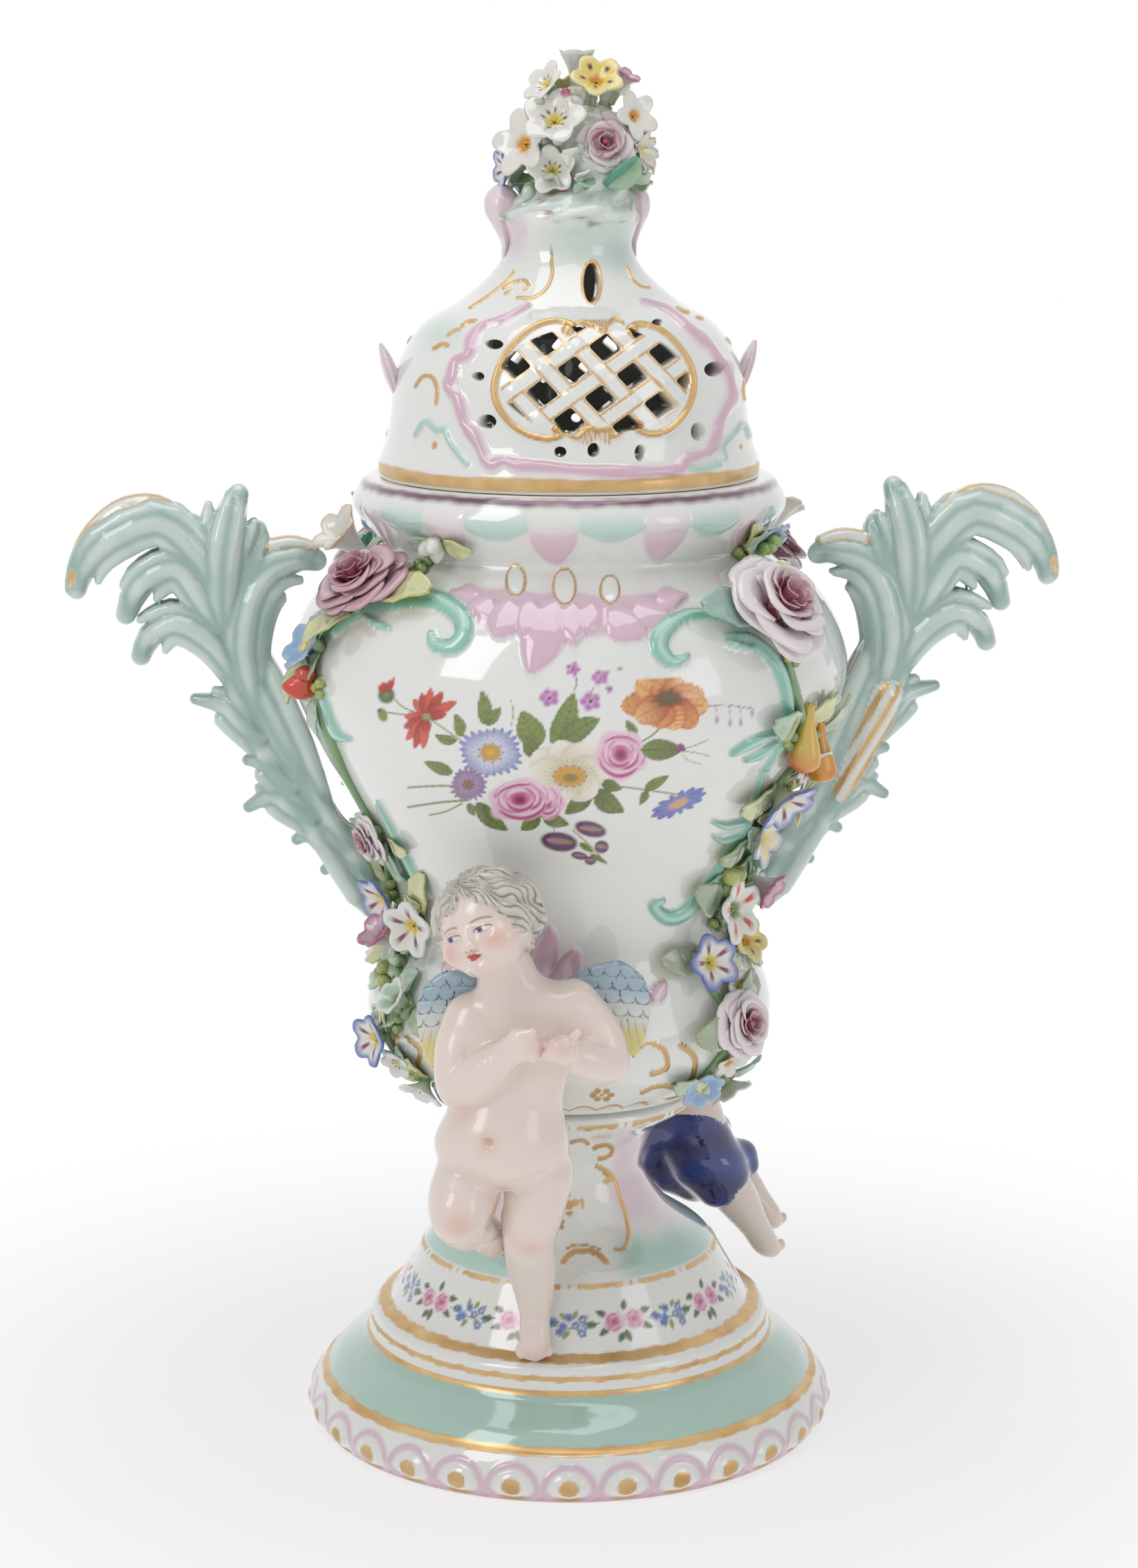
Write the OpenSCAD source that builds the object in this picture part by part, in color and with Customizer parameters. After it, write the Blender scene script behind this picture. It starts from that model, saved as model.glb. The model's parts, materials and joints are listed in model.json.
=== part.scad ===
// Covered potpourri vase: pedestal foot, baluster body, pierced cover,
// leaf handles, applied garlands and two standing putti.
// Millimetres, +Z up, origin on the table under the middle of the foot, front towards -Y.

/* [Pedestal] */
// Radius of the foot ring where it meets the table
foot_r = 82.5; // [78:0.5:86]
// How far the egg band stands out beyond the foot ring
egg_bulge = 2.5; // [1:0.25:4]
// Height of the egg band
egg_band_h = 14.6; // [12:0.2:18]
// Radius at the top of the sloping apron
apron_r = 66; // [62:0.5:70]
// Height of the top of the apron
apron_h = 28; // [24:0.5:31]
// Radius of the ledge above the apron
ledge_r = 60.4; // [56:0.2:62]
// Height of the ledge
ledge_h = 38.6; // [35:0.2:43]
// Radius at the top of the flower frieze
frieze_r = 47.6; // [43:0.2:52]
// Height of the top of the flower frieze
frieze_h = 57.6; // [53:0.2:63]
// Least radius of the waisted stem
stem_r = 24; // [20:0.5:28]
// Height of the narrowest point of the stem
stem_h = 86; // [80:0.5:92]
// Radius of the top plate of the pedestal
plate_r = 41; // [37:0.5:44]
// Whole height of the pedestal
pedestal_h = 110; // [106:0.5:116]
// Wall of the pedestal
pedestal_wall = 5; // [3.5:0.25:7]
// Thickness of the top plate that the tie rod clamps
plate_t = 8; // [6:0.5:10]

/* [Body] */
// Radius of the seat of the body
calyx_r = 44; // [41:0.5:47]
// Greatest radius of the lower bowl
bowl_r = 65; // [61:0.5:68]
// Height of the bowl above the seat
bowl_h = 25; // [21:0.5:29]
// Radius of the waist above the bowl
waist_r = 56.5; // [52:0.5:60]
// Height of the waist above the seat
waist_h = 55; // [50:0.5:60]
// Greatest radius of the shoulder
shoulder_r = 88; // [82:0.5:94]
// Height of the shoulder above the seat
shoulder_h = 136; // [130:0.5:142]
// Radius of the concave neck
neck_r = 60; // [57:0.5:64]
// Height of the neck above the seat
neck_h = 175; // [171:0.5:179]
// Radius of the rolled collar
collar_r = 67.5; // [65:0.5:71]
// Rise of the rolled collar above the neck
collar_rise = 13; // [11:0.5:15]
// Radius of the flat rim that carries the cover
rim_r = 63; // [61.5:0.5:64.5]
// Rise of the rim above the collar
rim_rise = 8; // [6:0.5:10]
// Wall of the body
body_wall = 5; // [3.5:0.25:7]
// Thickness of the bottom of the body
floor_t = 7; // [5:0.5:10]
// Radius of the mouth
mouth_r = 52; // [49:0.5:54]

/* [Cover] */
// Radius of the rim of the cover
cover_r = 59.4; // [57.5:0.2:61]
// Height of the straight gilt rim
cover_rim_h = 5; // [3:0.5:8]
// Radius of the dome where it starts to close
dome_r = 53.6; // [51:0.2:56]
// Height of the dome above the rim
dome_h = 33; // [30:0.5:36]
// Radius of the neck that carries the bunch of flowers
spout_r = 19.8; // [17:0.2:23]
// Height of the neck above the rim
spout_h = 71; // [68:0.5:75]
// Height of the lip at the top of the neck
lip_h = 82; // [79:0.5:86]
// Wall of the cover
cover_wall = 4; // [3:0.25:6]
// Depth of the flange that locates the cover in the mouth
flange_h = 9; // [5:0.5:14]
// Half width of the woven window
window_w = 29; // [24:0.5:33]
// Half height of the woven window
window_h = 17.5; // [14:0.5:20]
// Width of a woven strip
strip_w = 5; // [3:0.2:6]
// Pitch of the woven strips
strip_pitch = 12.6; // [10:0.2:14]
// Turn of the cover about the axis, degrees
cover_turn = 7; // [0:1:30]

/* [Handles] */
// Reach of the outer leaf tip beyond the shoulder
leaf_reach = 70; // [62:1:78]
// Half width of the large leaves across the handle
leaf_w = 10; // [7:0.5:13]
// Half thickness of the large leaves
leaf_t = 6; // [4.5:0.25:7.5]
// Radius of the branch at its root
branch_r = 7; // [5.5:0.25:8.5]
// Turn of the pair of handles about the axis, degrees
handle_turn = 6; // [0:1:12]

/* [Flowers] */
// Radius of the large roses at the shoulder
rose_r = 16; // [12:0.5:18]
// Radius of an open blossom
blossom_r = 7.6; // [6:0.2:9]
// Length of a leaf of the garlands
sprig_leaf = 15; // [11:0.5:18]
// Radius of the core of the bunch on the cover
bunch_r = 14.5; // [12:0.5:16]
// Height of the middle of the bunch above the lip
bunch_h = 17.5; // [15:0.5:21]
// How far the bunch leans to the right
bunch_lean = 5; // [0:0.5:7]

/* [Putti] */
// Half width of the hips
hip_w = 20; // [18:0.25:22]
// Half width of the head with its hair
head_w = 17.5; // [15.5:0.25:19]
// Radius of an upper arm
arm_r = 7; // [6:0.25:8]
// Radius of a thigh
thigh_r = 10; // [8.5:0.25:11]
// Thickness of a wing
wing_t = 3.4; // [2.4:0.2:5]
// Turn of the rear putto about the axis, degrees
rear_turn = 158; // [152:1:164]
// How far the rear putto sits below the front one
rear_drop = 10; // [7:0.5:12]

/* [Tie rod] */
// Diameter of the threaded tie rod
rod_d = 8; // [6:0.5:10]
// Width across the flats of the nuts
nut_w = 13; // [11.5:0.5:16]
// Height of a nut
nut_h = 6.5; // [5:0.5:9]
// Radius of the plate washers
washer_r = 13; // [10.5:0.5:16]
// Thickness of the plate washers
washer_t = 2; // [1.5:0.25:3]
// Radius of the cork packing between body and pedestal
packing_r = 34; // [28:0.5:36]
// Thickness of the cork packing
packing_t = 2; // [1.5:0.25:4]

/* [Fits] */
// Gap between pieces that are luted or clamped together
lute_gap = 0.25; // [0.15:0.05:0.4]
// Gap between the cover and the rim it rests on
seat_gap = 0.2; // [0.1:0.05:0.4]
// Radial play of the flange of the cover in the mouth
cover_play = 1.2; // [0.8:0.1:2]
// Radial play of the tie rod in its holes
rod_play = 0.5; // [0.3:0.1:1]

/* [Hidden] */
$fn = 72;

egg_band_r = foot_r + egg_bulge;
body_z = pedestal_h + packing_t + 2 * lute_gap;
collar_h = neck_h + collar_rise;
body_h = collar_h + rim_rise;
rim_z = body_z + body_h;
hole_r = rod_d / 2 + rod_play;
cover_z = rim_z + seat_gap;
lip_z = cover_z + lip_h;
white = [0.93, 0.93, 0.91];
sea_green = [0.66, 0.82, 0.76];
leaf_green = [0.55, 0.68, 0.38];
rose_pink = [0.76, 0.5, 0.6];
petal_white = [0.92, 0.88, 0.8];
flesh = [0.93, 0.83, 0.77];
steel = [0.5, 0.5, 0.5];

// Point on a smooth curve through the stations p, with t from 0 to len(p) - 1
function curve_at(p, t) =
    let (n = len(p) - 1, i = min(floor(t), n - 1), u = t - i)
    let (a = p[max(i - 1, 0)], b = p[i], c = p[i + 1], d = p[min(i + 2, n)])
    b + 0.5 * u * ((c - a) + u * ((2 * a - 5 * b + 4 * c - d) + u * (3 * (b - c) + d - a)));

function smooth(p, steps) = [for (k = [0 : steps * (len(p) - 1)]) curve_at(p, k / steps)];

function mix(a, b, t) = a + (b - a) * t;

function unit(v) = v / norm(v);

function backwards(p) = [for (i = [len(p) - 1 : -1 : 0]) p[i]];

function mean(p, i = 0) = i == len(p) ? p[0] * 0 : p[i] / len(p) + mean(p, i + 1);

// Radius against height along a profile, for reading back where a surface lies
function radius_table(p) = [for (q = p) [q[1], q[0]]];

// Place h above a turned surface, at the angle a from the front and the height z
function on_turned(table, a, z, h) =
    let (slope = (lookup(z + 1, table) - lookup(z - 1, table)) / 2)
    let (n = unit([1, -slope]), r = lookup(z, table) + h * n[0])
    [r * sin(a), -r * cos(a), z + h * n[1]];

function normal_on(table, a, z) = on_turned(table, a, z, 1) - on_turned(table, a, z, 0);

// Solid through a row of closed rings with equal numbers of points
module loft(rings) {
    n = len(rings[0]);
    m = len(rings);
    points = concat([for (r = rings) each r], [mean(rings[0]), mean(rings[m - 1])]);
    walls = [for (i = [0 : m - 2]) for (j = [0 : n - 1])
        let (a = i * n + j, b = i * n + (j + 1) % n)
        each [[a, b, a + n], [b, b + n, a + n]]];
    first = [for (j = [0 : n - 1]) [m * n, (j + 1) % n, j]];
    last = [for (j = [0 : n - 1]) [m * n + 1, (m - 1) * n + j, (m - 1) * n + (j + 1) % n]];
    polyhedron(points, concat(walls, first, last));
}

// Level oval rings; each station is [x, y, z, half width, half depth]
function level_rings(stations, sides) = [for (s = stations)
    [for (j = [0 : sides - 1]) let (a = -360 * j / sides)
        [s[0] + s[3] * cos(a), s[1] + s[4] * sin(a), s[2]]]];

module stack(stations, sides = 14, steps = 1) {
    loft(level_rings(smooth(stations, steps), sides));
}

// Chain of rounded links; each station is [x, y, z, radius]
module chain(stations, sides = 8) {
    for (i = [0 : len(stations) - 2])
        hull()
            for (s = [stations[i], stations[i + 1]])
                translate([s[0], s[1], s[2]])
                    sphere(r = s[3], $fn = sides);
}

// Turn the +Z axis of the children to the direction d, standing at p
module aim(p, d) {
    translate(p)
        rotate([0, acos(d[2] / norm(d)), atan2(d[1], d[0])])
            children();
}

module nut_blank(z) {
    translate([0, 0, z])
        difference() {
            cylinder(d = nut_w / cos(30), h = nut_h, $fn = 6);
            translate([0, 0, -1])
                cylinder(d = rod_d + lute_gap, h = nut_h + 2);
        }
}

module washer_blank(r, t, hole_r, z) {
    translate([0, 0, z])
        difference() {
            cylinder(r = r, h = t);
            translate([0, 0, -1])
                cylinder(r = hole_r, h = t + 2);
        }
}

// Pedestal: egg band, apron, ledge, frieze, waisted stem and top plate
egg_line = smooth([[foot_r, 0], [foot_r + 0.4, 1.6], [egg_band_r, egg_band_h * 0.4],
    [mix(foot_r, egg_band_r, 0.3), egg_band_h * 0.8], [foot_r - 1.3, egg_band_h]], 3);
apron_line = smooth([[foot_r - 2.6, egg_band_h + 0.8],
    [mix(apron_r, foot_r, 0.6), mix(egg_band_h, apron_h, 0.42)], [apron_r + 2.5, apron_h - 2.2],
    [apron_r + 0.6, apron_h]], 3);
ledge_line = smooth([[apron_r, apron_h + 0.8], [apron_r - 1, mix(apron_h, ledge_h, 0.45)],
    [apron_r - 1.8, mix(apron_h, ledge_h, 0.75)], [ledge_r + 1, ledge_h - 0.6],
    [ledge_r - 0.6, ledge_h]], 2);
stem_line = smooth([[frieze_r - 0.6, frieze_h + 0.6], [frieze_r - 4, frieze_h + 4],
    [mix(stem_r, frieze_r, 0.36), mix(frieze_h, stem_h, 0.42)],
    [stem_r + 1.2, mix(frieze_h, stem_h, 0.78)],
    [stem_r, stem_h], [mix(stem_r, plate_r, 0.3), mix(stem_h, pedestal_h, 0.5)],
    [plate_r - 3, pedestal_h - 6], [plate_r, pedestal_h - 3.2], [plate_r - 0.6, pedestal_h]], 3);
frieze_line = smooth([[ledge_r - 2, ledge_h + 0.5],
    [mix(ledge_r, frieze_r, 0.5) - 0.8, mix(ledge_h, frieze_h, 0.5)], [frieze_r + 0.6, frieze_h - 0.6]], 3);
pedestal_line = concat(egg_line, apron_line, ledge_line, frieze_line, stem_line);
stem_top = [for (p = stem_line) if (p[1] < pedestal_h - plate_t) p];
hollow_line = concat([[foot_r - pedestal_wall - 2, 0], [foot_r - pedestal_wall - 1, egg_band_h - 4],
    [apron_r - pedestal_wall - 1, apron_h - 4], [ledge_r - pedestal_wall - 2, ledge_h - 4],
    [frieze_r - pedestal_wall - 2, frieze_h - 3]],
    [for (p = stem_top) [max(min(p[0], frieze_r - 2) - pedestal_wall, 1.5 * rod_d), p[1]]],
    [[stem_r - pedestal_wall, pedestal_h - plate_t], [hole_r, pedestal_h - plate_t], [hole_r, pedestal_h]]);

module pedestal() {
    color(white)
        rotate_extrude()
            polygon(concat(pedestal_line, backwards(hollow_line)));
}

// Baluster body on its seat
body_stations = [[calyx_r, body_z], [mix(calyx_r, bowl_r, 0.62), body_z + bowl_h * 0.36],
    [bowl_r, body_z + bowl_h],
    [mix(waist_r, bowl_r, 0.42), mix(body_z + bowl_h, body_z + waist_h, 0.6)], [waist_r, body_z + waist_h],
    [mix(waist_r, shoulder_r, 0.2), mix(body_z + waist_h, body_z + shoulder_h, 0.32)],
    [mix(waist_r, shoulder_r, 0.72), mix(body_z + waist_h, body_z + shoulder_h, 0.7)],
    [shoulder_r, body_z + shoulder_h],
    [mix(neck_r, shoulder_r, 0.74), mix(body_z + shoulder_h, body_z + neck_h, 0.55)],
    [mix(neck_r, shoulder_r, 0.16), mix(body_z + shoulder_h, body_z + neck_h, 0.88)],
    [neck_r, body_z + neck_h],
    [mix(neck_r, collar_r, 0.5), mix(body_z + neck_h, body_z + collar_h, 0.5)],
    [collar_r, body_z + collar_h], [mix(rim_r, collar_r, 0.55), rim_z - 2.2], [rim_r, rim_z]];
body_line = smooth(body_stations, 3);
body_table = radius_table(body_line);
floor_r = lookup(body_z + floor_t, body_table) - body_wall;

// Cavity: plainer than the outside, from the same stations less the wall
cavity_line = concat([[hole_r, body_z], [hole_r, body_z + floor_t], [floor_r, body_z + floor_t]],
    [for (p = body_stations) if (p[1] > body_z + floor_t && p[1] <= body_z + neck_h)
        [p[0] - body_wall, p[1]]],
    [[mouth_r, mix(body_z + neck_h, body_z + collar_h, 0.2)], [mouth_r, rim_z]]);

module vase_body() {
    color(white)
        rotate_extrude()
            polygon(concat(body_line, backwards(cavity_line)));
}

module packing_ring() {
    color("peru")
        washer_blank(packing_r, packing_t, hole_r, pedestal_h + lute_gap);
}

// The tie rod clamps body, packing and pedestal between two nuts
upper_washer_z = body_z + floor_t + lute_gap;
upper_nut_z = upper_washer_z + washer_t + lute_gap;
lower_washer_z = pedestal_h - plate_t - lute_gap - washer_t;
lower_nut_z = lower_washer_z - lute_gap - nut_h;

module tie_rod() {
    color(steel)
        translate([0, 0, lower_nut_z - 3])
            cylinder(d = rod_d, h = upper_nut_z + nut_h + 3 - lower_nut_z + 3);
}

module upper_washer() {
    color(steel)
        washer_blank(washer_r, washer_t, hole_r, upper_washer_z);
}

module upper_nut() {
    color(steel)
        nut_blank(upper_nut_z);
}

module lower_washer() {
    color(steel)
        washer_blank(min(washer_r, stem_r - pedestal_wall - 1), washer_t, hole_r, lower_washer_z);
}

module lower_nut() {
    color(steel)
        nut_blank(lower_nut_z);
}

// Cover: gilt rim, steep dome, waisted neck with a flared lip
cover_line = smooth([[cover_r, cover_z], [cover_r, cover_z + cover_rim_h],
    [mix(dome_r, cover_r, 0.5), cover_z + dome_h * 0.42],
    [dome_r, cover_z + dome_h],
    [mix(spout_r, dome_r, 0.77), mix(cover_z + dome_h, cover_z + spout_h, 0.35)],
    [mix(spout_r, dome_r, 0.4), mix(cover_z + dome_h, cover_z + spout_h, 0.56)],
    [mix(spout_r, dome_r, 0.1), mix(cover_z + dome_h, cover_z + spout_h, 0.8)],
    [spout_r, cover_z + spout_h], [spout_r + 2.6, lip_z - 3], [spout_r + 1.6, lip_z]], 3);
cover_table = radius_table(cover_line);
cover_top = [0, lip_z];
flange_r = mouth_r - cover_play;
dome_hollow = [for (p = cover_line) if (p[1] > cover_z + cover_rim_h && p[1] < lip_z - cover_wall - 2)
    [min(p[0] - cover_wall, flange_r - cover_wall + 0.5), p[1]]];
cover_hollow = concat([[cover_r - 1, cover_z], [flange_r, cover_z], [flange_r, cover_z - flange_h],
    [flange_r - cover_wall, cover_z - flange_h]], dome_hollow,
    [[spout_r - cover_wall - 2, lip_z - cover_wall - 1], [0, lip_z - cover_wall]]);
window_z = cover_z + 33;

function oval(w, h, count) = [for (k = [0 : count - 1]) [w * cos(360 * k / count), h * sin(360 * k / count)]];

// Cut through one side of the dome, in the plane that faces the viewer
module pierce(shape) {
    rotate([90, 0, 0])
        linear_extrude(height = cover_r)
            polygon(shape);
}

// Cells left open between the woven strips
module woven_cells() {
    cell = strip_pitch - strip_w;
    for (i = [-3 : 3])
        for (j = [-3 : 3])
            rotate([0, 45, 0])
                translate([i * strip_pitch, 0, j * strip_pitch])
                    pierce(cell / 2 * [[-1, -1], [1, -1], [1, 1], [-1, 1]]);
}

module piercings() {
    translate([0, 0, window_z]) {
        intersection() {
            pierce(oval(window_w - 2, window_h - 2, 28));
            woven_cells();
        }
        for (a = [10, 62, 118, 150, 178, 212, 248, 270, 294, 326])
            translate([(window_w + 6) * cos(a), 0, (window_h + 4) * sin(a) - 1])
                pierce(oval(1.6, 2.4, 12));
    }
    translate([0, 0, mix(cover_z + dome_h, cover_z + spout_h, 0.78)])
        pierce(oval(2.7, 6.2, 16));
}

module cover() {
    color(white)
        rotate([0, 0, cover_turn])
            difference() {
                rotate_extrude()
                    polygon(concat(cover_line, [cover_top], backwards(cover_hollow)));
                for (a = [0, 180])
                    rotate([0, 0, a])
                        piercings();
            }
}

// Ribbed leaf swept in the radial plane; each station is [reach, height, half thickness, half width]
function leaf_rings(stations, steps, sides) =
    let (s = smooth(stations, steps), n = len(s) - 1)
    [for (i = [0 : n])
        let (ahead = s[min(i + 1, n)], behind = s[max(i - 1, 0)])
        let (t = unit([ahead[0] - behind[0], ahead[1] - behind[1]]))
        [for (j = [0 : sides - 1])
            let (a = 360 * j / sides, rib = j % 2 == 0 ? 1 : 0.84)
            let (c = rib * s[i][2] * cos(a), b = rib * s[i][3] * sin(a))
            [s[i][0] - t[1] * c, b, s[i][1] + t[0] * c]]];

module ribbed_leaf(stations, steps = 2, sides = 8) {
    loft(leaf_rings(stations, steps, sides));
}

// Curled leaf at each side of the cover's neck, and a shell knob at each side of the dome
module cover_scroll_leaves() {
    low = mix(cover_z + dome_h, cover_z + spout_h, 0.72);
    foot = lookup(low, cover_table) + 3.4;
    side = lookup(window_z, cover_table) + 2.2 + lute_gap;
    color(rose_pink)
        for (a = [0, 180])
            rotate([0, 0, a + cover_turn]) {
                ribbed_leaf([[foot + 1, low, 1, 2], [spout_r + 3.2, cover_z + spout_h - 2, 2.2, 6],
                    [spout_r + 4.6, lip_z - 5, 2.4, 7], [spout_r + 7.6, lip_z - 1, 2.2, 6],
                    [spout_r + 8, lip_z + 3, 1, 2.5]]);
                ribbed_leaf([[side, window_z - 7, 0.8, 2], [side + 0.4, window_z - 2, 1.8, 5],
                    [side + 2.4, window_z + 4, 1.6, 4.5], [side + 4, window_z + 8, 0.6, 1.5]]);
            }
}

// Flowers stand on their own +Z axis with a flat back at z = 0.
// Each ring is [radius, height, depth of the petal lobes, turn of the lobes]
module lobed(rings, sides) {
    loft([for (r = rings) [for (j = [0 : sides - 1])
        let (a = -360 * j / sides, wave = 1 + r[2] * cos(5 * a + r[3]))
        [r[0] * wave * cos(a), r[0] * wave * sin(a), r[1]]]]);
}

// Rose with three rounds of petals turned half a petal to each other
module rose(r) {
    lobed([[0.2 * r, 0, 0, 0], [0.85 * r, 0.3 * r, 0.05, 0], [r, 0.54 * r, 0.1, 0],
        [0.7 * r, 0.42 * r, 0.06, 180], [0.72 * r, 0.74 * r, 0.1, 180], [0.44 * r, 0.56 * r, 0.06, 0],
        [0.42 * r, 0.88 * r, 0.1, 0],
        [0.2 * r, 0.8 * r, 0.06, 0]], r > 0.66 * rose_r ? 15 : 10);
}

// Open blossom with five petals round a hollow eye, on a short stalk
module blossom(r) {
    lobed([[0.24 * r, 0, 0, 0], [0.22 * r, 0.3 * r, 0, 0], [r, 0.95 * r, 0.16, 0],
        [0.26 * r, 0.62 * r, 0, 0]], 10);
}

// Tall tube flower with a turned-out mouth
module bell(r) {
    lobed([[0.3 * r, 0, 0, 0], [0.34 * r, 0.8 * r, 0, 0], [0.72 * r, 2 * r, 0.14, 0],
        [0.3 * r, 1.7 * r, 0, 0]], 10);
}

// Room that a flower takes among the leaves round it
module flower_room(r) {
    translate([0, 0, -3])
        cylinder(r = 0.3 * r + lute_gap, h = 3 + lute_gap, $fn = 6);
    cylinder(r1 = 0.4 * r, r2 = 1.4 * r, h = 0.4 * r, $fn = 6);
    translate([0, 0, 0.4 * r - lute_gap])
        cylinder(r = 1.4 * r, h = r, $fn = 6);
}

// Garlands. A flower is [height above the seat, angle from the front, size against its named radius,
// direction of the leaf beside it, clockwise from straight up]
function on_shoulder(t) = mix(shoulder_h, neck_h, t);
function on_collar(t) = mix(neck_h, collar_h, t);
left_roses = [[on_shoulder(0.69), -53, 1, 75], [87, -64, 0.5, 150]];
left_blossoms = [[on_collar(0.54), -38, 0.7, 100], [on_shoulder(0.15), -66, 1, 200],
    [128, -59, 0.65, 180], [68, -70, 0.85, -30], [60, -53, 1, 20], [46, -66, 1, 250], [34, -51, 1, 110],
    [22, -62, 0.9, 250], [10, -50, 0.8, 120]];
right_roses = [[on_shoulder(0.56), 48, 1.06, -75], [28, 52, 0.62, -90]];
right_blossoms = [[on_collar(0.69), 62, 0.9, -90], [126, 55, 1.05, -80], [118, 67, 0.95, 40],
    [106, 57, 1, -100], [98, 68, 0.85, 100], [86, 58, 1, -110], [72, 70, 0.85, 120],
    [62, 53, 1.15, -60], [48, 67, 0.9, 130], [45, 44, 0.85, -80],
    [10, 44, 0.8, -70], [8, 60, 0.8, 60]];

function every_second(list) = [for (i = [0 : 2 : len(list) - 1]) list[i]];

module on_body(f) {
    z = body_z + f[0];
    aim(on_turned(body_table, f[1], z, lute_gap + 0.1), normal_on(body_table, f[1], z))
        children();
}

// Leaf that follows the body, from just outside the stalk of the flower f outwards
module body_leaf(f, stalk, size) {
    dir = f[3];
    loft([for (s = [0, 0.5, 1])
        let (w = 0.24 * size * (0.3 + 2.8 * s * (1 - s)), t = 0.5 + 1.6 * s * (1 - s))
        let (out = stalk + size * s)
        [for (q = [[-w, 0.1], [0, 0], [w, 0.1], [0, t + 0.6 * s]])
            let (up = out * cos(dir) - q[0] * sin(dir), across = out * sin(dir) + q[0] * cos(dir))
            let (z = body_z + f[0] + up, r = lookup(z, body_table))
            on_turned(body_table, f[1] + across / r * 180 / PI, z, q[1] + lute_gap + 0.3)]]);
}

module leaves(rose_list, blossom_list) {
    color(leaf_green) {
        for (f = rose_list)
            body_leaf(f, 0.32 * f[2] * rose_r + 1.5, 1.3 * sprig_leaf * sqrt(f[2]));
        for (f = blossom_list)
            body_leaf(f, 0.3 * f[2] * blossom_r + 1, sprig_leaf * f[2]);
    }
}

module roses(list) {
    color(rose_pink)
        for (f = list)
            on_body(f)
                rose(f[2] * rose_r);
}

module blossoms(list) {
    color(petal_white)
        for (f = list)
            on_body(f)
                blossom(f[2] * blossom_r);
}

module front_left_leaves() { leaves(left_roses, left_blossoms); }
module front_left_roses() { roses(left_roses); }
module front_left_blossoms() { blossoms(left_blossoms); }
module front_right_leaves() { leaves(right_roses, right_blossoms); }
module front_right_roses() { roses(right_roses); }
module front_right_blossoms() { blossoms(right_blossoms); }

// The garlands at the back repeat the front ones, half a turn on and more sparsely
module back_right_leaves() { rotate([0, 0, 180]) leaves(left_roses, every_second(left_blossoms)); }
module back_right_roses() { rotate([0, 0, 180]) roses(left_roses); }
module back_right_blossoms() { rotate([0, 0, 180]) blossoms(every_second(left_blossoms)); }
module back_left_leaves() { rotate([0, 0, 180]) leaves(right_roses, every_second(right_blossoms)); }
module back_left_roses() { rotate([0, 0, 180]) roses(right_roses); }
module back_left_blossoms() { rotate([0, 0, 180]) blossoms(every_second(right_blossoms)); }

// Bunch of flowers on the cover: places as [angle from the front, elevation, size]
bunch_at = [bunch_lean, 0, lip_z + bunch_h];
bunch_rose_at = [24, 2, 0.64];
bunch_flowers = [[-30, -8, 0.8], [-74, -6, 0.85], [88, -8, 1.5], [142, -8, 1], [190, -8, 1], [238, -8, 1],
    [60, 44, 0.85], [132, 42, 0.9], [204, 42, 0.9], [276, 42, 0.9], [348, 44, 0.85]];
bunch_top = [0, 90, 1.1];

function on_bunch(a, e, r) = [r * cos(e) * sin(a), -r * cos(e) * cos(a), r * sin(e)];

module on_bunch_place(f) {
    aim(bunch_at + on_bunch(f[0], f[1], bunch_r + lute_gap), on_bunch(f[0], f[1], 1))
        children();
}

// Round core on a stout stem that fills the lip of the cover
module bunch_form(grow) {
    translate(bunch_at)
        sphere(r = bunch_r + grow, $fn = 48);
    translate([0, 0, lip_z + lute_gap])
        cylinder(r1 = spout_r - 4 + grow, r2 = bunch_r - 5 + grow, h = bunch_h - 7);
}

module bunch_core() {
    color(leaf_green)
        difference() {
            bunch_form(0);
            translate([0, 0, lip_z + lute_gap - 2 * bunch_r])
                cylinder(r = 2 * bunch_r, h = 2 * bunch_r);
        }
}

module bunch_rose() {
    color(rose_pink)
        on_bunch_place(bunch_rose_at)
            rose(bunch_rose_at[2] * rose_r);
}

module bunch_blossoms() {
    color(petal_white)
        for (f = bunch_flowers)
            on_bunch_place(f)
                blossom(f[2] * blossom_r);
}

module bunch_bell() {
    color(leaf_green)
        on_bunch_place(bunch_top)
            bell(bunch_top[2] * blossom_r);
}

// Leaves that stand out between the flowers of the bunch
module bunch_leaves() {
    color(leaf_green)
        difference() {
            for (k = [0 : 7])
                let (a = 45 * k + 8, e = k % 2 == 0 ? -34 : -26)
                on_bunch_place([a, e, 1])
                    rotate([0, 0, 90])
                        translate([0, 0, 0.2])
                            hull() {
                                cylinder(r = 1.2, h = 1, $fn = 6);
                                translate([0, sprig_leaf * 0.35, 3])
                                    sphere(r = 2.6, $fn = 6);
                                translate([0, sprig_leaf * 0.75, 4.5])
                                    sphere(r = 0.7, $fn = 6);
                            }
            for (f = bunch_flowers)
                on_bunch_place(f)
                    flower_room(f[2] * blossom_r);
            on_bunch_place(bunch_rose_at)
                flower_room(bunch_rose_at[2] * rose_r);
            bunch_form(2 * lute_gap);
            cylinder(r = spout_r + 6, h = lip_z + lute_gap);
        }
}

// Leaf handle: branch from the body's waist, curling leaves set against the shoulder
root_h = 64;
function reach(u) = shoulder_r + u;
function lift(h) = body_z + h;

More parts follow.
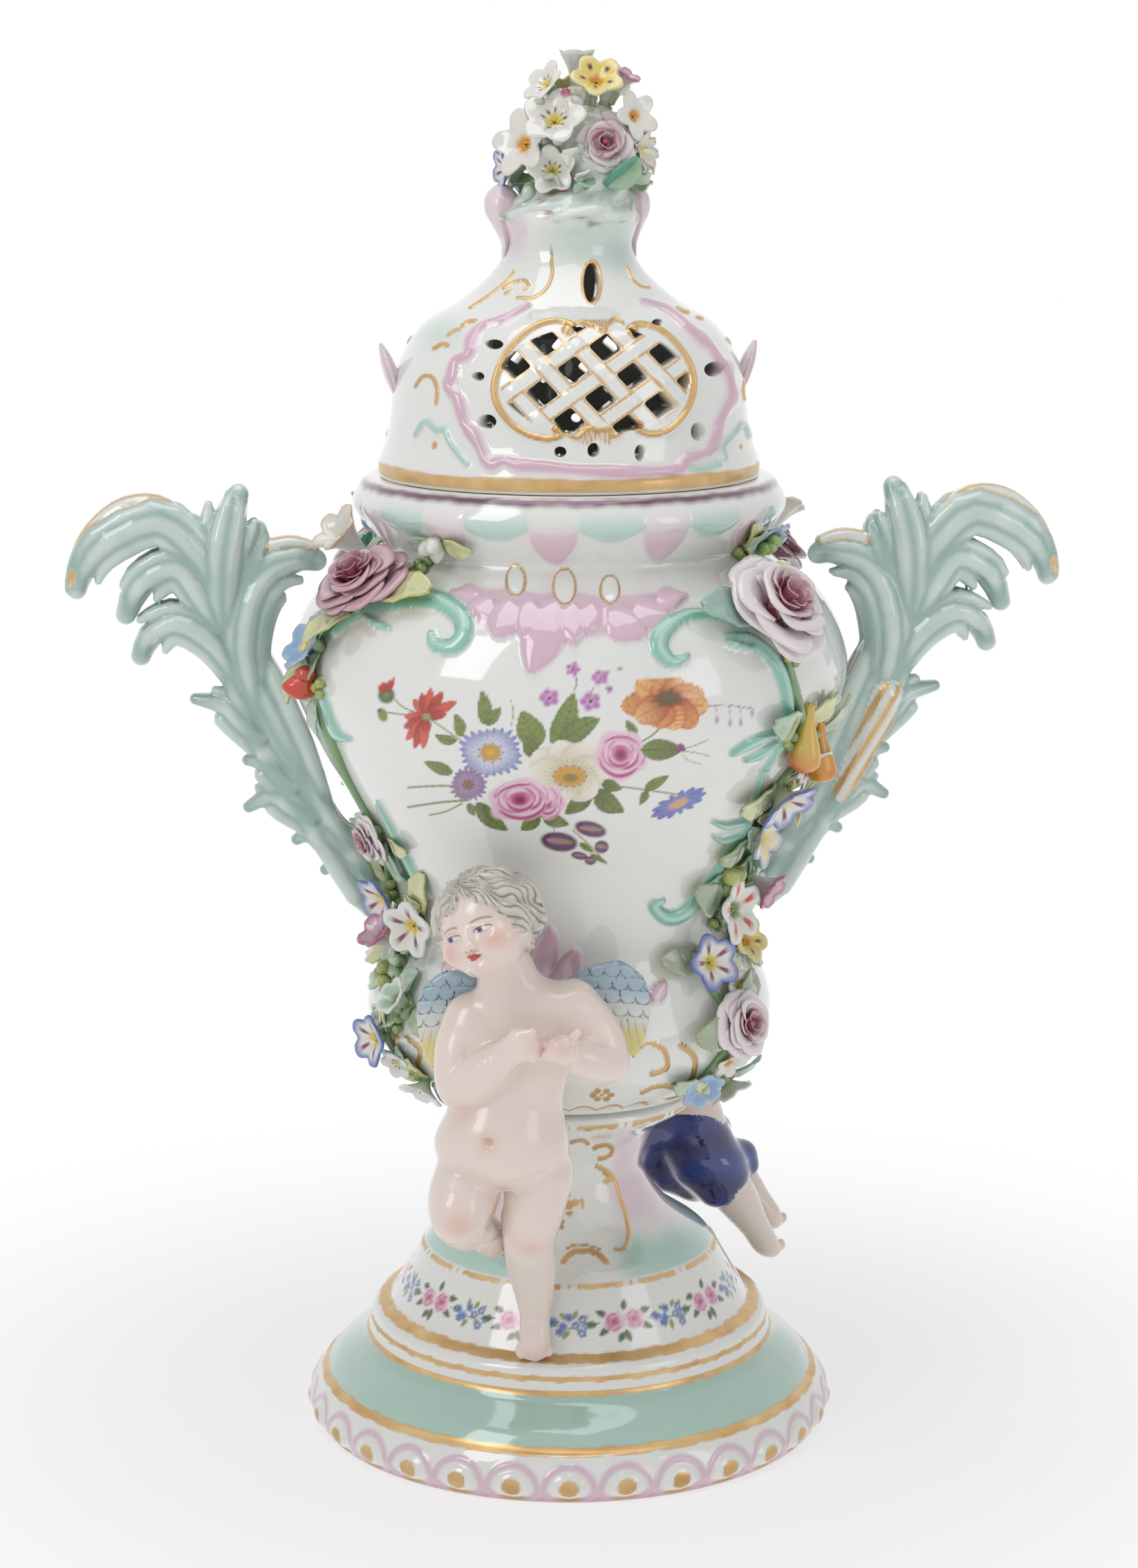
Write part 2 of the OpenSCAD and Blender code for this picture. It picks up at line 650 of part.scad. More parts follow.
module handle() {
    root = on_turned(body_table, 90, lift(root_h), branch_r + lute_gap + 0.3);
    color(sea_green) {
        chain([[root[0], 0, root[2], branch_r],
            [mix(root[0], reach(-5), 0.45), 0, mix(root[2], lift(93), 0.45), branch_r],
            [reach(-5), 0, lift(93), branch_r * 0.92], [reach(8), 0, lift(114), branch_r * 0.86],
            [reach(15), 0, lift(130), branch_r * 0.8], [reach(21), 0, lift(152), branch_r * 0.7]], 8);
        for (f = [[[12, 120], [21, 127], [29, 128]], [[2, 103], [7, 107], [11, 107]],
            [[-4, 94], [6, 96], [13, 92]], [[-14, 84], [-8, 84], [-3, 81]]])
            chain([[reach(f[0][0]), 0, lift(f[0][1]), 4.2], [reach(f[1][0]), 0, lift(f[1][1]), 3.4],
                [reach(f[2][0]), 0, lift(f[2][1]), 1.6]], 6);
        ribbed_leaf([[reach(20), lift(146), 4, 5], [reach(28), lift(175), leaf_t, leaf_w],
            [reach(leaf_reach * 0.6), lift(184), leaf_t, leaf_w],
            [reach(leaf_reach * 0.84), lift(178), leaf_t * 0.9, leaf_w * 0.8],
            [reach(leaf_reach - 1), lift(163), 1.4, 2]]);
        ribbed_leaf([[reach(19), lift(142), 4, 5], [reach(28), lift(160), leaf_t * 0.8, leaf_w * 1.1],
            [reach(leaf_reach * 0.57), lift(169), leaf_t * 0.8, leaf_w],
            [reach(leaf_reach * 0.74), lift(155), 1.4, 2]]);
        ribbed_leaf([[reach(15), lift(130), 4, 5], [reach(26), lift(147), leaf_t, leaf_w],
            [reach(leaf_reach * 0.54), lift(150), leaf_t * 0.8, leaf_w * 0.9],
            [reach(leaf_reach * 0.68), lift(141), 1.4, 2]]);
        ribbed_leaf([[reach(20), lift(146), 4, 5], [reach(20), lift(168), leaf_t * 1.25, leaf_w * 1.2],
            [reach(18), lift(184), leaf_t * 1.1, leaf_w], [reach(14), lift(194), 2, 3]]);
        ribbed_leaf([[reach(18), lift(144), 4, 5], [reach(13), lift(168), leaf_t * 0.8, leaf_w * 0.8],
            [reach(9.5), lift(182), 1.6, 2.5]]);
        ribbed_leaf([[reach(10), lift(122), 4, 5], [reach(14), lift(146), leaf_t * 1.15, leaf_w * 1.2],
            [reach(8), lift(166), leaf_t, leaf_w], [reach(-2), lift(171), leaf_t * 0.6, leaf_w * 0.6],
            [reach(-10), lift(172), 1.2, 1.5]]);
    }
}

module left_handle() { rotate([0, 0, 180 + handle_turn]) handle(); }
module right_handle() { rotate([0, 0, handle_turn]) handle(); }

// Putti. Their frame stands on the ledge, at the radius of the bowl that they lean against
lean_r = bowl_r;
toe_y = lean_r - ledge_r;

module putto_frame(turn) {
    rotate([0, 0, turn])
        translate([0, -lean_r, ledge_h])
            children();
}

front_torso = [[-19, -13, 63.4, 0.97 * hip_w, 12.6], [-20, -14.4, 70, 1.02 * hip_w, 14.2],
    [-20.4, -15.6, 78, hip_w, 14.8], [-18.5, -13.4, 89, 0.88 * hip_w, 14.4],
    [-15.5, -12.2, 101, 0.88 * hip_w, 13.6], [-14, -12, 111, 0.86 * hip_w, 11],
    [-15, -12.6, 118.5, 0.5 * hip_w, 8.4], [-17, -13.4, 123.4, 0.38 * hip_w, 7.6]];
front_head = [[-18, -14, 123.4 + lute_gap, 0.42 * head_w, 7.8], [-23.5, -17.5, 128, 0.66 * head_w, 12],
    [-25.5, -17.6, 135, 0.92 * head_w, 15], [-24.8, -16.4, 144, head_w, 16.6],
    [-23.4, -15.2, 153, 0.96 * head_w, 16.2], [-23, -14.4, 159, 0.66 * head_w, 12],
    [-23, -14.4, 162, 0.16 * head_w, 3]];

module torso_form(stations, grow) {
    last = len(stations) - 1;
    stack([for (i = [0 : last])
        let (s = stations[i], end = i == 0 ? -grow : i == last ? grow : 0)
        [s[0], s[1], s[2] + end, s[3] + grow, s[4] + grow]]);
}

module front_putto_torso() {
    color(flesh)
        putto_frame(0)
            torso_form(front_torso, 0);
}

module front_putto_head() {
    color(flesh)
        putto_frame(0)
            stack(front_head);
}

// Arm with a mitten hand and a thumb, trimmed where it is luted to the torso
module arm(shoulder, elbow, wrist, hand, thumb, torso) {
    color(flesh)
        difference() {
            union() {
                chain([concat(shoulder, arm_r), concat(mix(shoulder, elbow, 0.55), 0.96 * arm_r),
                    concat(elbow, 0.86 * arm_r), concat(mix(elbow, wrist, 0.45), 0.84 * arm_r),
                    concat(wrist, 0.56 * arm_r), concat(mix(wrist, hand, 0.5), 0.66 * arm_r),
                    concat(hand, 0.42 * arm_r)], 8);
                chain([concat(wrist, 0.4 * arm_r), concat(mix(wrist, thumb, 0.6), 0.3 * arm_r),
                    concat(thumb, 0.2 * arm_r)], 6);
            }
            torso_form(torso, lute_gap);
        }
}

// Leg with a foot and toes, cut level where it is luted under the hips
module leg(stations, toes, top) {
    color(flesh)
        difference() {
            union() {
                chain(stations, 8);
                for (k = [0 : len(toes) - 1])
                    hull() {
                        translate(toes[k])
                            sphere(r = 1.5, $fn = 6);
                        translate([for (c = [0 : 2]) mix(toes[k][c], stations[len(stations) - 1][c], 0.6)])
                            sphere(r = 1.9, $fn = 6);
                    }
            }
            translate([0, 0, top + 50])
                cube([200, 200, 100], center = true);
        }
}

module front_putto_right_arm() {
    putto_frame(0)
        arm([-32, -13, 108], [-33, -21, 93], [-18, -28, 108], [-11, -31, 113],
            [-14, -32, 117], front_torso);
}

module front_putto_left_arm() {
    putto_frame(0)
        arm([2, -12, 110], [12, -18, 97], [0, -28, 108], [-4, -36, 112], [2, -34, 116], front_torso);
}

hip_z = front_torso[0][2] - lute_gap;
toe_z = 1.4;

module front_putto_left_leg() {
    putto_frame(0)
        leg([[-9, -13, hip_z, thigh_r], [-11.6, -12, 54, 0.9 * thigh_r], [-12.2, -8, 43, 0.76 * thigh_r],
            [-11.4, -1, 32, 0.74 * thigh_r], [-10.8, toe_y, 21, 0.58 * thigh_r],
            [-10.6, toe_y + 2.4, 13, 0.46 * thigh_r],
            [-10.6, toe_y, 6.4, 0.5 * thigh_r]],
            [for (k = [-2 : 2]) [-10.6 + 2.3 * k, toe_y - 0.6 + abs(k) * 0.3, toe_z + abs(k) * 0.3]],
            hip_z);
}

module front_putto_right_leg() {
    putto_frame(0)
        leg([[-29.6, -14, hip_z, thigh_r], [-32.4, -20, 60, 0.96 * thigh_r],
            [-33.4, -25, 56, 0.82 * thigh_r],
            [-31.6, -19, 50.6, 0.72 * thigh_r], [-28, -11, 48, 0.6 * thigh_r],
            [-25, -4.6, 45.4, 0.45 * thigh_r],
            [-24, -1, 41, 0.44 * thigh_r]],
            [for (k = [-2 : 2]) [-24 + 1.8 * k, 0.6, 36 + abs(k) * 0.6]], hip_z);
}

// Feathered wing: a thin rounded fan that bows back from the shoulder blade, trimmed to the torso
module wing(root, side, torso) {
    fan = [[21.2, -2.2, -13, 3.2, 0.4], [17.8, -1.6, -9, 8.8, 0.7], [14.6, -0.8, -4, 13.6, 0.9],
        [13.8, -0.2, 2, 14.8, 1], [13.2, 0.2, 8, 13.3, 0.9], [15, 0.6, 12, 8, 0.8], [17, 0.9, 14.3, 4, 0.5]];
    color([0.78, 0.84, 0.88])
        difference() {
            stack([for (f = fan) concat(root + [side * f[0], f[1], f[2]], f[3], f[4] * wing_t / 2)], 12);
            torso_form(torso, lute_gap);
        }
}

module front_putto_right_wing() {
    putto_frame(0)
        wing([-18.6, -3.8, 111.2], -1, front_torso);
}

module front_putto_left_wing() {
    putto_frame(0)
        wing([-3, -3, 114], 1, front_torso);
}

// Rear putto, carried against the back of the bowl with its legs trailing to one side
rear_torso = [[-4, -12, 56.4, 0.97 * hip_w, 12.6], [-3, -14, 64, 1.02 * hip_w, 14],
    [0, -16, 74, hip_w, 14.6],
    [5, -14.6, 86, 0.88 * hip_w, 14.4], [9, -13.4, 98, 0.88 * hip_w, 13.6],
    [11, -13, 107, 0.86 * hip_w, 11],
    [12, -13.6, 114.5, 0.5 * hip_w, 8.4], [12.6, -14, 119.4, 0.38 * hip_w, 7.6]];
rear_head = [for (s = front_head) [s[0] + 31, s[1] - 0.4, s[2] - 4, s[3], s[4]]];
rear_hip_z = rear_torso[0][2] - lute_gap;

// It sits below the widest part of the bowl, so it leans further in
rear_in = 0.27 * rear_drop;

module rear_frame() {
    putto_frame(rear_turn)
        translate([0, rear_in, -rear_drop])
            children();
}

module rear_putto_torso() {
    color(flesh)
        rear_frame()
            torso_form(rear_torso, 0);
}

module rear_putto_head() {
    color(flesh)
        rear_frame()
            stack(rear_head);
}

module rear_putto_right_arm() {
    rear_frame()
        arm([-6, -13.8, 104], [-14, -21, 91], [-1, -31, 99], [6, -35, 103], [2, -35, 107], rear_torso);
}

module rear_putto_left_arm() {
    rear_frame()
        arm([28, -13, 105], [38, -18, 93], [28, -29, 101], [22, -35, 104], [27, -34, 109], rear_torso);
}

// Both legs trail to the putto's right, over the apron of the pedestal
rear_right_leg = [[-14, -10, rear_hip_z, thigh_r], [-22, -4, 46, 0.94 * thigh_r],
    [-28, -2, 36, 0.8 * thigh_r], [-34, -6, 26, 0.7 * thigh_r], [-39, -11, 15, 0.5 * thigh_r],
    [-42, -14, 8, 0.46 * thigh_r]];
rear_left_leg = [[8, -14, rear_hip_z, thigh_r], [-5, -22, 45.5, 0.88 * thigh_r],
    [-19, -23, 35, 0.76 * thigh_r], [-29, -22.5, 27, 0.64 * thigh_r], [-36, -23.5, 19, 0.48 * thigh_r],
    [-39.5, -24.5, 14.5, 0.44 * thigh_r]];

// Room that a leg takes up, with the gap round it
module leg_room(stations) {
    chain([for (s = stations) s + [0, 0, 0, lute_gap]]);
}

module rear_putto_right_leg() {
    rear_frame()
        leg(rear_right_leg, [for (k = [-2 : 2]) [-44 + 0.6 * k, -19 + 1.5 * k, 4 + abs(k) * 0.4]],
            rear_hip_z);
}

module rear_putto_left_leg() {
    rear_frame()
        difference() {
            leg(rear_left_leg, [for (k = [-2 : 2]) [-42 + 0.6 * k, -27 + 1.5 * k, 11 + abs(k) * 0.4]],
                rear_hip_z);
            leg_room(rear_right_leg);
        }
}

module rear_putto_right_wing() {
    rear_frame()
        wing([6.4, -4.6, 107.2], -1, rear_torso);
}

module rear_putto_left_wing() {
    rear_frame()
        wing([22, -4, 109.5], 1, rear_torso);
}

// Drapery wound round the thigh of the rear putto, with the folds that stand out from it
drapery_line = [[-18, -5.4, 46.5, 1.26 * thigh_r], [-21, -3.6, 43, 1.3 * thigh_r],
    [-26, -2.4, 37.5, 1.2 * thigh_r], [-29, -3, 33.5, 1.06 * thigh_r]];
drapery_folds = [[-25, -13.5, 47, 4.6], [-34, -11.5, 40, 4.8], [-36.5, -12, 35, 3.4], [-17, -16, 46, 4.4]];

module rear_putto_drapery() {
    color("royalblue")
        rear_frame()
            difference() {
                union() {
                    chain(drapery_line, 12);
                    for (f = drapery_folds)
                        chain([f, [mix(f[0], -24, 0.4), mix(f[1], -4, 0.4), f[2] - 1, f[3] + 1]], 8);
                }
                leg_room(rear_right_leg);
                leg_room(rear_left_leg);
                torso_form(rear_torso, lute_gap);
            }
}

pedestal();
vase_body();
packing_ring();
tie_rod();
upper_washer();
upper_nut();
lower_washer();
lower_nut();
cover();
cover_scroll_leaves();
bunch_core();
bunch_rose();
bunch_blossoms();
bunch_bell();
bunch_leaves();
left_handle();
right_handle();
front_left_leaves();
front_left_roses();
front_left_blossoms();
front_right_leaves();
front_right_roses();
front_right_blossoms();
back_right_leaves();
back_right_roses();
back_right_blossoms();
back_left_leaves();
back_left_roses();
back_left_blossoms();
front_putto_torso();
front_putto_head();
front_putto_right_arm();
front_putto_left_arm();
front_putto_right_leg();
front_putto_left_leg();
front_putto_right_wing();
front_putto_left_wing();
rear_putto_torso();
rear_putto_head();
rear_putto_right_arm();
rear_putto_left_arm();
rear_putto_right_leg();
rear_putto_left_leg();
rear_putto_right_wing();
rear_putto_left_wing();
rear_putto_drapery();
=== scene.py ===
import json
import math

import bpy
import numpy as np
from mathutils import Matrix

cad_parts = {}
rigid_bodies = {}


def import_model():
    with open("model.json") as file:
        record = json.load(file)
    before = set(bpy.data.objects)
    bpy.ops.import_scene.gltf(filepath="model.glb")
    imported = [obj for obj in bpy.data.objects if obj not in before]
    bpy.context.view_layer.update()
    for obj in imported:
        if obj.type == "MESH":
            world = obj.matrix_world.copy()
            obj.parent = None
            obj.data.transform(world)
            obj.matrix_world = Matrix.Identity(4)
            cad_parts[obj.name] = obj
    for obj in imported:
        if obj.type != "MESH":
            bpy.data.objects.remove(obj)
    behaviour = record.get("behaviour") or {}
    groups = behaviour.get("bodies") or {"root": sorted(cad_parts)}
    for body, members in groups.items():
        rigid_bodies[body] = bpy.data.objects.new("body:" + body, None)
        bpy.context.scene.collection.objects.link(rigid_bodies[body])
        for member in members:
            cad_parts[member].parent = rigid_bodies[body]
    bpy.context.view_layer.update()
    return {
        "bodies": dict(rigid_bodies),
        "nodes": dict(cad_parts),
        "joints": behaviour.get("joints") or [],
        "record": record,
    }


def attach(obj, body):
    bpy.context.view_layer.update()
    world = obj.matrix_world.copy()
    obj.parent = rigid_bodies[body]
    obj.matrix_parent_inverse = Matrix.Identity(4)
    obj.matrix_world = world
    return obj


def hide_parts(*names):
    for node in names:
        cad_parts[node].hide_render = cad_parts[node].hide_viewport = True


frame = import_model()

mm = 0.001


# small maths
def mix(a, b, t):
    return a + (b - a) * t


def ease(low, high, x):
    t = np.clip((x - low) / (high - low), 0, 1)
    return t * t * (3 - 2 * t)


def paint(r, g, b):
    c = np.array([r, g, b]) / 255
    return np.where(c <= 0.04045, c / 12.92, ((c + 0.055) / 1.055) ** 2.4)


def curve(stations, steps):
    p = np.array(stations, float)
    n = len(p) - 1
    t = np.arange(steps * n + 1) / steps
    i = np.minimum(np.floor(t).astype(int), n - 1)
    u = (t - i)[:, None]
    a, b, c, d = p[np.maximum(i - 1, 0)], p[i], p[i + 1], p[np.minimum(i + 2, n)]
    return b + 0.5 * u * ((c - a) + u * ((2 * a - 5 * b + 4 * c - d) + u * (3 * (b - c) + d - a)))


def respaced(line, step):
    # step gives the wanted spacing at each point of the line
    ds = np.linalg.norm(np.diff(line, axis=0), axis=1)
    size = step((line[1:] + line[:-1]) / 2)
    t = np.concatenate([[0], np.cumsum(ds / size)])
    want = np.linspace(0, t[-1], max(int(math.ceil(t[-1])), 2) + 1)
    return np.stack([np.interp(want, t, line[:, k]) for k in range(line.shape[1])], 1)


def unit(v):
    return v / np.maximum(np.linalg.norm(v, axis=-1, keepdims=True), 1e-12)


def axisTurn(turn):
    a = math.radians(turn)
    return np.array([[math.cos(a), -math.sin(a), 0], [math.sin(a), math.cos(a), 0], [0, 0, 1.0]])


# colours of the enamels
white = paint(236, 237, 233)
seaGreen = paint(158, 206, 191)
deepGreen = paint(104, 182, 156)
paleGreen = paint(196, 226, 216)
pink = paint(219, 184, 202)
palePink = paint(232, 211, 221)
deepPink = paint(203, 152, 180)
apronGreen = paint(164, 198, 184)
gold = paint(190, 140, 62)
plum = paint(96, 34, 72)
leafGreen = paint(124, 142, 66)
darkGreen = paint(62, 82, 40)
oliveGreen = paint(150, 158, 80)
stain = paint(150, 125, 85)


# shader wiring
def feed(tree, node, sockets):
    for key, value in sockets.items():
        if isinstance(value, Wire):
            tree.links.new(value.socket, node.inputs[key])
        else:
            node.inputs[key].default_value = value


class Wire:
    def __init__(self, tree, socket=None):
        self.tree = tree
        self.socket = socket

    def add(self, kind, settings, sockets, out=0):
        node = self.tree.nodes.new(kind)
        for key, value in settings.items():
            setattr(node, key, value)
        feed(self.tree, node, sockets)
        return Wire(self.tree, node.outputs[out])

    def sum(self, operation, a, b):
        return self.add("ShaderNodeMath", {"operation": operation}, {0: a, 1: b})

    def __add__(self, other):
        return self.sum("ADD", self, other)

    def __rsub__(self, other):
        return self.sum("SUBTRACT", other, self)

    def __mul__(self, other):
        return self.sum("MULTIPLY", self, other)

    def blend(self, factor, a, b, mode="MIX"):
        settings = {"data_type": "RGBA", "blend_type": mode}
        return self.add("ShaderNodeMix", settings, {0: factor, 6: a, 7: b}, 2)

    def place(self):
        return self.add("ShaderNodeTexCoord", {}, {}, "Object")

    def noise(self, place, scale, detail, rough=0.5):
        return self.add("ShaderNodeTexNoise", {},
                        {"Vector": place, "Scale": scale, "Detail": detail, "Roughness": rough})

    def remap(self, value, low=0.0, high=1.0, bottom=0.0, top=1.0):
        return self.add("ShaderNodeMapRange", {}, {0: value, 1: low, 2: high, 3: bottom, 4: top})

    def bump(self, height, strength, depth):
        return self.add("ShaderNodeBump", {}, {"Strength": strength, "Distance": depth, "Height": height})


def shader(name):
    material = bpy.data.materials.new(name)
    material.use_nodes = True
    tree = material.node_tree
    return material, Wire(tree), tree.nodes["Principled BSDF"]


def rgba(colour):
    return (float(colour[0]), float(colour[1]), float(colour[2]), 1.0)


gilding = {
    "dark": paint(194, 154, 98), "light": paint(218, 186, 134), "metal": 0.62, "rough": 0.2,
    "wearScale": 90.0, "thinnest": 0.92,
}
glazing = {"ripple": 380.0, "rippleDepth": 0.0006, "index": 1.52, "coatRough": 0.04}


def glaze(name, rough, coat, mottle, mottleScale, peel):
    # painted porcelain: enamel colours and gilding come from the mesh
    material, w, bsdf = shader(name)
    place = w.place()
    enamel = w.add("ShaderNodeAttribute", {"attribute_name": "enamel"}, {}, "Color")
    gilt = w.add("ShaderNodeAttribute", {"attribute_name": "gilt"}, {}, "Fac")
    cloud = w.noise(place, mottleScale, 4.0, 0.6)
    wear = w.noise(place, gilding["wearScale"], 3.0)
    ripple = w.noise(place, glazing["ripple"], 2.0)
    lit = w.blend(1.0, enamel, w.remap(cloud, 0.25, 0.75, 1 - mottle), "MULTIPLY")
    film = gilt * w.remap(wear, 0.3, 0.46, gilding["thinnest"])
    leafGold = w.blend(w.remap(wear, 0.3, 0.7), rgba(gilding["dark"]), rgba(gilding["light"]))
    feed(w.tree, bsdf, {
        "Base Color": w.blend(film, lit, leafGold),
        "Metallic": film * gilding["metal"],
        "Roughness": w.remap(cloud, bottom=rough * 0.75, top=rough * 1.3) + film * gilding["rough"],
        "Coat Weight": coat - film * coat,
        "Coat Roughness": glazing["coatRough"],
        "IOR": glazing["index"],
        "Normal": w.bump(ripple, peel, glazing["rippleDepth"]),
    })
    return material


def cork(name):
    material, w, bsdf = shader(name)
    grain = w.add("ShaderNodeTexVoronoi", {}, {"Vector": w.place(), "Scale": 700.0})
    feed(w.tree, bsdf, {
        "Base Color": w.blend(grain, rgba(paint(92, 62, 36)), rgba(paint(176, 130, 84))),
        "Roughness": grain * 0.2 + 0.7,
        "Normal": w.bump(grain, 0.5, 0.0005),
    })
    return material


def dullSteel(name):
    material, w, bsdf = shader(name)
    place = w.place()
    grain = w.noise(place, 400.0, 5.0)
    rust = w.remap(w.noise(place, 120.0, 6.0), 0.55, 0.72)
    feed(w.tree, bsdf, {
        "Base Color": w.blend(rust, rgba(paint(150, 150, 150)), rgba(paint(104, 72, 50))),
        "Metallic": 1 - rust * 0.8,
        "Roughness": grain * 0.3 + 0.3,
        "Normal": w.bump(grain, 0.2, 0.0003),
    })
    return material


# roughness, coat, mottle, size of the mottle, orange peel
finishLooks = {
    "white": (0.09, 0.8, 0.035, 60.0, 0.05),
    "leaf": (0.14, 0.6, 0.12, 240.0, 0.1),
    "petal": (0.15, 0.55, 0.08, 260.0, 0.1),
    "acanthus": (0.12, 0.7, 0.1, 110.0, 0.08),
    "flesh": (0.2, 0.45, 0.03, 120.0, 0.05),
    "wing": (0.16, 0.5, 0.06, 200.0, 0.06),
    "cobalt": (0.08, 0.9, 0.25, 160.0, 0.06),
}
finish = {key: glaze(key + "Glaze", *look) for key, look in finishLooks.items()}


# meshes
def piece(name, points, quads, tris, body, slot, nodes, material, enamel, gilt=None):
    quads = np.asarray(quads, int).reshape(-1, 4)
    tris = np.asarray(tris, int).reshape(-1, 3)
    mesh = bpy.data.meshes.new(name)
    corners = np.concatenate([quads.ravel(), tris.ravel()])
    starts = np.concatenate([np.arange(len(quads)) * 4, 4 * len(quads) + np.arange(len(tris)) * 3])
    mesh.vertices.add(len(points))
    mesh.vertices.foreach_set("co", (np.asarray(points) * mm).astype(np.float32).ravel())
    mesh.loops.add(len(corners))
    mesh.loops.foreach_set("vertex_index", corners.astype(np.int32))
    mesh.polygons.add(len(starts))
    mesh.polygons.foreach_set("loop_start", starts.astype(np.int32))
    mesh.update(calc_edges=True)
    mesh.validate()
    mesh.polygons.foreach_set("use_smooth", np.ones(len(mesh.polygons), bool))
    shade = mesh.color_attributes.new("enamel", "FLOAT_COLOR", "POINT")
    shade.data.foreach_set("color",
                           np.c_[np.clip(enamel, 0, 1), np.ones(len(points))].astype(np.float32).ravel())
    layer = mesh.attributes.new("gilt", "FLOAT", "POINT")
    layer.data.foreach_set("value",
                           (np.zeros(len(points)) if gilt is None
                            else np.clip(gilt, 0, 1)).astype(np.float32))
    mesh.materials.append(material)
    thing = bpy.data.objects.new(name, mesh)
    bpy.context.scene.collection.objects.link(thing)
    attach(thing, body)
    if nodes:
        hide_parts(*nodes)
    return thing


def turnedRows(rows, angles):
    # closed rings of points round the axis; angle 0 faces the front
    a = np.radians(angles)
    r, z = rows[:, 0][:, None], rows[:, 1][:, None]
    return np.stack([r * np.sin(a), -r * np.cos(a), z + 0 * a], -1)


def ringQuads(rowCount, count, closed=False):
    i = np.arange(rowCount if closed else rowCount - 1)[:, None]
    j = np.arange(count)[None, :]
    up, side = (i + 1) % rowCount, (j + 1) % count
    return np.stack([i * count + j, i * count + side, up * count + side, up * count + j], -1).reshape(-1, 4)


def rowNormals(rows):
    t = np.gradient(rows, axis=0)
    return unit(np.stack([t[:, 1], -t[:, 0]], 1))


def spreadAngles(step):
    fine = np.linspace(-180, 180, 3601)
    t = np.concatenate([[0], np.cumsum(np.diff(fine) / step((fine[1:] + fine[:-1]) / 2))])
    return np.interp(np.linspace(0, t[-1], int(t[-1]) + 1)[:-1], t, fine)


# drawing on the surface
# The front drawing is laid on from the front, a little from above. Its units are those of a
# front drawing 1646 wide and 2268 high, with the vase 4.6 units to the millimetre.
sheet = {"distance": 1075.0, "height": 429.4, "pitch": 0.2021, "scale": 4967.7, "middle": (824.4, 1134.0)}


def onSheet(p):
    s, c = math.sin(sheet["pitch"]), math.cos(sheet["pitch"])
    far, rise = sheet["distance"] + p[..., 1], p[..., 2] - sheet["height"]
    depth = far * c - rise * s
    return (sheet["middle"][0] + sheet["scale"] * p[..., 0] / depth,
            sheet["middle"][1] - sheet["scale"] * (far * s + rise * c) / depth)


offSheet = -9e3


def around(count, x, y, rx, ry, start=0.0):
    # places on an oval
    turns = [2 * math.pi * (k + start) / count for k in range(count)]
    return [(x + rx * math.cos(a), y + ry * math.sin(a)) for a in turns]


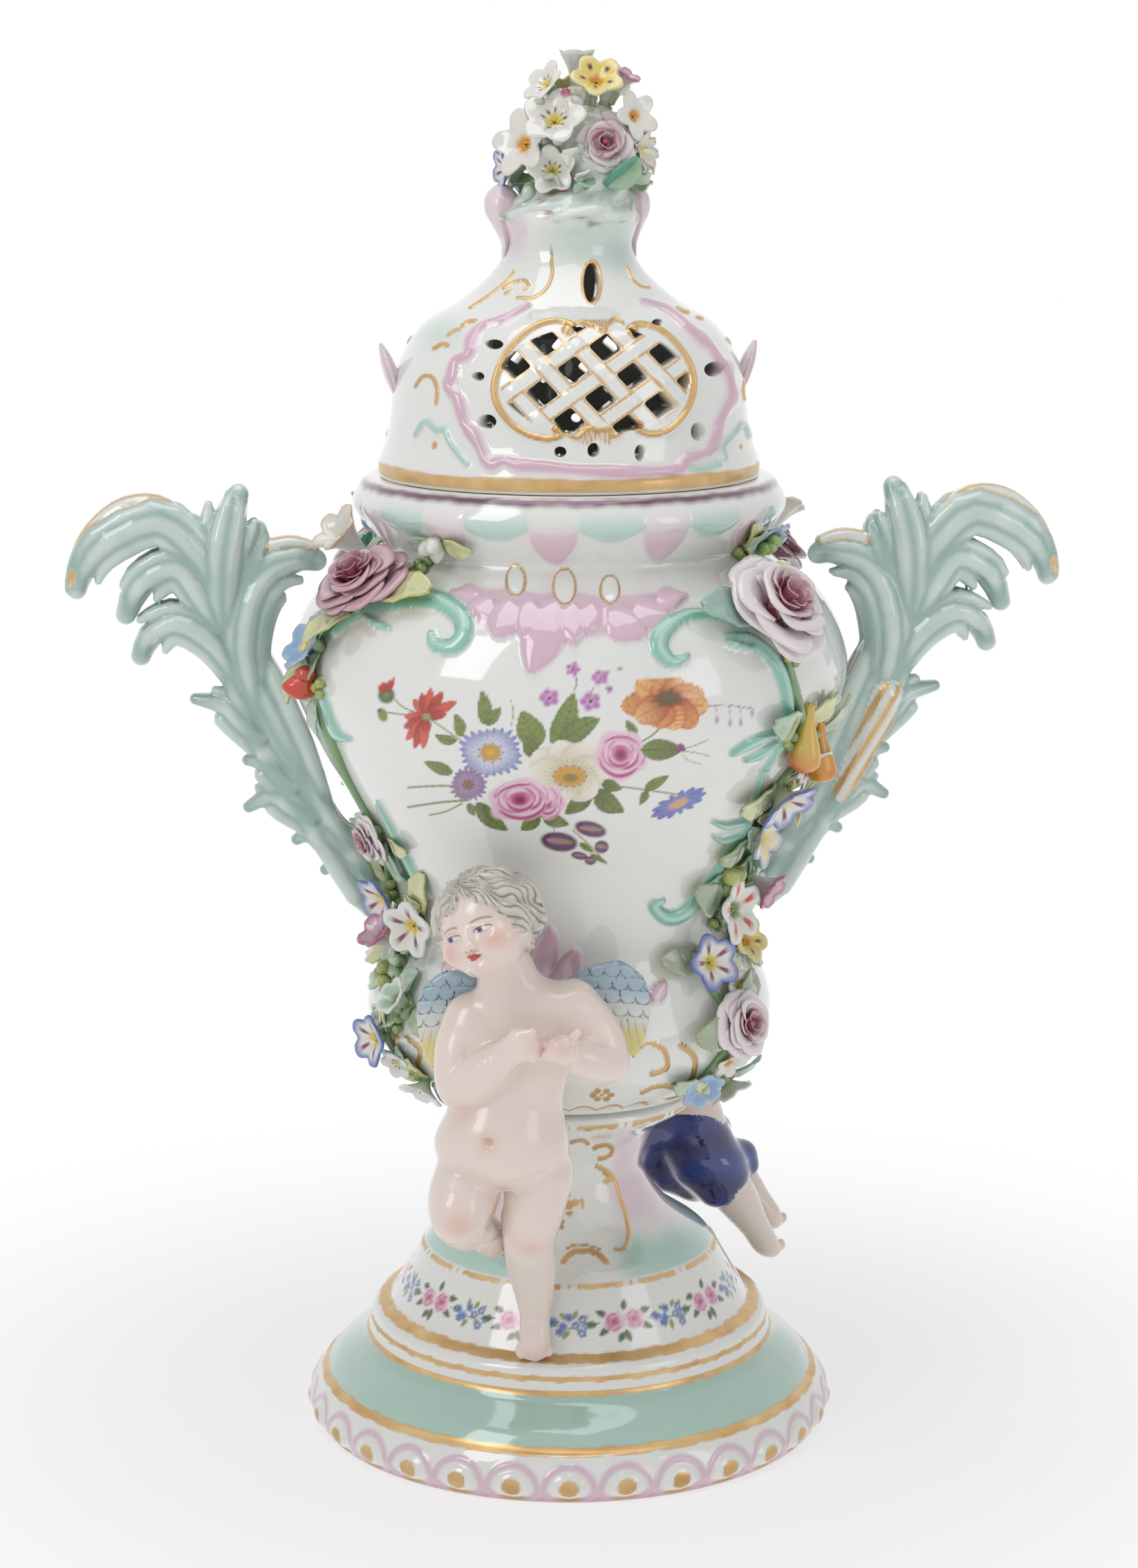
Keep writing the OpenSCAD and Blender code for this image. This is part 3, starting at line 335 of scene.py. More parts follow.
class Canvas:
    def __init__(self, points, ground):
        p = self.points = points.reshape(-1, 3)
        n = len(p)
        self.colour = np.tile(ground, (n, 1))
        self.gilt, self.relief = np.zeros(n), np.zeros(n)
        self.x, self.y = np.full(n, offSheet), np.full(n, offSheet)
        self.theta = np.degrees(np.arctan2(p[:, 0], -p[:, 1]))
        self.r, self.z = np.hypot(p[:, 0], p[:, 1]), p[:, 2]

    def face(self, turn=0, flip=False):
        # lay the sheet on one side of the piece
        q = self.points @ axisTurn(turn)
        if flip:
            q[:, 0] = -q[:, 0]
        self.x, self.y = onSheet(q)
        self.x[q[:, 1] > -1] = offSheet

    def near(self, stops, reach):
        low, high = np.min(stops, 0) - reach, np.max(stops, 0) + reach
        across = (self.x > low[0]) & (self.x < high[0])
        return np.nonzero(across & (self.y > low[1]) & (self.y < high[1]))[0]

    def lay(self, at, mask, colour):
        # gold gilds, every other colour covers gilding
        self.colour[at] = mix(self.colour[at], colour, mask[:, None])
        self.gilt[at] = np.maximum(self.gilt[at], mask) if colour is gold else self.gilt[at] * (1 - mask)

    def wash(self, mask, colour):
        self.lay(slice(None), mask, colour)

    def lift(self, at, height):
        self.relief[at] = np.maximum(self.relief[at], height)

    def line(self, stops, width, colour, height=0.0, soft=1.2, steps=6, tip=None):
        # stroke through the stops; width may be a list, one for each stop
        path = curve(np.c_[np.array(stops, float), np.broadcast_to(width, (len(stops),))], steps)
        at = self.near(path[:, :2], path[:, 2].max() + 3)
        if not len(at):
            return
        p = np.stack([self.x[at], self.y[at]], 1)
        best, half, along = np.full(len(at), 1e9), np.zeros(len(at)), np.zeros(len(at))
        for k in range(len(path) - 1):
            a, b = path[k], path[k + 1]
            d = b[:2] - a[:2]
            t = np.clip(((p - a[:2]) @ d) / max(d @ d, 1e-9), 0, 1)
            w = mix(a[2], b[2], t)
            gap = np.linalg.norm(p - a[:2] - t[:, None] * d, axis=1) - w
            closer = gap < best
            best = np.where(closer, gap, best)
            half = np.where(closer, w, half)
            along = np.where(closer, (k + t) / (len(path) - 1), along)
        self.lay(at, ease(soft, -soft, best), colour if tip is None else mix(colour, tip, along[:, None]))
        if height:
            inside = np.clip(-best / np.maximum(half, 1e-6), 0, 1)
            self.lift(at, height * np.sqrt(1 - (1 - inside) ** 2))

    def dab(self, centre, rx, ry, colour, turn=0.0, height=0.0, soft=0.25, rim=None, lobes=0, lobeDepth=0.1):
        at = self.near([centre], max(rx, ry) * 1.4 + 2)
        if not len(at):
            return
        a = math.radians(turn)
        dx, dy = self.x[at] - centre[0], self.y[at] - centre[1]
        u = (dx * math.cos(a) + dy * math.sin(a)) / rx
        v = (dy * math.cos(a) - dx * math.sin(a)) / ry
        r = np.hypot(u, v)
        if lobes:
            r = r / (1 + lobeDepth * np.cos(lobes * np.arctan2(v, u)))
        shade = colour if rim is None else mix(colour, rim, np.clip(r, 0, 1)[:, None])
        self.lay(at, ease(1 + soft, 1 - soft, r), shade)
        if height:
            self.lift(at, height * np.sqrt(np.clip(1 - r * r, 0, 1)))

    def blade(self, root, tip, half, base, end, vein=None, bend=0.0, height=0.0, edge=None, blunt=0.5,
              saw=0, soft=1.0):
        # petal or leaf from root to tip
        root, tip = np.array(root, float), np.array(tip, float)
        size = np.linalg.norm(tip - root)
        d = (tip - root) / size
        at = self.near([root, tip], half + abs(bend) + 3)
        if not len(at):
            return
        p = np.stack([self.x[at], self.y[at]], 1) - root
        s = np.clip((p @ d) / size, -0.2, 1.2)
        t = p @ np.array([-d[1], d[0]]) - bend * 4 * s * (1 - s)
        inside = np.clip(s, 0.0, 1.0)
        w = half * np.sin(math.pi * inside ** (1 - 0.45 * (blunt - 0.2))) ** blunt
        if saw:
            w = w * (1 - 0.12 * np.abs((inside * saw) % 1 - 0.5))
        gap = np.abs(t) - w
        gap = np.where((s < 0) | (s > 1), np.maximum(gap, np.maximum(-s, s - 1) * size), gap)
        shade = mix(base, end, inside[:, None])
        if edge is not None:
            shade = mix(shade, edge, (ease(0.55, 1.0, np.abs(t) / np.maximum(w, 0.5)) * 0.7)[:, None])
        if vein is not None:
            rib = ease(1.1, 0.3, np.abs(t)) * (s < 0.95)
            wave = np.cos(2 * math.pi * (inside * 6 - np.abs(t) / max(half, 1) * 0.9))
            ribs = ease(0.82, 0.98, wave) * 0.55
            shade = mix(shade, vein, np.maximum(rib * 0.8, ribs)[:, None])
        self.lay(at, ease(soft, -soft, gap), shade)
        if height:
            swell = np.sqrt(np.clip(1 - (t / np.maximum(w, 0.1)) ** 2, 0, 1))
            self.lift(at, height * swell * (gap < 0))

    # flowers of the painted sprays
    def daisy(self, centre, rx, ry, petals, inner, outer, eye, eyeSize, line):
        x, y = centre
        for layer, grow, shift in ((0, 1.0, 0.5), (1, 0.84, 0.0)):
            roots = around(petals, x, y, 0.2 * rx, 0.2 * ry, shift)
            for k, root in enumerate(roots):
                out = grow * (1 + 0.08 * math.sin(7.3 * k + layer)) / 0.2
                tip = (x + (root[0] - x) * out, y + (root[1] - y) * out)
                self.blade(root, tip, 2.5 * rx / petals, inner, mix(outer, inner, 0.25 * layer), edge=line,
                           blunt=0.55, soft=0.8)
        self.dab(centre, rx * eyeSize, ry * eyeSize, eye, rim=mix(eye, paint(150, 90, 30), 0.6))
        for spot in around(9, x, y, rx * eyeSize * 1.15, ry * eyeSize * 1.15):
            self.dab(spot, 1.3, 1.3, paint(80, 60, 50), soft=0.5)

    def rosePainted(self, centre, rx, ry, tones, turn):
        light, middle, deep = tones
        self.dab(centre, rx, ry, middle, turn, lobes=5, lobeDepth=0.07, soft=0.08, rim=light)
        for r, start, end, shade in ((0.82, 20, 150, deep), (0.78, 200, 300, deep), (0.6, 100, 230, middle),
                                     (0.58, -60, 60, deep), (0.42, 20, 170, deep), (0.4, 190, 330, middle),
                                     (0.86, 300, 370, middle)):
            a = np.radians(np.linspace(start, end, 7) + turn)
            stops = np.stack([centre[0] + r * rx * np.cos(a), centre[1] + r * ry * np.sin(a)], 1)
            dark = np.array([0.3, 0.8, 1.1, 1.3, 1.1, 0.8, 0.3]) * rx * 0.085
            pale = np.array([0.2, 0.6, 0.9, 1.1, 0.9, 0.6, 0.2]) * rx * 0.06
            self.line(stops, dark, mix(shade, middle, 0.25), steps=3)
            self.line(stops * 0.97 + 0.03 * np.array(centre) + [0, -0.09 * ry], pale, light, steps=3)
        self.dab(centre, rx * 0.26, ry * 0.3, deep, soft=0.5)
        self.dab(centre, rx * 0.12, ry * 0.14, mix(deep, plum, 0.6), soft=0.5)


class Drawing:
    # drawing with its own units on the sheet; pen divides the widths
    def __init__(self, canvas, left, top, scale, pen):
        self.canvas, self.left, self.top, self.scale, self.pen = canvas, left, top, scale, pen

    def at(self, x, y):
        return (self.left + x / self.scale, self.top + y / self.scale)

    def line(self, stops, width, colour, **more):
        self.canvas.line([self.at(*s) for s in stops], np.array(width) / self.pen, colour, **more)

    def strokes(self, rows, colour, **more):
        # each row is a width and the stops of one line
        for width, *stops in rows:
            self.line(np.reshape(stops, (-1, 2)), width, colour, **more)

    def scroll(self, row, grow, colour, **more):
        # each stop has its own width
        s = np.reshape(row, (-1, 3))
        self.line(s[:, :2], s[:, 2] * grow, colour, **more)

    def dab(self, x, y, rx, ry, colour, **more):
        self.canvas.dab(self.at(x, y), rx / self.pen, ry / self.pen, colour, **more)

    def blade(self, x0, y0, x1, y1, half, base, end, **more):
        self.canvas.blade(self.at(x0, y0), self.at(x1, y1), half / self.pen, base, end, **more)


def raised(rows, angles, canvas):
    # turned wall, pushed out by the canvas's relief
    n, a = rowNormals(rows), np.radians(angles)
    push = np.stack([n[:, :1] * np.sin(a), -n[:, :1] * np.cos(a), n[:, 1:] + 0 * a], -1)
    return (turnedRows(rows, angles) + push * canvas.relief.reshape(len(rows), -1, 1)).reshape(-1, 3)


def alongWall(step, radius):
    return step / radius * 57.3            # degrees


def shell(name, outerRows, innerRows, angles, canvasOf):
    # hollow turned piece: painted and moulded outside, plain glaze inside
    c = canvasOf(turnedRows(outerRows, angles))
    inner = turnedRows(innerRows, angles).reshape(-1, 3)
    points = np.concatenate([raised(outerRows, angles, c), inner])
    colour = np.concatenate([c.colour, np.tile(white, (len(inner), 1))])
    gilt = np.concatenate([c.gilt, np.zeros(len(inner))])
    quads = ringQuads(len(outerRows) + len(innerRows), len(angles), closed=True)
    piece(name, points, quads, [], "vase", "white_porcelain", [name], finish["white"], colour, gilt)
    print(name + ":", len(points), "points")


# body of the vase
vase = {
    "seat": 112.5, "height": 196.0, "wall": 5.0, "floor": 7.0, "mouth": 52.0, "hole": 4.5,
    "calyx": 44.0, "bowl": (65.0, 25.0), "waist": (56.5, 55.0), "shoulder": (88.0, 136.0),
    "neck": (60.0, 175.0),
    "collar": (67.5, 188.0), "rim": 63.0, "fineStep": 0.5, "step": 0.95,
}


def vaseLine(steps=24):
    v, z = vase, vase["seat"]
    (bowl, bowlH), (waist, waistH), (shoulder, shoulderH) = v["bowl"], v["waist"], v["shoulder"]
    (neck, neckH), (collar, collarH) = v["neck"], v["collar"]
    stops = [
        [v["calyx"], 0], [mix(v["calyx"], bowl, 0.62), bowlH * 0.36], [bowl, bowlH],
        [mix(waist, bowl, 0.42), mix(bowlH, waistH, 0.6)],
        [waist, waistH], [mix(waist, shoulder, 0.2), mix(waistH, shoulderH, 0.32)],
        [mix(waist, shoulder, 0.72), mix(waistH, shoulderH, 0.7)],
        [shoulder, shoulderH], [mix(neck, shoulder, 0.74), mix(shoulderH, neckH, 0.55)],
        [mix(neck, shoulder, 0.16), mix(shoulderH, neckH, 0.88)],
        [neck, neckH], [mix(neck, collar, 0.5), mix(neckH, collarH, 0.5)], [collar, collarH],
        [mix(v["rim"], collar, 0.55), v["height"] - 2.2],
        [v["rim"], v["height"]]]
    return curve(stops, steps) + [0, z]


vaseProfile = vaseLine()


def vaseRadius(z):
    return np.interp(z, vaseProfile[:, 1], vaseProfile[:, 0])


vasePanel = {"left": 440, "top": 820, "scale": 2.178, "pen": 2.178}


def bouquet(c):
    d = Drawing(c, **vasePanel)
    stalk = {"colour": paint(128, 128, 70), "soft": 0.9}

    def leaf(x0, y0, x1, y1, half, dark, bend=0.0, saw=7):
        base = mix(leafGreen, darkGreen, dark)
        d.blade(x0, y0, x1, y1, half, base, mix(oliveGreen, base, 0.4), vein=mix(darkGreen, base, 0.25),
                bend=bend / d.scale, edge=mix(base, darkGreen, 0.35), saw=saw, blunt=0.75, soft=0.9)

    d.strokes((
        (2.2, 390, 475, 430, 500, 500, 550), (2.2, 390, 470, 320, 445, 290, 418),
        (2.2, 380, 475, 300, 462, 262, 460), (3, 480, 690, 420, 690, 330, 695),
        (3.4, 520, 735, 430, 742, 330, 757), (2.6, 500, 745, 450, 770, 398, 782),
        (2.6, 1125, 505, 1100, 530, 1050, 560)), **stalk)
    d.strokes([(1.6, 1280, 440, 1340, 436, 1420, 447)], paint(140, 120, 150), soft=0.9)
    for x, y in ((1303, 482), (1345, 492), (1378, 490), (1414, 460)):
        d.strokes([(1.2, x - 6, 440, x, 455, x, y - 12)], paint(150, 120, 160), soft=0.9)
        d.dab(x, y, 7, 15, paint(170, 130, 180), rim=paint(222, 205, 226))
    d.strokes(((2.4, 985, 690, 1060, 700, 1180, 717), (1.8, 780, 795, 790, 830),
               (1.8, 850, 830, 905, 880, 955, 935)), **stalk)
    d.strokes([(1.6, 850, 400, 862, 360, 845, 330)], paint(130, 110, 120), soft=0.9)
    d.strokes([(1.4, 900, 420, 935, 345, 1020, 315)], paint(130, 120, 110), soft=0.9)
    d.strokes(((1.2, 655, 500, 662, 460, 655, 420), (1.4, 1195, 575, 1240, 560, 1275, 545),
               (1.4, 1195, 580, 1240, 586, 1278, 596), (1.2, 1190, 590, 1215, 610, 1255, 622)), **stalk)
    # leaves behind the flowers
    for row in (
            (495, 535, 478, 462, 20, 0.1, 6), (482, 548, 414, 528, 17, 0.2, -6),
            (570, 495, 562, 388, 24, 0.1, 6), (575, 497, 624, 443, 20, 0.2), (470, 650, 380, 614, 20, 0.3),
            (748, 560, 688, 452, 44, 0.05, -8, 9), (790, 565, 852, 395, 40, 0.15, 8, 9),
            (815, 555, 935, 478, 36, 0.35, -8, 9), (730, 600, 700, 530, 26, 0.7),
            (545, 745, 645, 830, 28, 0.6, 8), (520, 745, 540, 785, 14, 0.3), (745, 785, 685, 830, 24, 0.5),
            (755, 790, 838, 812, 22, 0.5), (905, 700, 824, 778, 30, 0.8, -6),
            (918, 705, 1012, 772, 34, 0.6, 8), (940, 680, 1005, 700, 20, 0.7),
            (1050, 530, 1015, 482, 15, 0.3),
            (1075, 702, 1152, 658, 17, 0.2), (1085, 705, 1060, 750, 14, 0.4)):
        leaf(*row)
    # red star flowers and their buds
    red, redDeep = paint(206, 70, 48), paint(150, 34, 30)
    for x, y, tips in ((392, 468, ((345, 418), (372, 398), (402, 383), (440, 392), (484, 424), (452, 464))),
                       (382, 478, ((318, 470), (316, 506), (324, 546), (350, 572), (378, 574), (392, 524)))):
        for k, tip in enumerate(tips):
            tones = (redDeep, red) if k % 2 else (red, mix(red, paint(226, 120, 90), 0.5))
            d.blade(x, y, *tip, 17, *tones, edge=redDeep, blunt=0.6)
    c.dab(d.at(388, 472), 6, 5, paint(150, 160, 80))
    d.dab(262, 404, 26, 26, leafGreen, rim=darkGreen)
    for tip in ((235, 378), (250, 362), (272, 360), (286, 352)):
        d.blade(262, 392, *tip, 11, redDeep, red)
    d.dab(250, 466, 15, 22, leafGreen, turn=-20)
    d.dab(240, 452, 7, 6, redDeep)
    # blue daisies
    c.daisy(d.at(590, 585), 47, 38, 24, paint(240, 240, 244), paint(98, 108, 178), paint(228, 178, 70), 0.33,
            paint(150, 155, 205))
    c.daisy(d.at(520, 686), 27, 25, 20, paint(176, 150, 178), paint(138, 108, 150), paint(132, 104, 72), 0.25,
            paint(108, 82, 120))
    # small purple flowers
    for x, y, r in ((775, 412, 20), (905, 424, 21), (850, 322, 15), (935, 348, 17), (965, 384, 8)):
        for spot in around(5, x, y, r, 0.9 * r, 0.3 * x):
            d.dab(*spot, r * 0.66, r * 0.6, paint(172, 92, 164), rim=paint(206, 150, 204), soft=0.35)
        d.dab(x, y, r * 0.32, r * 0.3, paint(110, 40, 100))
    # cream anemone
    cream, creamShade = paint(240, 236, 224), paint(206, 196, 164)
    for tip in ((720, 590), (800, 548), (900, 558), (955, 640), (925, 715), (800, 722), (705, 650)):
        d.blade(840, 658, *tip, 60, creamShade, cream, edge=mix(cream, paint(190, 180, 160), 0.6))
    for ends in zip(around(26, 840, 658, 45, 30), around(26, 840, 658, 82, 58)):
        c.line([d.at(*s) for s in ends], 0.4, paint(196, 178, 130), soft=0.9)
    d.dab(840, 660, 50, 32, paint(224, 170, 66), rim=paint(206, 150, 60))
    d.dab(842, 664, 24, 14, paint(150, 128, 60))
    for spot in around(14, 840, 660, 50, 33):
        c.dab(d.at(*spot), 1.6, 1.5, paint(170, 100, 40), soft=0.5)
    # pink roses
    rosy = paint(238, 206, 222), paint(214, 138, 178), paint(178, 58, 112)
    for x, y, rx, ry, turn in ((1000, 592, 38, 36, 20), (768, 742, 24, 27, 80), (682, 734, 46, 30, -10)):
        c.rosePainted(d.at(x, y), rx, ry, rosy, turn)
    # orange poppy
    flame, flameDeep, flameLight = paint(214, 120, 48), paint(168, 62, 30), paint(242, 196, 130)
    for k, tip in enumerate(((1002, 440), (1045, 366), (1120, 356), (1200, 356), (1262, 398), (1278, 440),
                             (1240, 500), (1180, 512), (1110, 508), (1045, 480))):
        tones = flame if k % 3 else flameDeep, flameLight if k % 2 else mix(flame, flameLight, 0.5)
        d.blade(1148, 424, *tip, 46, *tones, edge=mix(flame, flameDeep, 0.6), vein=mix(flame, flameDeep, 0.5))
    d.dab(1150, 414, 52, 28, paint(90, 60, 36), lobes=9, lobeDepth=0.16, rim=paint(140, 80, 36))
    d.dab(1152, 412, 22, 14, paint(92, 98, 52))
    # green bud with a purple tip
    d.blade(1066, 578, 1196, 574, 34, leafGreen, mix(leafGreen, plum, 0.5), vein=darkGreen, blunt=0.7)
    d.blade(1180, 560, 1202, 580, 12, paint(150, 80, 140), paint(120, 50, 110))
    # cornflower seen from the side
    for ex, ey in around(13, 0, 0, 96, 34, -16 * 13 / 360):
        tip = (1182 + ex * 0.9 + ey * 0.43, 745 + ey * 0.9 - ex * 0.43)
        d.blade(1182, 745, *tip, 11, paint(150, 152, 206), paint(96, 110, 186), edge=paint(80, 84, 160))
    d.dab(1182, 746, 34, 12, paint(214, 166, 120), turn=-25)
    # purple buds under the bouquet
    for x, y, rx, ry, turn in ((806, 866, 58, 30, 8), (905, 826, 50, 24, 14), (940, 882, 22, 20, 0),
                               (870, 910, 26, 12, 10), (905, 925, 18, 14, 0)):
        d.dab(x, y, rx, ry, paint(128, 84, 128), turn=turn, rim=paint(86, 46, 84), soft=0.15)
        d.blade(x - rx * 0.7, y - ry * 0.2, x + rx * 0.8, y + ry * 0.1, ry * 0.3, paint(176, 140, 150),
                paint(140, 130, 90))
    leaf(870, 870, 915, 900, 10, 0.3, saw=0)
    leaf(905, 905, 960, 935, 8, 0.4, saw=0)


def rocaille(c):
    # raised shell and scrolls round the painted panel
    d = Drawing(c, **vasePanel)
    rosy = mix(pink, palePink, 0.3)
    d.dab(850, 150, 320, 66, palePink, soft=0.45)
    d.scroll((476, 86, 16, 560, 112, 40, 650, 130, 60, 740, 160, 74, 840, 150, 70, 940, 156, 58,
              1040, 146, 56, 1120, 122, 40, 1196, 96, 16), 1, rosy, height=1.0, soft=4.0)
    for *ends, half in (
            (800, 110, 712, 338, 62), (850, 120, 852, 250, 48), (720, 110, 690, 222, 48),
            (660, 110, 606, 226, 52), (910, 120, 892, 214, 40), (960, 150, 1080, 220, 52),
            (1040, 130, 1150, 165, 48),
            (600, 110, 520, 140, 44), (560, 90, 476, 92, 30), (1110, 110, 1196, 96, 34)):
        d.blade(*ends, 1.2 * half, rosy, pink, edge=mix(pink, deepPink, 0.12), height=1.7, blunt=0.7,
                soft=1.6)
    for row in (
            (96, 214, 6, 170, 150, 16, 290, 112, 22, 410, 104, 26, 490, 150, 27, 508, 210, 24, 470, 252, 22,
             418, 246, 18, 404, 214, 10),
            (1340, 168, 10, 1250, 150, 14, 1180, 166, 20, 1128, 214, 25, 1122, 262, 24, 1160, 300, 18, 1206,
             284, 10),
            (1330, 220, 6, 1400, 226, 14, 1476, 290, 18, 1516, 380, 18, 1524, 470, 15, 1500, 560, 12, 1452,
             634, 6),
            (1350, 586, 8, 1410, 552, 15, 1474, 524, 8), (1390, 606, 6, 1430, 590, 12, 1486, 552, 8),
            (1330, 236, 5, 1360, 246, 9, 1420, 262, 5),
            (1440, 640, 5, 1400, 800, 9, 1340, 900, 12, 1270, 1000, 15, 1206, 1084, 20, 1146, 1104, 20, 1102,
             1066, 14, 1130, 1050, 8),
            (1290, 800, 5, 1330, 812, 10, 1386, 800, 8), (1290, 845, 4, 1320, 860, 8, 1366, 846, 8),
            (60, 350, 5, 72, 430, 13, 104, 520, 16, 150, 540, 6), (60, 470, 6, 80, 540, 13, 110, 590, 6),
            (240, 740, 5, 290, 840, 9, 350, 960, 11, 400, 1040, 5),
            (200, 160, 6, 250, 190, 12, 280, 200, 5)):
        d.scroll(row, 1.2, mix(seaGreen, deepGreen, 0.5), height=1.8, soft=1.4,
                 tip=mix(seaGreen, deepGreen, 0.25))
        d.scroll(row, 0.3, mix(seaGreen, paleGreen, 0.7), soft=1.6)
    # blind ovals under the neck
    a = np.linspace(0, 2 * math.pi, 17)
    for x, y, rx, ry in ((670, 46, 30, 50), (823, 66, 35, 60), (966, 74, 30, 46)):
        d.dab(x, y, rx, ry, white, height=1.1)
        edge = d.at(x + rx * np.cos(a), y + ry * np.sin(a))
        c.line(np.stack(edge, 1), 1.3, gold, soft=0.8, steps=3)
    # mauve shell behind the figure and scrolls on the bowl
    for x0, y0, x1, y1, half in ((770, 1440, 800, 1340, 22), (800, 1450, 838, 1372, 20),
                                 (820, 1470, 850, 1410, 16),
                                 (945, 1450, 962, 1420, 12), (650, 1420, 660, 1380, 14)):
        c.blade((x0, y0), (x1, y1), half, palePink, mix(pink, deepPink, 0.2), edge=deepPink, height=1.6)
    for width, *flat in (
            (3.2, 917, 1520, 940, 1508, 962, 1520, 966, 1544, 946, 1552),
            (3.4, 985, 1512, 1006, 1530, 1000, 1562, 976, 1570), (2.6, 930, 1580, 960, 1570, 1004, 1584),
            (3.0, 1010, 1500, 1040, 1490, 1062, 1506), (3.0, 590, 1500, 610, 1520, 600, 1550),
            (3.0, 560, 1476, 576, 1500, 566, 1524)):
        stops = np.reshape(flat, (-1, 2))
        c.line(stops, width, gold, soft=1.0, height=0.5)
        c.dab(stops[-1], 5, 4.4, gold, height=0.6)
    for spot in around(6, 872, 1584, 13, 6.5):
        c.dab(spot, 4.8, 3.2, gold)
    c.dab((872, 1584), 2.6, 2.0, gold)


collarLook = {
    "tabs": 12, "tabTurn": 4, "tabHalf": 0.44, "tabLow": 288.6, "tabRise": 7, "tabHigh": 0.9,
    "swagTop": 299.5, "swagDrop": 4.2, "swagHigh": 0.6, "rimRadius": 64.7, "scallopZ": 115.2, "scallop": 2.6,
}


def vaseCanvas(points):
    c = Canvas(points, white)
    k, z, turn = collarLook, c.z, np.radians(c.theta)
    # draped tabs round the collar
    phase = ((c.theta + k["tabTurn"]) / 360 * k["tabs"]) % 1
    tab = 1 - np.abs(phase - 0.5) * 2          # 0 in the middle of a tab
    below = k["tabLow"] + k["tabRise"] * np.clip(tab / 0.42, 0, 1) ** 2
    isTab = ease(k["tabHalf"], 0.38, tab) * ease(below - 0.8, below + 0.8, z) * ease(306, 298, z)
    swag = k["swagTop"] - k["swagDrop"] * np.sin(np.clip((tab - 0.4) / 0.6, 0, 1) * math.pi / 2)
    isSwag = ease(0.38, 0.46, tab) * ease(swag - 0.8, swag + 0.8, z) * ease(305.6, 298.6, z)
    c.wash(isSwag * 0.8, mix(seaGreen, paleGreen, 0.55))
    c.wash(isTab * (0.25 + 0.7 * ease(303, 292, z)), mix(pink, palePink, 0.25))
    domed = np.sqrt(np.clip(1 - (tab / k["tabHalf"]) ** 2, 0, 1))
    c.relief += k["tabHigh"] * isTab * domed + k["swagHigh"] * isSwag
    # plum line on the rim, scalloped gilding at the seat
    wob = 0.14 * np.sin(turn * 23) + 0.1 * np.sin(turn * 57)
    c.wash(ease(1.5, 0.3, np.abs(c.r - k["rimRadius"] - 0.8 * wob)) * (z > 303), plum)
    scallop = k["scallop"] * np.abs(np.sin(turn * 18))
    c.wash(ease(0.6, 0.2, np.abs(z - k["scallopZ"] - scallop)) * (z < 120), gold)
    for side, flip in ((0, False), (180, True)):
        c.face(side, flip)
        rocaille(c)
        bouquet(c)
    return c


def makeVase():
    k, z = vase, vase["seat"]
    fine = lambda q: np.where((q[:, 1] > 165) & (q[:, 1] < 252), k["fineStep"], k["step"])
    floor, neck, top = z + k["floor"], z + k["neck"][1], z + k["height"]
    inside = vaseLine(4)
    inside = inside[(inside[:, 1] > floor) & (inside[:, 1] < neck + 1)] - [k["wall"], 0]
    mouth = [[k["mouth"], top], [k["mouth"], top - 0.6], [k["mouth"], neck + 3]]
    hole = [[inside[0, 0] - 1, floor], [k["hole"], floor], [k["hole"], z]]
    narrow, broad = alongWall(k["fineStep"], 80), alongWall(k["step"], 80)
    angles = spreadAngles(lambda a: np.where(np.abs(a) < 48, narrow, broad))
    well = np.concatenate([mouth, inside[::-1], hole])
    shell("vase_body", respaced(vaseProfile, fine), well, angles, vaseCanvas)


makeVase()


# pedestal
foot = {
    "footR": 82.5, "eggR": 85.0, "eggH": 14.6, "apronR": 66.0, "apronH": 28.0, "ledgeR": 60.4, "ledgeH": 38.6,
    "friezeR": 47.6, "friezeH": 57.6,
    "stemR": 24.0, "stemH": 86.0, "plateR": 41.0, "height": 110.0, "wall": 5.0, "plate": 8.0, "eggs": 30,
    "roses": 10, "wreathR": 53.0,
    "hole": 4.5, "fineStep": 0.62, "step": 0.95, "sideStep": 0.9,
}


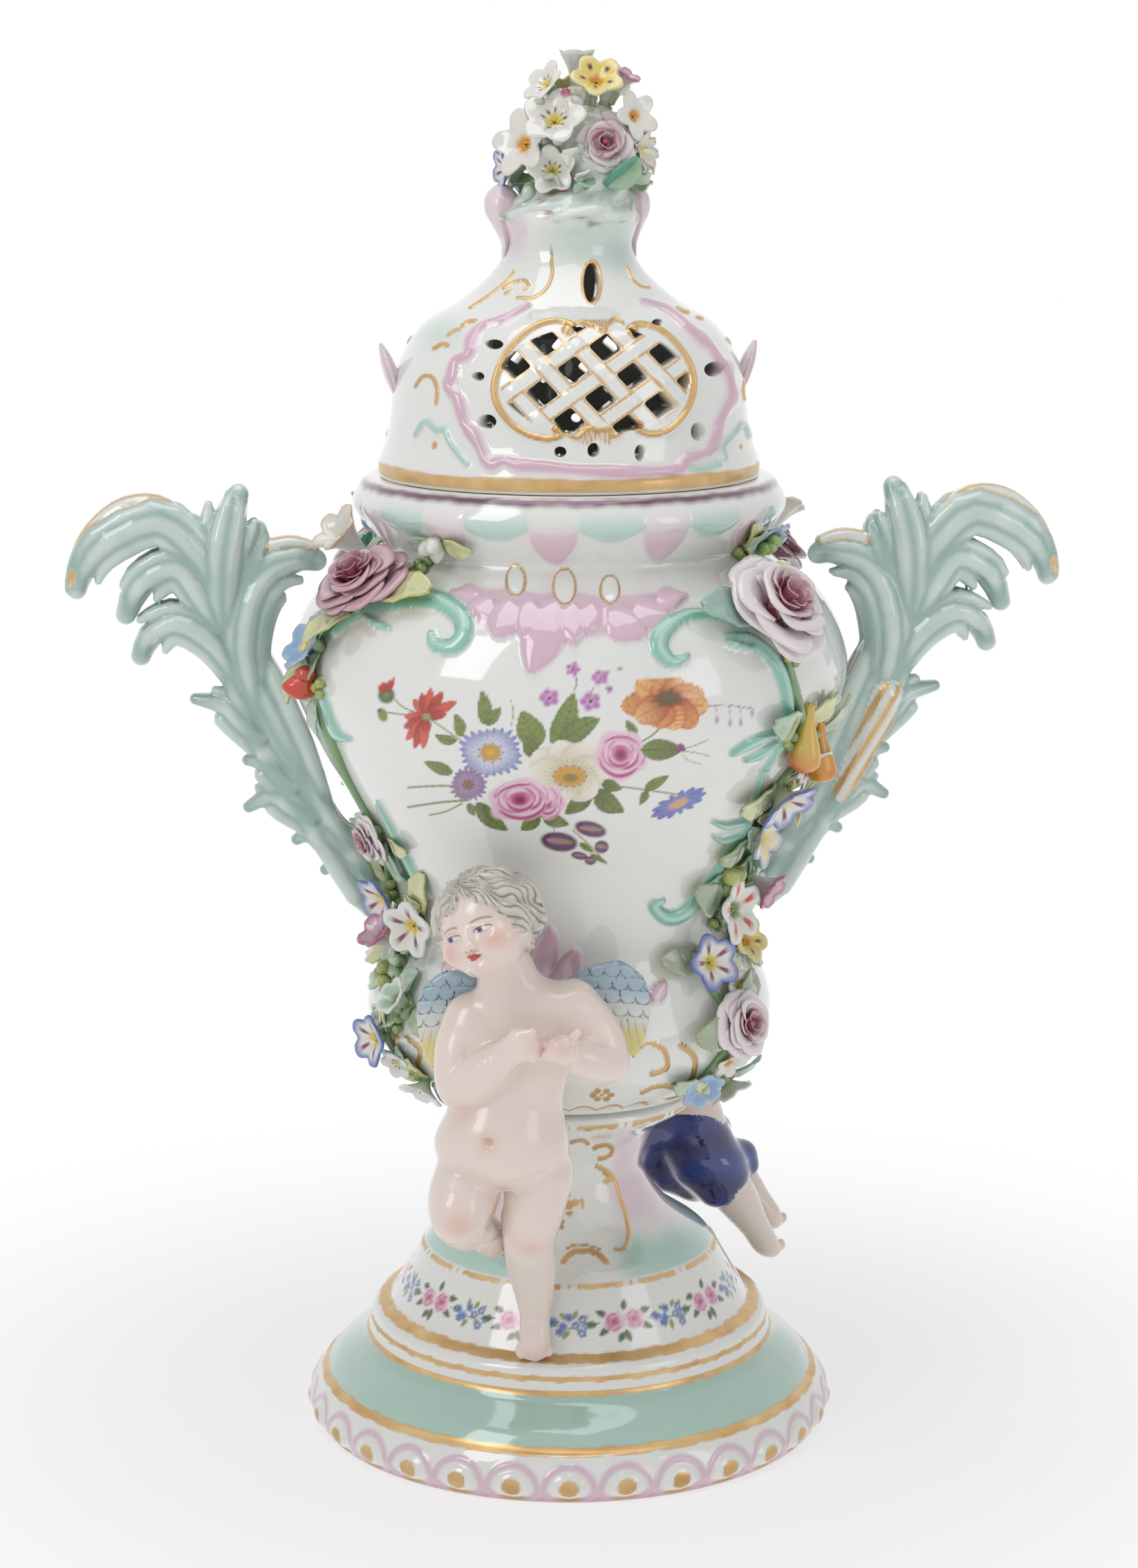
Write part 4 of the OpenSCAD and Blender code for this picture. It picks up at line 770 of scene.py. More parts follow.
def footLines(steps):
    f = foot
    egg = curve([[f["footR"], 0], [f["footR"] + 0.4, 1.6], [f["eggR"], f["eggH"] * 0.4],
                 [mix(f["footR"], f["eggR"], 0.3), f["eggH"] * 0.8],
                 [f["footR"] - 1.3, f["eggH"]]], steps)
    apron = curve([[f["footR"] - 2.6, f["eggH"] + 0.8],
                   [mix(f["apronR"], f["footR"], 0.6), mix(f["eggH"], f["apronH"], 0.42)],
                   [f["apronR"] + 2.5, f["apronH"] - 2.2], [f["apronR"] + 0.6, f["apronH"]]], steps)
    ledge = curve([[f["apronR"], f["apronH"] + 0.8], [f["apronR"] - 1, mix(f["apronH"], f["ledgeH"], 0.45)],
                   [f["apronR"] - 1.8, mix(f["apronH"], f["ledgeH"], 0.75)],
                   [f["ledgeR"] + 1, f["ledgeH"] - 0.6], [f["ledgeR"] - 0.6, f["ledgeH"]]], steps)
    frieze = curve([[f["ledgeR"] - 2, f["ledgeH"] + 0.5],
                    [mix(f["ledgeR"], f["friezeR"], 0.5) - 0.8, mix(f["ledgeH"], f["friezeH"], 0.5)],
                    [f["friezeR"] + 0.6, f["friezeH"] - 0.6]], steps)
    stem = curve([[f["friezeR"] - 0.6, f["friezeH"] + 0.6], [f["friezeR"] - 4, f["friezeH"] + 4],
                  [mix(f["stemR"], f["friezeR"], 0.36), mix(f["friezeH"], f["stemH"], 0.42)],
                  [f["stemR"] + 1.2, mix(f["friezeH"], f["stemH"], 0.78)], [f["stemR"], f["stemH"]],
                  [mix(f["stemR"], f["plateR"], 0.3), mix(f["stemH"], f["height"], 0.5)],
                  [f["plateR"] - 3, f["height"] - 6], [f["plateR"], f["height"] - 3.2],
                  [f["plateR"] - 0.6, f["height"]]], steps)
    return egg, apron, ledge, frieze, stem


footPanel = {"left": 560, "top": 1560, "scale": 2.613, "pen": 1.3}


def footCanvas(points):
    c = Canvas(points, white)
    theta, z, r, f, turn = c.theta, c.z, c.r, foot, np.radians(c.theta)
    wob = 0.1 * np.sin(turn * 31) + 0.08 * np.sin(turn * 67 + 1)
    # washes of the stem and the apron
    patch = 0.5 + 0.3 * np.sin(turn * 5 + z * 0.21) + 0.2 * np.sin(turn * 11 - z * 0.4)
    apron = ease(14.9, 15.7, z) * ease(28.6, 28.0, z)
    thick = np.clip(0.25 * patch + 0.75 * ease(70, 66.5, r) + 0.2 * ease(77, 80, r), 0, 1)
    c.wash(apron, mix(mix(apronGreen, paleGreen, 0.4), apronGreen, thick[:, None]))
    off = np.abs(np.abs(((theta + 90) % 180) - 90))      # degrees from the front and back panels
    skirt = ease(58.0, 58.8, z) * ease(71, 64, z + 3 * patch) * ease(16, 30, off)
    c.wash(skirt * 0.9, mix(seaGreen, paleGreen, np.clip(0.25 + 0.4 * patch, 0, 1)[:, None]))
    rosy = ease(66, 76, z + 2 * patch) * ease(105, 98, z) * ease(24, 42, off)
    c.wash(rosy * 0.75, mix(pink, palePink, np.clip(0.3 + 0.4 * patch, 0, 1)[:, None]))
    # gilt lines: distance from the line, where it is soft and where it runs
    for gap, wide, narrow, where in (
            (z - 38.25 - wob, 1.0, 0.6, True), (z - 33.2 - wob, 0.95, 0.6, r > 60),
            (z - 28.9 - wob * 0.5, 0.85, 0.5, r > 62), (r - 80.2 - wob, 1.25, 0.9, (z > 13.6) & (z < 17)),
            (z - 0.9, 0.8, 0.4, r > 80)):
        c.wash(ease(wide, narrow, np.abs(gap)) * where, gold)
    for where, repeats in ((57.4, 15), (107.0, 14)):
        run = (theta / 360 * repeats) % 1
        dash = ease(0.37, 0.35, np.abs(run - 0.5)) + ease(0.022, 0.014, np.minimum(run, 1 - run))
        c.wash(np.clip(dash, 0, 1) * ease(0.72, 0.42, np.abs(z - where - wob * 0.6)), gold)
    # egg band: raised eggs with gilt dots, pink arches between them
    across = ((theta / 360 * f["eggs"] + 0.5) % 1 - 0.5) * 2 * math.pi * f["eggR"] / f["eggs"]
    band = (z < f["eggH"] + 0.2) & (r > f["footR"] - 1.5)
    up = z - 5.6
    eggs = np.hypot(across / 5.6, up / 4.3)
    arch = np.hypot(across / 8.0, np.where(up > -1, (up + 1) / 7.2, (up + 1) / 6.0))
    c.wash(band * ease(1.2, 1.06, arch) * ease(0.8, 0.92, arch) * 0.85, pink)
    c.wash(band * ease(1.1, 1.35, eggs) * ease(5.0, 3.2, z) * 0.85, pink)
    c.wash(band * ease(0.6, 0.46, np.hypot(across / 5.2, up / 4.4)), gold)
    bead = 0.5 * ease(1.15, 1.02, arch) * ease(0.82, 0.95, arch)
    c.relief += band * (1.2 * np.sqrt(np.clip(1 - eggs ** 2, 0, 1)) + bead) * ease(0.2, 2.0, z)
    # wreath of small roses and forget-me-nots round the frieze, unrolled in millimetres
    frieze = (z > f["ledgeH"] + 0.4) & (z < f["friezeH"] - 1)
    pitch = 2 * math.pi * f["wreathR"] / f["roses"]
    c.x = np.where(frieze, turn * f["wreathR"], offSheet)
    c.y = np.where(frieze, -(z - 47.4) * 1.14, offSheet)
    for k in range(-f["roses"] // 2 - 1, f["roses"] // 2 + 1):
        wreath(c, (k + 0.5) * pitch + 0.9, pitch, k)
    d = Drawing(c, **footPanel)
    for side in (0, 180):
        c.face(side, side == 180)
        d.strokes((
            (3.6, 786, 262, 824, 250, 854, 262, 846, 288, 806, 302),
            (3.6, 796, 330, 836, 352, 864, 388, 884, 452, 906, 520, 917, 590, 900, 640, 866, 646),
            (5.0, 826, 352, 850, 376, 830, 388), (5.0, 670, 692, 700, 662, 744, 652, 796, 662, 832, 694),
            (1.8, 684, 642, 720, 628, 760, 632, 808, 646), (3.4, 470, 262, 440, 276, 452, 300),
            (3.4, 480, 330, 436, 388, 420, 452, 400, 520, 378, 590), (2.2, 388, 606, 420, 640, 452, 672),
            (4.4, 372, 570, 356, 600, 340, 626), (3.4, 430, 600, 450, 620, 470, 660),
            (3.4, 700, 240, 740, 232, 762, 246)), gold, soft=0.9, height=0.35)
        for x, y, s in (
                (690, 404, 7), (686, 440, 9), (714, 468, 12), (738, 462, 8), (742, 480, 7), (690, 478, 14),
                (666, 502, 9), (692, 510, 9), (664, 540, 8),
                (660, 560, 9)):
            c.dab(d.at(x, y), s / 2.2, s / 2.6, gold, soft=0.35)
    return c


def wreath(c, middle, pitch, seed):
    light, mid, deep = paint(240, 208, 222), paint(214, 134, 172), paint(178, 62, 116)
    blue, blueDeep = paint(120, 148, 206), paint(58, 82, 160)
    draw = np.random.default_rng(100 + seed)
    for dx, dy, size in ((-6.4, 2.6, 4.4), (-7.0, -2.6, 3.6), (6.6, 2.2, 4.4), (7.2, -2.4, 3.8),
                         (0.4, 4.6, 4.2), (-1.6, 5.0, 3.2), (0.6, -4.6, 3.4), (-10.4, 0.6, 3.6),
                         (10.6, 0.0, 3.8)):
        a = math.atan2(dy, dx) + draw.normal(0, 0.25)
        c.blade((middle + dx - 0.4 * size * math.cos(a), dy - 0.4 * size * math.sin(a)),
                (middle + dx + 0.6 * size * math.cos(a), dy + 0.6 * size * math.sin(a)), 1.1,
                leafGreen, darkGreen, vein=darkGreen, blunt=0.8, soft=0.35)
    for dx, dy, r in ((-3.4, 0.2, 3.4), (3.2, -0.1, 3.5)):
        c.dab((middle + dx, dy), r, r * 0.98, mid, rim=light, lobes=5, lobeDepth=0.08, soft=0.1,
              turn=draw.uniform(0, 70))
        for q, a0 in ((0.72, 30), (0.68, 190), (0.45, 110), (0.42, 280)):
            a = np.radians(np.linspace(a0, a0 + 110, 5) + draw.uniform(-20, 20))
            c.line(np.stack([middle + dx + q * r * np.cos(a), dy + q * r * np.sin(a)], 1), 0.26,
                   mix(deep, mid, 0.3), soft=0.3, steps=3)
        c.dab((middle + dx, dy), r * 0.26, r * 0.26, deep, soft=0.5)
    far = middle + pitch / 2
    c.line([(middle + 8, 0.4), (far, 1.4), (middle + pitch - 8, 0.2)], 0.2, leafGreen, soft=0.3)
    for dx, dy, size in ((-4.6, 2.8, 3.4), (-1.8, 4.4, 3.4), (3.4, 3.8, 3.2), (5.0, -2.4, 3.0),
                         (-3.4, -2.6, 3.0), (1.0, -3.0, 2.8)):
        a = math.atan2(dy, dx) + draw.normal(0, 0.3)
        c.blade((far + dx * 0.5, dy * 0.5),
                (far + dx * 0.5 + size * math.cos(a), dy * 0.5 + size * math.sin(a)), 0.8, oliveGreen,
                leafGreen, blunt=0.8, soft=0.35)
    for dx, dy in ((-5.4, -0.2), (-2.8, 1.2), (-1.2, -1.6), (1.2, 0.6), (3.4, -1.2), (5.0, 1.2), (3.0, 3.6),
                   (-4.0, 2.6)):
        dx, dy = dx + draw.normal(0, 0.3), dy + draw.normal(0, 0.3)
        for m in range(5):
            a = 2 * math.pi * m / 5 + dx
            c.dab((far + dx + 0.8 * math.cos(a), dy + 0.8 * math.sin(a)), 0.62, 0.62,
                  mix(blue, blueDeep, draw.uniform(0, 0.6)), soft=0.4)
        c.dab((far + dx, dy), 0.4, 0.4, paint(236, 226, 170) if dx > 0 else blueDeep, soft=0.5)


def makeFoot():
    f, wall, under = foot, foot["wall"], foot["height"] - foot["plate"]
    line = np.concatenate(footLines(10))
    line = respaced(line, lambda q: np.where(q[:, 1] < f["friezeH"], f["fineStep"], f["step"]))
    hollow = [[f["footR"] - wall - 2, 0], [f["footR"] - wall - 1, f["eggH"] - 4],
              [f["apronR"] - wall - 1, f["apronH"] - 4], [f["ledgeR"] - wall - 2, f["ledgeH"] - 4],
              [f["friezeR"] - wall - 2, f["friezeH"] - 3]]
    hollow += [[max(min(r, f["friezeR"] - 2) - wall, 12), z] for r, z in footLines(3)[4] if z < under]
    hollow += [[f["stemR"] - wall, under], [f["hole"], under], [f["hole"], f["height"]]]
    narrow, broad = alongWall(f["fineStep"], 60), alongWall(f["sideStep"], 60)
    angles = spreadAngles(lambda a: np.where(np.abs(a) < 80, narrow, broad))
    shell("pedestal", line, np.array(hollow[::-1]), angles, footCanvas)


makeFoot()


# cover
lid = {
    "seat": 308.7, "rim": 59.4, "rimH": 5.0, "dome": 53.6, "domeH": 33.0, "spout": 19.8, "spoutH": 71.0,
    "lipH": 82.0, "wall": 4.0,
    "flange": 50.8, "flangeH": 9.0, "step": 0.6, "stripHalf": 0.21, "weave": 0.75,
    "latticeAt": (831.2, 536.0), "along": (46.4, -33.2), "across": (39.8, 41.5), "windowAt": (861.0, 551.0),
    "window": (139.0, 79.0),
}


def coverLine(steps):
    v, z = lid, lid["seat"]
    dome, domeH, spout, spoutH = v["dome"], v["domeH"], v["spout"], v["spoutH"]
    stops = [[v["rim"], 0], [v["rim"], v["rimH"]], [mix(dome, v["rim"], 0.5), domeH * 0.42], [dome, domeH]]
    stops += [[mix(spout, dome, a), mix(domeH, spoutH, b)]
              for a, b in ((0.77, 0.35), (0.4, 0.56), (0.1, 0.8))]
    stops += [[spout, spoutH], [spout + 2.6, v["lipH"] - 3], [spout + 1.6, v["lipH"]]]
    return curve(stops, steps) + [0, z]


def weave(c):
    # woven strips: open cells, the strips' rise and fall, and their gilt edges
    k, half = lid, lid["stripHalf"]
    ex, ey = k["along"], k["across"]
    det = ex[0] * ey[1] - ey[0] * ex[1]
    dx, dy = c.x - k["latticeAt"][0], c.y - k["latticeAt"][1]
    a, b = (dx * ey[1] - dy * ey[0]) / det, (ex[0] * dy - ex[1] * dx) / det
    fa, fb = np.abs(a - np.round(a)), np.abs(b - np.round(b))
    qa, qb = fa - 0.22, fb - 0.22
    corner = np.hypot(np.maximum(qa, 0), np.maximum(qb, 0))
    cell = (corner + np.minimum(np.maximum(qa, qb), 0) - 0.07) * 57
    wx, wy = (c.x - k["windowAt"][0]) / k["window"][0], (c.y - k["windowAt"][1]) / k["window"][1]
    oval = (np.hypot(wx, wy) - 1) * k["window"][1]
    # distance from the middle line of the nearest strip of each direction
    sa, sb = 0.5 - fa, 0.5 - fb
    over = (np.floor(a) + np.floor(b)) % 2 == 0
    cross = ease(0.3, 0.0, sa) * ease(0.3, 0.0, sb)
    riseA, riseB = (ease(half + 0.03, half - 0.03, s) for s in (sa, sb))
    c.relief += ease(4, -2, oval) * k["weave"] * np.where(over, riseA, riseB) * np.clip(cross * 1.4, 0, 1)
    edgeA, edgeB = (ease(0.032, 0.012, np.abs(s - half + 0.03)) for s in (sa, sb))
    lineA = np.where(~over & (sb < half), 0, edgeA)
    lineB = np.where(over & (sa < half), 0, edgeB)
    c.wash(np.maximum(lineA, lineB) * ease(1, -3, oval), gold)
    return np.maximum(cell, oval)


coverPanel = {"left": 600, "top": 260, "scale": 3.015, "pen": 1}
slotHole = {"at": (857, 409), "half": (11.4, 28.5), "frame": (13.6, 31.0)}


def coverPaint(c):
    d = Drawing(c, **coverPanel)
    # washes
    for x, y, rx, ry, shade, soft in (
            (790, 250, 70, 34, mix(seaGreen, white, 0.62), 0.6),
            (900, 320, 22, 26, mix(seaGreen, white, 0.5), 0.7),
            (440, 215, 15, 34, mix(pink, white, 0.45), 0.8),
            (1040, 130, 10, 26, mix(pink, palePink, 0.4), 0.7),
            (90, 650, 36, 26, mix(seaGreen, white, 0.6), 0.8)):
        d.dab(x, y, rx, ry, shade, soft=soft)
    # brown stains of the clay under the bunch
    for place in ((640, 150, 10, 9), (720, 95, 12, 16), (780, 192, 9, 4), (920, 155, 8, 8), (985, 185, 6, 12),
                  (590, 140, 8, 7), (860, 120, 7, 5), (600, 330, 2, 12)):
        d.dab(*place, mix(stain, white, 0.15), soft=0.75, lobes=3, lobeDepth=0.25)
    # ruffled mauve border
    ruffle = np.reshape((
        500, 552, 400, 608, 300, 640, 252, 700, 238, 762, 182, 792, 168, 850, 152, 902, 190, 952, 208, 1010,
        222, 1062, 262, 1110, 288, 1162, 312, 1220, 342, 1242, 392, 1228, 462, 1246, 560, 1252, 700, 1266,
        900, 1276, 1050, 1276, 1152, 1262, 1192, 1216, 1270, 1190, 1312, 1140, 1330, 1060, 1358, 1002, 1390,
        950, 1378, 884, 1366, 832, 1330, 790, 1290, 730, 1252, 690, 1200, 650, 1140, 592, 1080, 556, 985,
        528), (-1, 2))
    last = len(ruffle) - 1
    width = np.array([3.0 + 4.2 * min(1, k / 3, (last - k) / 3) + 1.6 * math.sin(2.4 * k)
                      for k in range(last + 1)])
    d.line(ruffle, width * 1.5, mix(palePink, white, 0.35), height=0.8, soft=3.0, steps=4)
    d.line(ruffle, width, mix(pink, deepPink, 0.12), height=1.5, soft=2.2, steps=4)
    # sea-green frills at the sides
    d.strokes((
        (4.2, 10, 1110, 50, 1052, 96, 1090, 136, 1092, 156, 1140, 196, 1196, 232, 1240),
        (4.2, 1358, 1212, 1350, 1166, 1396, 1112, 1436, 1062, 1462, 1120),
        (4.2, 1210, 1262, 1270, 1262, 1330, 1240)), mix(seaGreen, white, 0.2), height=1.0, soft=2.4)
    # gilt frame of four scrolls
    for row in (
            (672, 664, 4.6, 692, 640, 4.4, 650, 622, 3.0, 590, 622, 3.2, 520, 648, 3.4, 452, 700, 3.8, 396,
             770, 4.2, 362, 850, 4.6, 352, 930, 4.6, 376, 1002, 4.2, 430, 1068, 3.8, 500, 1112, 3.8, 584,
             1130, 4.2, 642, 1112, 4.2, 634, 1080, 5.0),
            (950, 662, 5.0, 962, 636, 4.4, 1010, 634, 3.2, 1070, 654, 3.4, 1134, 706, 3.6, 1190, 782, 3.8,
             1218, 864, 4.2, 1210, 950, 4.4, 1170, 1030, 4.0, 1110, 1088, 4.0, 1040, 1108, 4.0, 980, 1092,
             4.2, 966, 1064, 5.0),
            (700, 626, 1.2, 742, 630, 2.4, 790, 642, 2.2, 822, 656, 2.6, 868, 614, 2.8, 912, 630, 1.4),
            (664, 1106, 1.6, 712, 1126, 2.6, 756, 1086, 3.0, 802, 1092, 2.8, 850, 1090, 2.8, 862, 1122, 2.6,
             912, 1096, 2.4, 946, 1078, 1.6)):
        d.scroll(row, 1, gold, height=1.3, soft=1.3)
    for k in range(9):
        d.line(((740 + 12 * k, 640 + 1.2 * k), (732 + 13 * k, 612)), 0.8, gold)
        d.line(((738 + 14 * k, 1096), (724 + 16 * k, 1140 + 10 * math.sin(k))), 0.9, gold)
    for x, y in ((672, 656), (950, 656), (630, 1086), (972, 1072)):
        d.dab(x, y, 8.5, 7.5, gold, height=1.6, soft=0.15)
    # gilt strokes of the upper part
    d.strokes((
        (1.7, 245, 560, 330, 502, 395, 450, 440, 396),
        (2.0, 392, 474, 440, 446, 484, 440, 502, 466, 484, 480),
        (2.0, 452, 514, 520, 516, 580, 472, 604, 410, 600, 352),
        (1.6, 930, 384, 950, 430, 990, 464, 1028, 470), (1.2, 1090, 468, 1150, 496, 1190, 506),
        (3.0, 214, 634, 240, 618, 266, 616), (2.6, 150, 676, 178, 656, 198, 652),
        (3.0, 88, 736, 124, 716, 146, 722), (2.6, 8, 900, 40, 858, 78, 860, 102, 910, 98, 972),
        (3.0, 1150, 560, 1180, 574, 1194, 578), (2.6, 1236, 600, 1256, 606), (2.8, 1366, 694, 1388, 714),
        (2.0, 1440, 870, 1436, 920, 1442, 960), (1.5, 1472, 960, 1492, 1080, 1500, 1180),
        (2.0, 400, 496, 424, 486)), gold, height=0.5, soft=1.0)
    d.dab(90, 1158, 3.4, 5.4, gold)
    d.dab(1426, 1164, 2.4, 4.0, gold)
    ring = np.linspace(0, 2 * math.pi, 21)
    (x, y), (rx, ry) = slotHole["at"], slotHole["frame"]
    edge = np.stack([x + rx * np.cos(ring), y + ry * np.sin(ring)], 1)
    c.line(edge, np.where(np.sin(ring) < -0.7, 2.6, 1.7), gold, soft=1.0, height=0.5, steps=3)


def coverCanvas(points):
    c = Canvas(points, white)
    d = Drawing(c, **coverPanel)
    c.hole = np.full(len(c.z), 99.0)
    holes = [(*d.at(x, y), rx / d.scale, ry / d.scale) for x, y, rx, ry in (
        (348, 718, 42, 22), (278, 858, 30, 20), (318, 1055, 42, 32), (638, 1188, 28, 25), (785, 1180, 28, 32),
        (988, 1192, 25, 38), (1240, 1098, 32, 42), (1308, 828, 42, 32), (1065, 625, 28, 18))]
    holes.append((*slotHole["at"], *slotHole["half"]))
    for turn in (0, 180):
        c.face(turn)
        opening = weave(c)
        coverPaint(c)
        for x, y, rx, ry in holes:
            opening = np.minimum(opening, (np.hypot((c.x - x) / rx, (c.y - y) / ry) - 1) * min(rx, ry))
        c.hole = np.where(c.x > -1e3, np.minimum(c.hole, opening), c.hole)
    up, turn = c.z - lid["seat"], np.radians(c.theta)
    wob = 0.25 * np.sin(turn * 7) + 0.12 * np.sin(turn * 31)
    c.wash(ease(0.5, 1.0, up) * ease(5.0, 4.2, up + wob) * 0.92, gold)
    c.relief *= ease(0.0, 3.0, c.hole) * 0.4 + 0.6
    return c


def makeCover():
    v, z = lid, lid["seat"]
    rows = respaced(coverLine(24), lambda q: 0 * q[:, 1] + v["step"])
    angles = spreadAngles(lambda a: 0 * a + alongWall(v["step"], 56))
    count = len(angles)
    c = coverCanvas(turnedRows(rows, angles))
    lifted = raised(rows, angles, c)
    low, high = np.searchsorted(rows[:, 1], z + 6.0), np.searchsorted(rows[:, 1], z + v["lipH"] - 7)
    insideReach = np.clip(rows[:, 0] - v["wall"], 9, v["flange"] - v["wall"] + 0.5)
    within = turnedRows(np.stack([insideReach, rows[:, 1]], 1), angles).reshape(-1, 3)
    hole = c.hole
    quads = ringQuads(len(rows), count)
    solid = (hole[quads] > 0).sum(1)
    whole = quads[solid == 4]
    cutOut, made, tris, walls = [], {}, [], []

    def crossing(i, j):
        key = (min(i, j), max(i, j))
        if key not in made:
            made[key] = len(made)
            t = hole[key[0]] / (hole[key[0]] - hole[key[1]])
            cutOut.append((key[0], key[1], t))
        return -1 - made[key]

    for q in quads[(solid > 0) & (solid < 4)]:
        ring, leave, enter = [], [], []
        for k in range(4):
            i, j = int(q[k]), int(q[(k + 1) % 4])
            if hole[i] > 0:
                ring.append(i)
            if (hole[i] > 0) != (hole[j] > 0):
                mark = crossing(i, j)
                ring.append(mark)
                (leave if hole[i] > 0 else enter).append(mark)
        for k in range(1, len(ring) - 1):
            tris.append((ring[0], ring[k], ring[k + 1]))
        walls += list(zip(leave, enter))
    cut = np.array(cutOut)
    i, j, t = cut[:, 0].astype(int), cut[:, 1].astype(int), cut[:, 2:3]
    edgeOut, edgeIn = mix(lifted[i], lifted[j], t), mix(within[i], within[j], t)
    total, edges = len(lifted), len(cut)
    # outer points, inner points, then the cut edge outside and inside
    allPoints = np.concatenate([lifted, within, edgeOut, edgeIn])
    shade = np.concatenate([c.colour, np.tile(white, (total, 1)), mix(c.colour[i], c.colour[j], t),
                            np.tile(white, (edges, 1))])
    film = np.concatenate([c.gilt, np.zeros(total), mix(c.gilt[i], c.gilt[j], t[:, 0]), np.zeros(edges)])
    outside = lambda k: np.where(k < 0, 2 * total - 1 - k, k)
    inside = lambda k: np.where(k < 0, 2 * total + edges - 1 - k, k + total)
    tri = np.array(tris)
    outerTris, innerTris = outside(tri), inside(tri)[:, ::-1]
    rowOf = whole[:, 0] // count
    innerQuads = (whole[(rowOf >= low) & (rowOf < high)] + total)[:, ::-1]
    wall = np.array(walls)
    wallQuads = np.stack([outside(wall[:, 1]), outside(wall[:, 0]), inside(wall[:, 0]), inside(wall[:, 1])],
                         1)
    # flange, seat and top close the shell
    reach, drop, lip = v["flange"], z - v["flangeH"], z + v["lipH"]
    flange = np.array([[v["rim"] - 1, z], [reach, z], [reach, z - v["flangeH"] * 0.5], [reach - 0.4, drop],
                       [reach - v["wall"], drop], [reach - v["wall"], z - 2]])
    top = np.array([[v["spout"] - 1, lip], [0.4, lip], [0.4, lip - 4], [v["spout"] - v["wall"] - 2, lip - 5]])
    extra = np.concatenate([turnedRows(flange, angles).reshape(-1, 3),
                            turnedRows(top, angles).reshape(-1, 3)])
    start = len(allPoints)
    strip = lambda first, second: np.stack([first, np.roll(first, -1), np.roll(second, -1), second], 1)
    rowAt = lambda base, k: base + k * count + np.arange(count)
    chain = [rowAt(total, low)] + [rowAt(start, k) for k in range(len(flange) - 1, -1, -1)] + [rowAt(0, 0)]
    over = ([rowAt(0, len(rows) - 1)] + [rowAt(start + len(flange) * count, k) for k in range(len(top))]
            + [rowAt(total, high)])
    caps = ([strip(p, q) for p, q in zip(chain[:-1], chain[1:])]
            + [strip(p, q) for p, q in zip(over[:-1], over[1:])])
    allPoints = np.concatenate([allPoints, extra])
    shade = np.concatenate([shade, np.tile(white, (len(extra), 1))])
    film = np.concatenate([film, np.zeros(len(extra))])
    every = np.concatenate([whole, innerQuads, wallQuads] + caps)
    faces = np.concatenate([outerTris, innerTris])
    used = np.zeros(len(allPoints), bool)
    used[every.ravel()] = True
    used[faces.ravel()] = True
    fresh = np.cumsum(used) - 1
    piece("cover", allPoints[used], fresh[every], fresh[faces], "cover", "white_porcelain", ["cover"],
          finish["white"], shade[used], film[used])
    print("cover:", int(used.sum()), "points")


makeCover()


